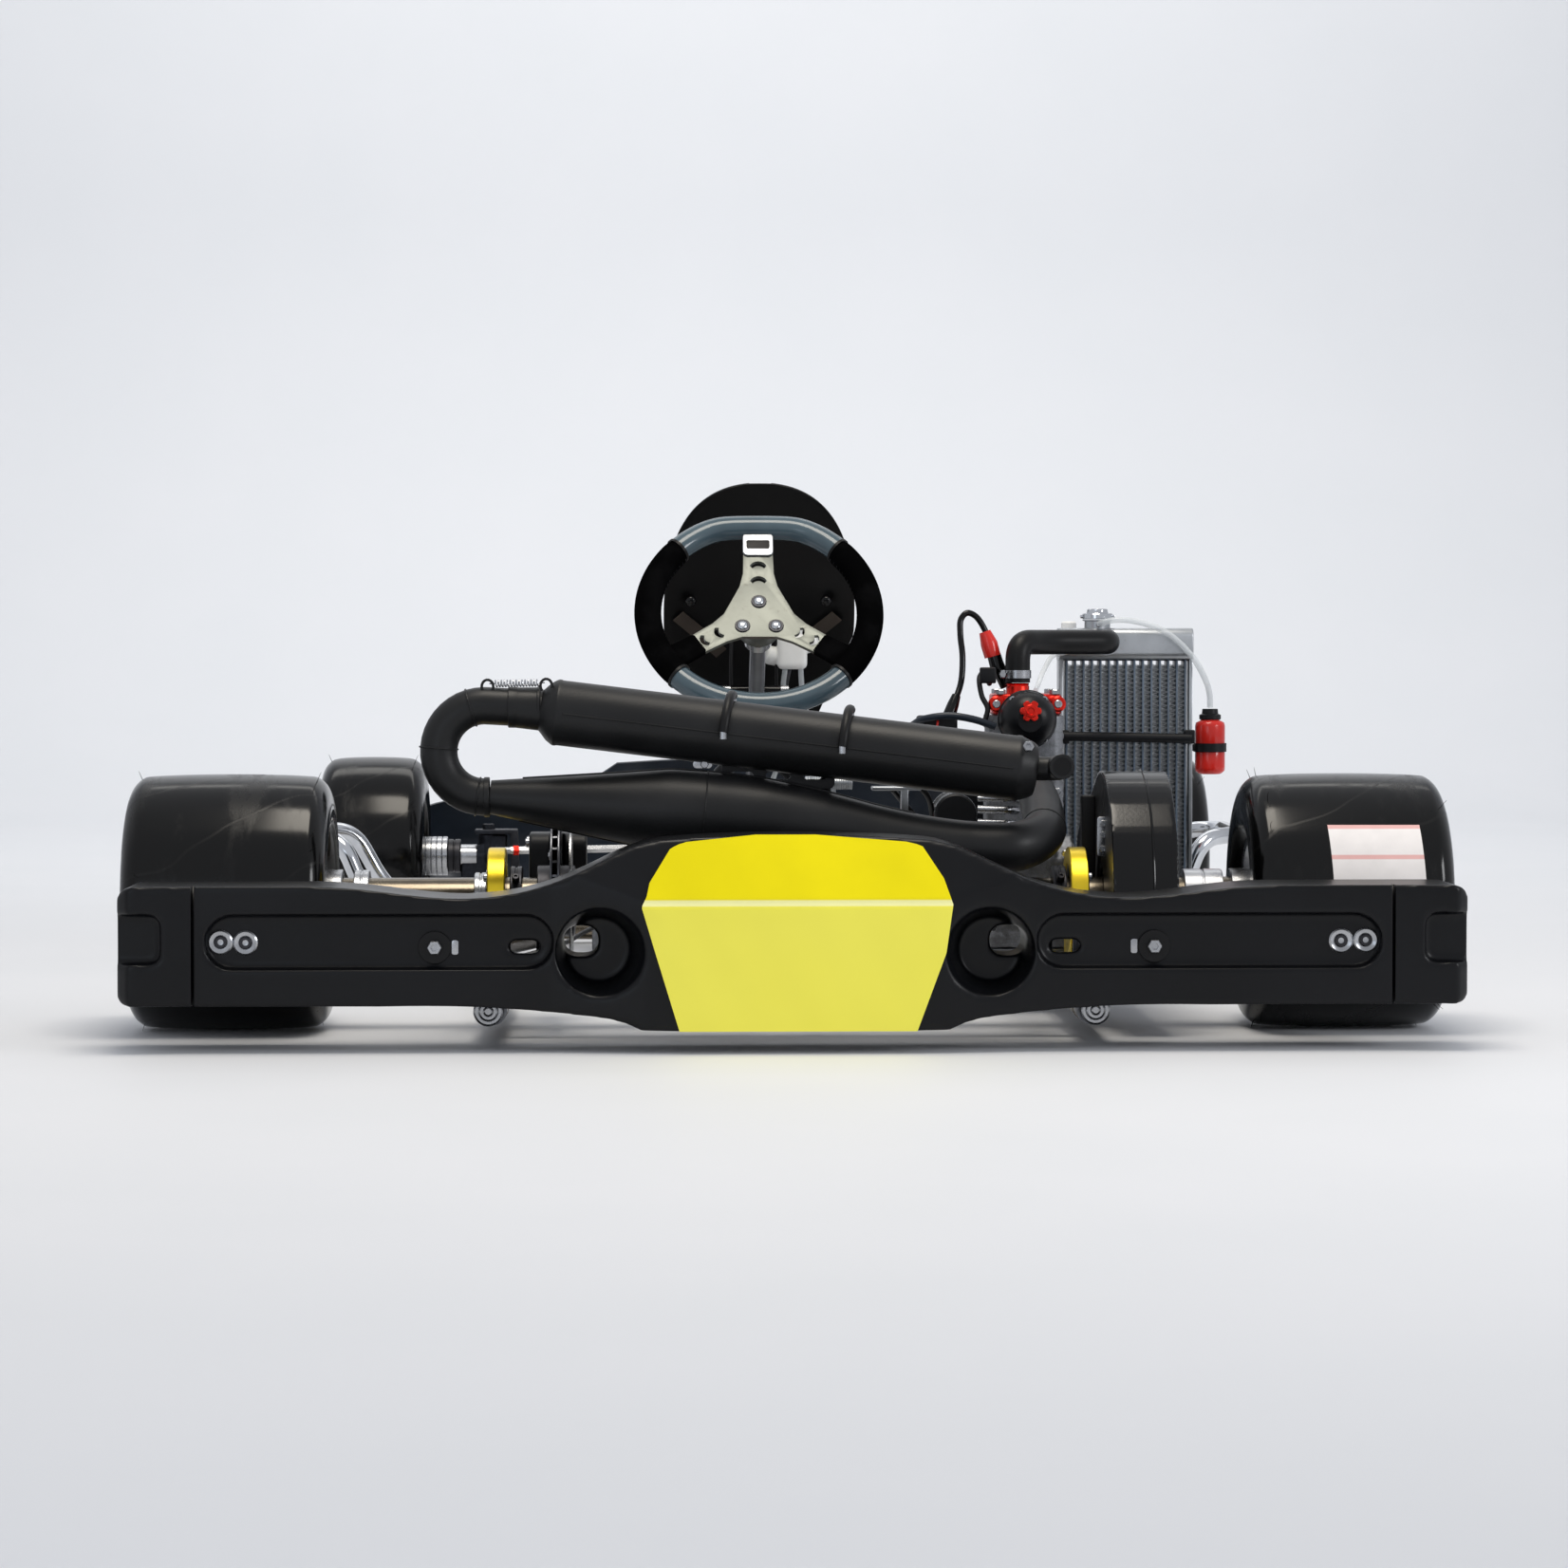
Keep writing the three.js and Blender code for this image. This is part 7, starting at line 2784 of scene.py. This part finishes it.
    def _behind(self) -> None:
        """The brake fluid reservoir, its hoses, and the dark cross tube under the wheel."""
        body = Form.block("tank", (14, 268, 376), (52, 302, 420), 7.0, 4)
        lobes = [Form.turned("lobe", [(0, -4), (11, -4), (12, 0), (12, 12), (9, 15), (0, 15)], 36, "Z")
                 for _ in range(3)]
        Form.moved(lobes[0], facing((33, 285, 420), (0.25, -0.3, 1)))
        Form.moved(lobes[1], facing((52, 285, 408), (1, -0.2, 0.35)))
        Form.moved(lobes[2], facing((14, 285, 392), (-1, -0.2, 0.2)))
        reservoir = Form.joined("reservoir", [body, *lobes])
        Form.soften(reservoir, 1.3, 3)
        deliver(reservoir, "chassis", Finishes.reservoir)
        lines = [smooth([(24, 282, 376), (22, 286, 350), (30, 292, 320), (24, 296, 280), (8, 300, 232)], 8),
                 smooth([(44, 282, 378), (46, 288, 350), (52, 294, 320), (60, 300, 280), (60, 320, 228)],
                        8)]
        fit("reservoir_hoses", [Form.tube("line", line, 3.4, 14) for line in lines], Finishes.clear)
        stay = Form.tube("reservoir_stay",
                         bent([(33, 300, 398), (33, 312, 396), (14, 306, 300), (8, 300, 262)], 12), 4.0, 14)
        deliver(stay, "chassis", Finishes.dark_bolt)
        cross = Form.tube("cross", np.array([(-45, 262, 349), (17, 262, 349)], float), 6.4, 28)
        upright = Form.plate("upright",
                             [(-26, 246), (-2, 246), (-2, 336), (-6, 344), (-22, 344), (-26, 336)], 276,
                             282, "Y", 1.5)
        fit("column_bracket", [cross, upright], Finishes.gloss)
        ends = [Form.turned("end", [(0, x - 5), (6.9, x - 5), (6.9, x + 5), (0, x + 5)], 28, "X",
                            (0, 262, 349))
                for x in (-51, 23)]
        fit("cross_tube_ends", ends, Finishes.zinc)
        thin = [smooth([(x, 286, 420), (x - 1, 280, 380), (x, 284, 330), (x + 2, 296, 262)], 8)
                for x in (-44, 14)]
        fit("panel_cables", [Form.tube("line", line, 2.2, 12) for line in thin], Finishes.hose)


# ------------------------------------------------------------------ front end

@dataclass
class FrontEnd:
    """Nose fairing, knuckles, tie rods, pedals, master cylinder and tank."""

    kingpin: Point = (360.0, 445.0, 130.0)

    def build(self) -> None:
        """Builds and delivers every piece."""
        self._nose()
        for name, side in SIDES.items():
            self._knuckle(name, side)
            self._tie_rod(name, side)
        self._pedals()
        self._master_cylinder()
        self._tank()

    def _nose(self) -> None:
        """The wide nose fairing: one section swept along a bowed line."""
        line = smooth([(-548, 698, 0), (-478, 803, 0), (-300, 865, 0), (0, 883, 0), (300, 865, 0),
                       (478, 803, 0),
                       (548, 698, 0)], 14)
        outside = bezier((-34, 50), (-14, 50), (2, 52), (9, 80),
                         8) + bezier((9, 80), (13, 100), (14, 128), (4, 152), 10)[1:]
        outside += bezier((4, 152), (-6, 178), (-34, 220), (-52, 245.5), 12)[1:]
        inside = [(out - 4.2 * (1 if up > 60 else 0.6), up + (5.0 if up < 60 else -1.5)) for out,
                  up in outside]
        section = np.array(outside + inside[::-1])
        tangents = np.gradient(line, axis=0)
        tangents /= np.linalg.norm(tangents, axis=1)[:, None]
        rings = []
        for point, tangent in zip(line, tangents):
            outward = np.array([-tangent[1], tangent[0], 0.0])
            crown = float(np.interp(abs(point[0]), (0, 120, 205, 246, 430, 548),
                                    (1.0, 1.0, 0.975, 0.80, 0.745, 0.66)))
            up = np.where(section[:, 1:] > 90, 90 + (section[:, 1:] - 90) * (crown * 200 - 46) / 154,
                          section[:, 1:])
            rings.append(point + section[:, :1] * outward + up * np.array([0.0, 0.0, 1.0]))
        deliver(Form.lattice("nose_fairing", np.array(rings)), "chassis", Finishes.nose, "front_fairing")
        pads = [Form.block("pad", (x - 30, 792, 100), (x + 30, 822, 104), 1.5) for x in (-90, 90)]
        fit("nose_pads", pads, Finishes.hose)

    def _knuckle(self, name: str, side: int) -> None:
        """The stub axle: barrel, steering arm, spindle, and its bright spacers.

        Args:
            name: the piece's name.
            side: -1 on the left, 1 on the right.
        """
        x0, y, z = side * self.kingpin[0], self.kingpin[1], self.kingpin[2]
        body = f"knuckle_{name}"

        def along(profile: Sequence[Point], segments: int = 56) -> Piece:
            """Turned on the spindle line, measured outwards from the kingpin."""
            return Form.turned("turned", [(r, x0 + side * x) for r, x in profile], segments, "X", (0, y, z),
                               24.0)

        barrel = Form.turned("barrel",
                             [(0, 101.4), (12, 101.4), (13, 102.4), (13, 157.6), (12, 158.6), (0, 158.6)],
                             48, "Z",
                             (x0, y, 0))
        arm = Form.tube("arm", np.array([(x0, y, z - 3), (x0 - side * 15, y - 85, z - 3)], float), 7, 24)
        eye = Form.turned("eye",
                          [(0, z - 8), (10, z - 8), (11, z - 7), (11, z + 1), (10, z + 2), (0, z + 2)], 36,
                          "Z",
                          (x0 - side * 15, y - 85, 0))
        spindle = along([(0, 5), (11.5, 5), (12.5, 6), (12.5, 211), (11.5, 212), (0, 212)])
        wedge = Form.plate("wedge",
                           [(x0 - side * 24, z - 28), (x0 + side * 36, z - 28), (x0 + side * 36, z - 4),
                                     (x0 - side * 6, z + 28), (x0 - side * 24, z + 28)], y - 12, y + 12,
                                     "Y", 2.5)
        deliver(Form.joined(f"knuckle_look_{name}", [barrel, arm, eye, spindle, wedge]), body,
                Finishes.forging, body)
        stub = along([(12.6, 15), (14.4, 15), (15, 15.6), (15, 36), (12.6, 36)])
        rings: Outline = [(12.6, 53.2)]
        for number in range(6):
            start = 53.2 + number * 7.1
            rings += [(24.7, start), (25.5, start + 0.7), (25.5, start + 6.0), (24.7, start + 6.7),
                      (23.8, start + 6.9)]
        rings.append((12.6, 95.8))
        nut = along([(12.6, 206), (17, 206), (17, 211), (16, 212), (12.6, 212)], 6)
        deliver(Form.joined(f"spindle_spacers_{name}", [stub, along(rings), nut]), body, Finishes.turned)
        collar = along([(12.6, 36.2), (21, 36.2), (22, 37.2), (22, 43.5), (20.6, 44.4), (20.6, 45.4),
                        (22, 46.2), (22, 52),
                        (21, 53), (12.6, 53)])
        deliver(collar, body, Finishes.dark_bolt)
        pin = bolt(f"arm_pin_{name}", (x0 - side * 15, y - 85, z + 2), (0, 0, 1), 5, 4, 6)
        deliver(pin, body, Finishes.zinc)

    def _tie_rod(self, name: str, side: int) -> None:
        """The hexagonal tie rod with its lock nuts and red end.

        Args:
            name: the piece's name.
            side: -1 on the left, 1 on the right.
        """
        start = np.array([side * (360 - 15), 445 - 85, 130 + 11], float)
        pin = np.array([-14 + side * 12, 439.7, 142.4], float)
        along = (pin - start) / np.linalg.norm(pin - start)
        end = pin - along * 42
        rod = Form.tube("rod", np.array([start + along * 16, end]), 5.5, 6)
        head = Form.turned("head", [(0, -4.4), (9, -4.4), (10, -3.4), (10, 3.4), (9, 4.4), (0, 4.4)], 36,
                           "Z",
                           tuple(float(c) for c in start))
        neck = Form.tube("neck", np.array([start + along * 6, start + along * 22]), 4.4, 20)
        deliver(Form.joined(f"tie_rod_look_{name}", [rod, head, neck]), f"tie_rod_{name}", Finishes.turned,
                f"tie_rod_{name}")
        cuffs = [Form.tube("cuff", np.array([start + along * a, start + along * (a + 7)]), 7.0, 6)
                 for a in (20,)]
        deliver(Form.joined(f"tie_rod_nut_{name}", cuffs), f"tie_rod_{name}", Finishes.red)

    def _pedals(self) -> None:
        """Both pedals: pivot barrel, arm and knurled foot bar."""
        for body, side in (("brake_pedal", -1), ("throttle_pedal", 1)):
            x, y, z = side * 96, 612.0, 62.0
            barrel = Form.turned("barrel",
                                 [(0, x - 16), (8.4, x - 16), (9, x - 15.4), (9, x + 15.4), (8.4, x + 16),
                                  (0, x + 16)],
                                 36, "X", (0, y, z))
            arm = Form.tube("arm", bent([(x, y, z), (x, y - 6, z + 70), (x, y - 22, z + 158)], 40), 6, 20)
            low, high = sorted((x + side * -36, x + side * 28))
            profile: Outline = [(0.0, low), (8.0, low)]
            for step in np.arange(low + 1.5, high - 1.5, 3.0):
                profile += [(9.0, step), (9.0, step + 1.9), (8.3, step + 2.3)]
            profile += [(8.0, high), (0.0, high)]
            bar = Form.turned("foot_bar", profile, 36, "X", (0, y - 22, z + 158))
            deliver(Form.joined(f"{body}_look", [barrel, arm, bar]), body, Finishes.satin, body)

    def _master_cylinder(self) -> None:
        """The brake master cylinder on its foot, with its push rod."""
        body = Form.turned("cylinder",
                           [(0, 250), (11, 250), (13, 253), (13, 290), (12, 292), (12, 298), (13, 300),
                            (13, 343),
                                        (11.6, 345), (0, 345)], 48, "Y")
        Form.moved(body, put((-205, 0, 56)))
        foot = Form.block("foot", (-222, 262, 18.4), (-188, 334, 50), 3.0)
        joined = Form.joined("master_cylinder_look", [body, foot])
        deliver(joined, "chassis", Finishes.casting, "brake_master_cylinder")
        rod = Form.tube("brake_rod",
                        bent([(-205, 346, 56), (-200, 400, 62), (-130, 470, 80), (-112, 590, 96)], 30), 3.0,
                        14)
        deliver(rod, "chassis", Finishes.zinc)

    def _tank(self) -> None:
        """The milky fuel tank between the rails, its neck, and its red cap."""
        side = [(59, 18.3), (285, 18.3), (285, 150), (250, 172), (80, 172), (59, 156)]
        tank = Form.prism("tank", side, -110, 90, "X")
        Form.boolean(tank, Form.prism("plan", round_rect(-10, 172, 200, 226, 34, 8), 0, 200, "Z"),
                     "INTERSECT")
        neck = Form.turned("neck", [(0, 160), (24, 160), (24, 178), (22, 178), (22, 180), (0, 180)], 56,
                           "Z", (-10, 128, 0))
        Form.boolean(tank, neck, "UNION")
        for x in (-60, 40):
            Form.boolean(tank, Form.block("waist", (x - 6, 40, 166), (x + 6, 300, 200), 2.0), "DIFFERENCE")
        Form.soften(tank, 2.4, 4)
        deliver(tank, "chassis", Finishes.tank, "fuel_tank")
        profile = [(0, 0.4), (28, 0.4), (29, 1.4), (29, 15), (27, 18), (24, 20), (0, 20)]
        cap = Form.turned("cap", profile, 60, "Z")
        rib = Form.block("rib", (28.6, -1.2, 2), (29.9, 1.2, 15), 0.4, 1)
        ribs = repeater(Pattern.RING).run("cap_ribs", rib, Finishes.red_plastic, 24, 0.0)
        look = Form.moved(Form.joined("fuel_cap_look", [cap, ribs]), put((-10, 128, 180)))
        deliver(look, "fuel_cap", Finishes.red_plastic, "fuel_cap")
        line = smooth([(60, 250, 150), (120, 262, 120), (170, 200, 70), (240, 60, 60), (290, -80, 90),
                       (280, -200, 160),
                       (262, -236, 182), (260, -250, 190)], 8)
        deliver(Form.tube("fuel_line", line, 3.4, 14), "chassis", Finishes.clear)


# ------------------------------------------------------------------ stage

@dataclass
class Stage:
    """Floor, lights, sky and camera."""

    floor_size: float = 14.0
    lens: float = 98.76

    def build(self) -> None:
        """Sets everything that isn't the kart."""
        self._floor()
        self._sky()
        self._lights()
        self._camera()
        bpy.context.scene.view_settings.view_transform = "Standard"

    def _floor(self) -> None:
        """A pale seamless sweep under and behind the kart."""
        half = self.floor_size / 2 * 1000
        profile = [(-half, -0.4), (half * 0.6, -0.4)]
        profile += [(half * 0.6 + 1500 * math.sin(a), 1500 * (1 - math.cos(a)) - 0.4)
                    for a in np.linspace(0, 1.57, 24)[1:]]
        profile.append((half * 0.6 + 1500, 6000.0))
        points = [(x, y, z) for x in (-half, half) for y, z in profile]
        count = len(profile)
        faces = [[i, i + 1, count + i + 1, count + i] for i in range(count - 1)]
        sweep = Form.mesh("studio_sweep", points, faces)
        tree = MaterialTree("studio_paper")
        paper = tree.noise(3.0, 4.0)
        tree.wire("Base Color", tree.mix(paper, (0.70, 0.72, 0.75), (0.74, 0.75, 0.78)))
        tree.wire("Roughness", paper * 0.1 + 0.6)
        tree.bump(paper, 0.0004, 0.2)
        sweep.data.materials.append(tree.material)

    @staticmethod
    def _sky() -> None:
        """An even bright studio surround."""
        world = bpy.data.worlds.new("studio")
        world.use_nodes = True
        back = world.node_tree.nodes["Background"]
        back.inputs["Color"].default_value = (0.93, 0.95, 1.0, 1.0)
        back.inputs["Strength"].default_value = 0.62
        bpy.context.scene.world = world

    @staticmethod
    def _lights() -> None:
        """A warm top panel, a cool rear panel low down, a slim side light and a light on the backdrop."""
        panels = {
            "top": ((0.0, -1.0, 3.0), (0.0, -0.5, 0.1), 1.3, 52.0, (1.0, 0.93, 0.82)),
            "rear": ((-1.6, -4.6, 0.9), (0.0, -0.6, 0.15), 1.2, 7.0, (0.78, 0.88, 1.0)),
            "side": ((3.0, -2.4, 1.4), (0.3, -0.5, 0.2), 0.9, 30.0, (0.97, 0.98, 1.0)),
            "backdrop": ((0.0, 3.0, 4.2), (0.0, 5.6, 1.4), 4.0, 110.0, (1.0, 0.98, 0.93)),
        }
        for name, (place, target, size, power, colour) in panels.items():
            light = bpy.data.lights.new(f"{name}_panel", "AREA")
            light.shape = "SQUARE"
            light.size = size
            light.energy = power
            light.color = colour
            lamp = bpy.data.objects.new(f"{name}_panel", light)
            lamp.location = place
            lamp.rotation_euler = (Vector(target) - Vector(place)).to_track_quat("-Z", "Y").to_euler()
            bpy.context.scene.collection.objects.link(lamp)

    def _camera(self) -> None:
        """The view from straight behind, a little above the axle."""
        data = bpy.data.cameras.new("rear_view")
        data.lens = self.lens
        data.sensor_width = 36.0
        camera = bpy.data.objects.new("rear_view", data)
        camera.location = (-0.14, -5.2, 0.424)
        camera.rotation_euler = (math.radians(90.0 - 2.03), 0.0, math.radians(-1.7))
        bpy.context.scene.collection.objects.link(camera)
        bpy.context.scene.camera = camera


def main() -> None:
    """Builds the kart, then the stage."""
    wheels = [
        Wheel(Corner.REAR_LEFT, 485, 700, 136, -600, 136),
        Wheel(Corner.REAR_RIGHT, 485, 700, 136, -600, 136),
        Wheel(Corner.FRONT_LEFT, 440, 577, 130, 445, 130),
        Wheel(Corner.FRONT_RIGHT, 440, 577, 130, 445, 130),
    ]
    assemblies = [
        RearBumper(), TubeFrame(), RearAxle(), Exhaust(), Engine(), Electrics(), Cooling(), Steering(),
        FrontEnd(), *wheels, TyreLabel(), Stage(),
    ]
    for assembly in assemblies:
        LOG.info("-- %s", type(assembly).__name__)
        assembly.build()


if __name__ == "__main__":
    main()
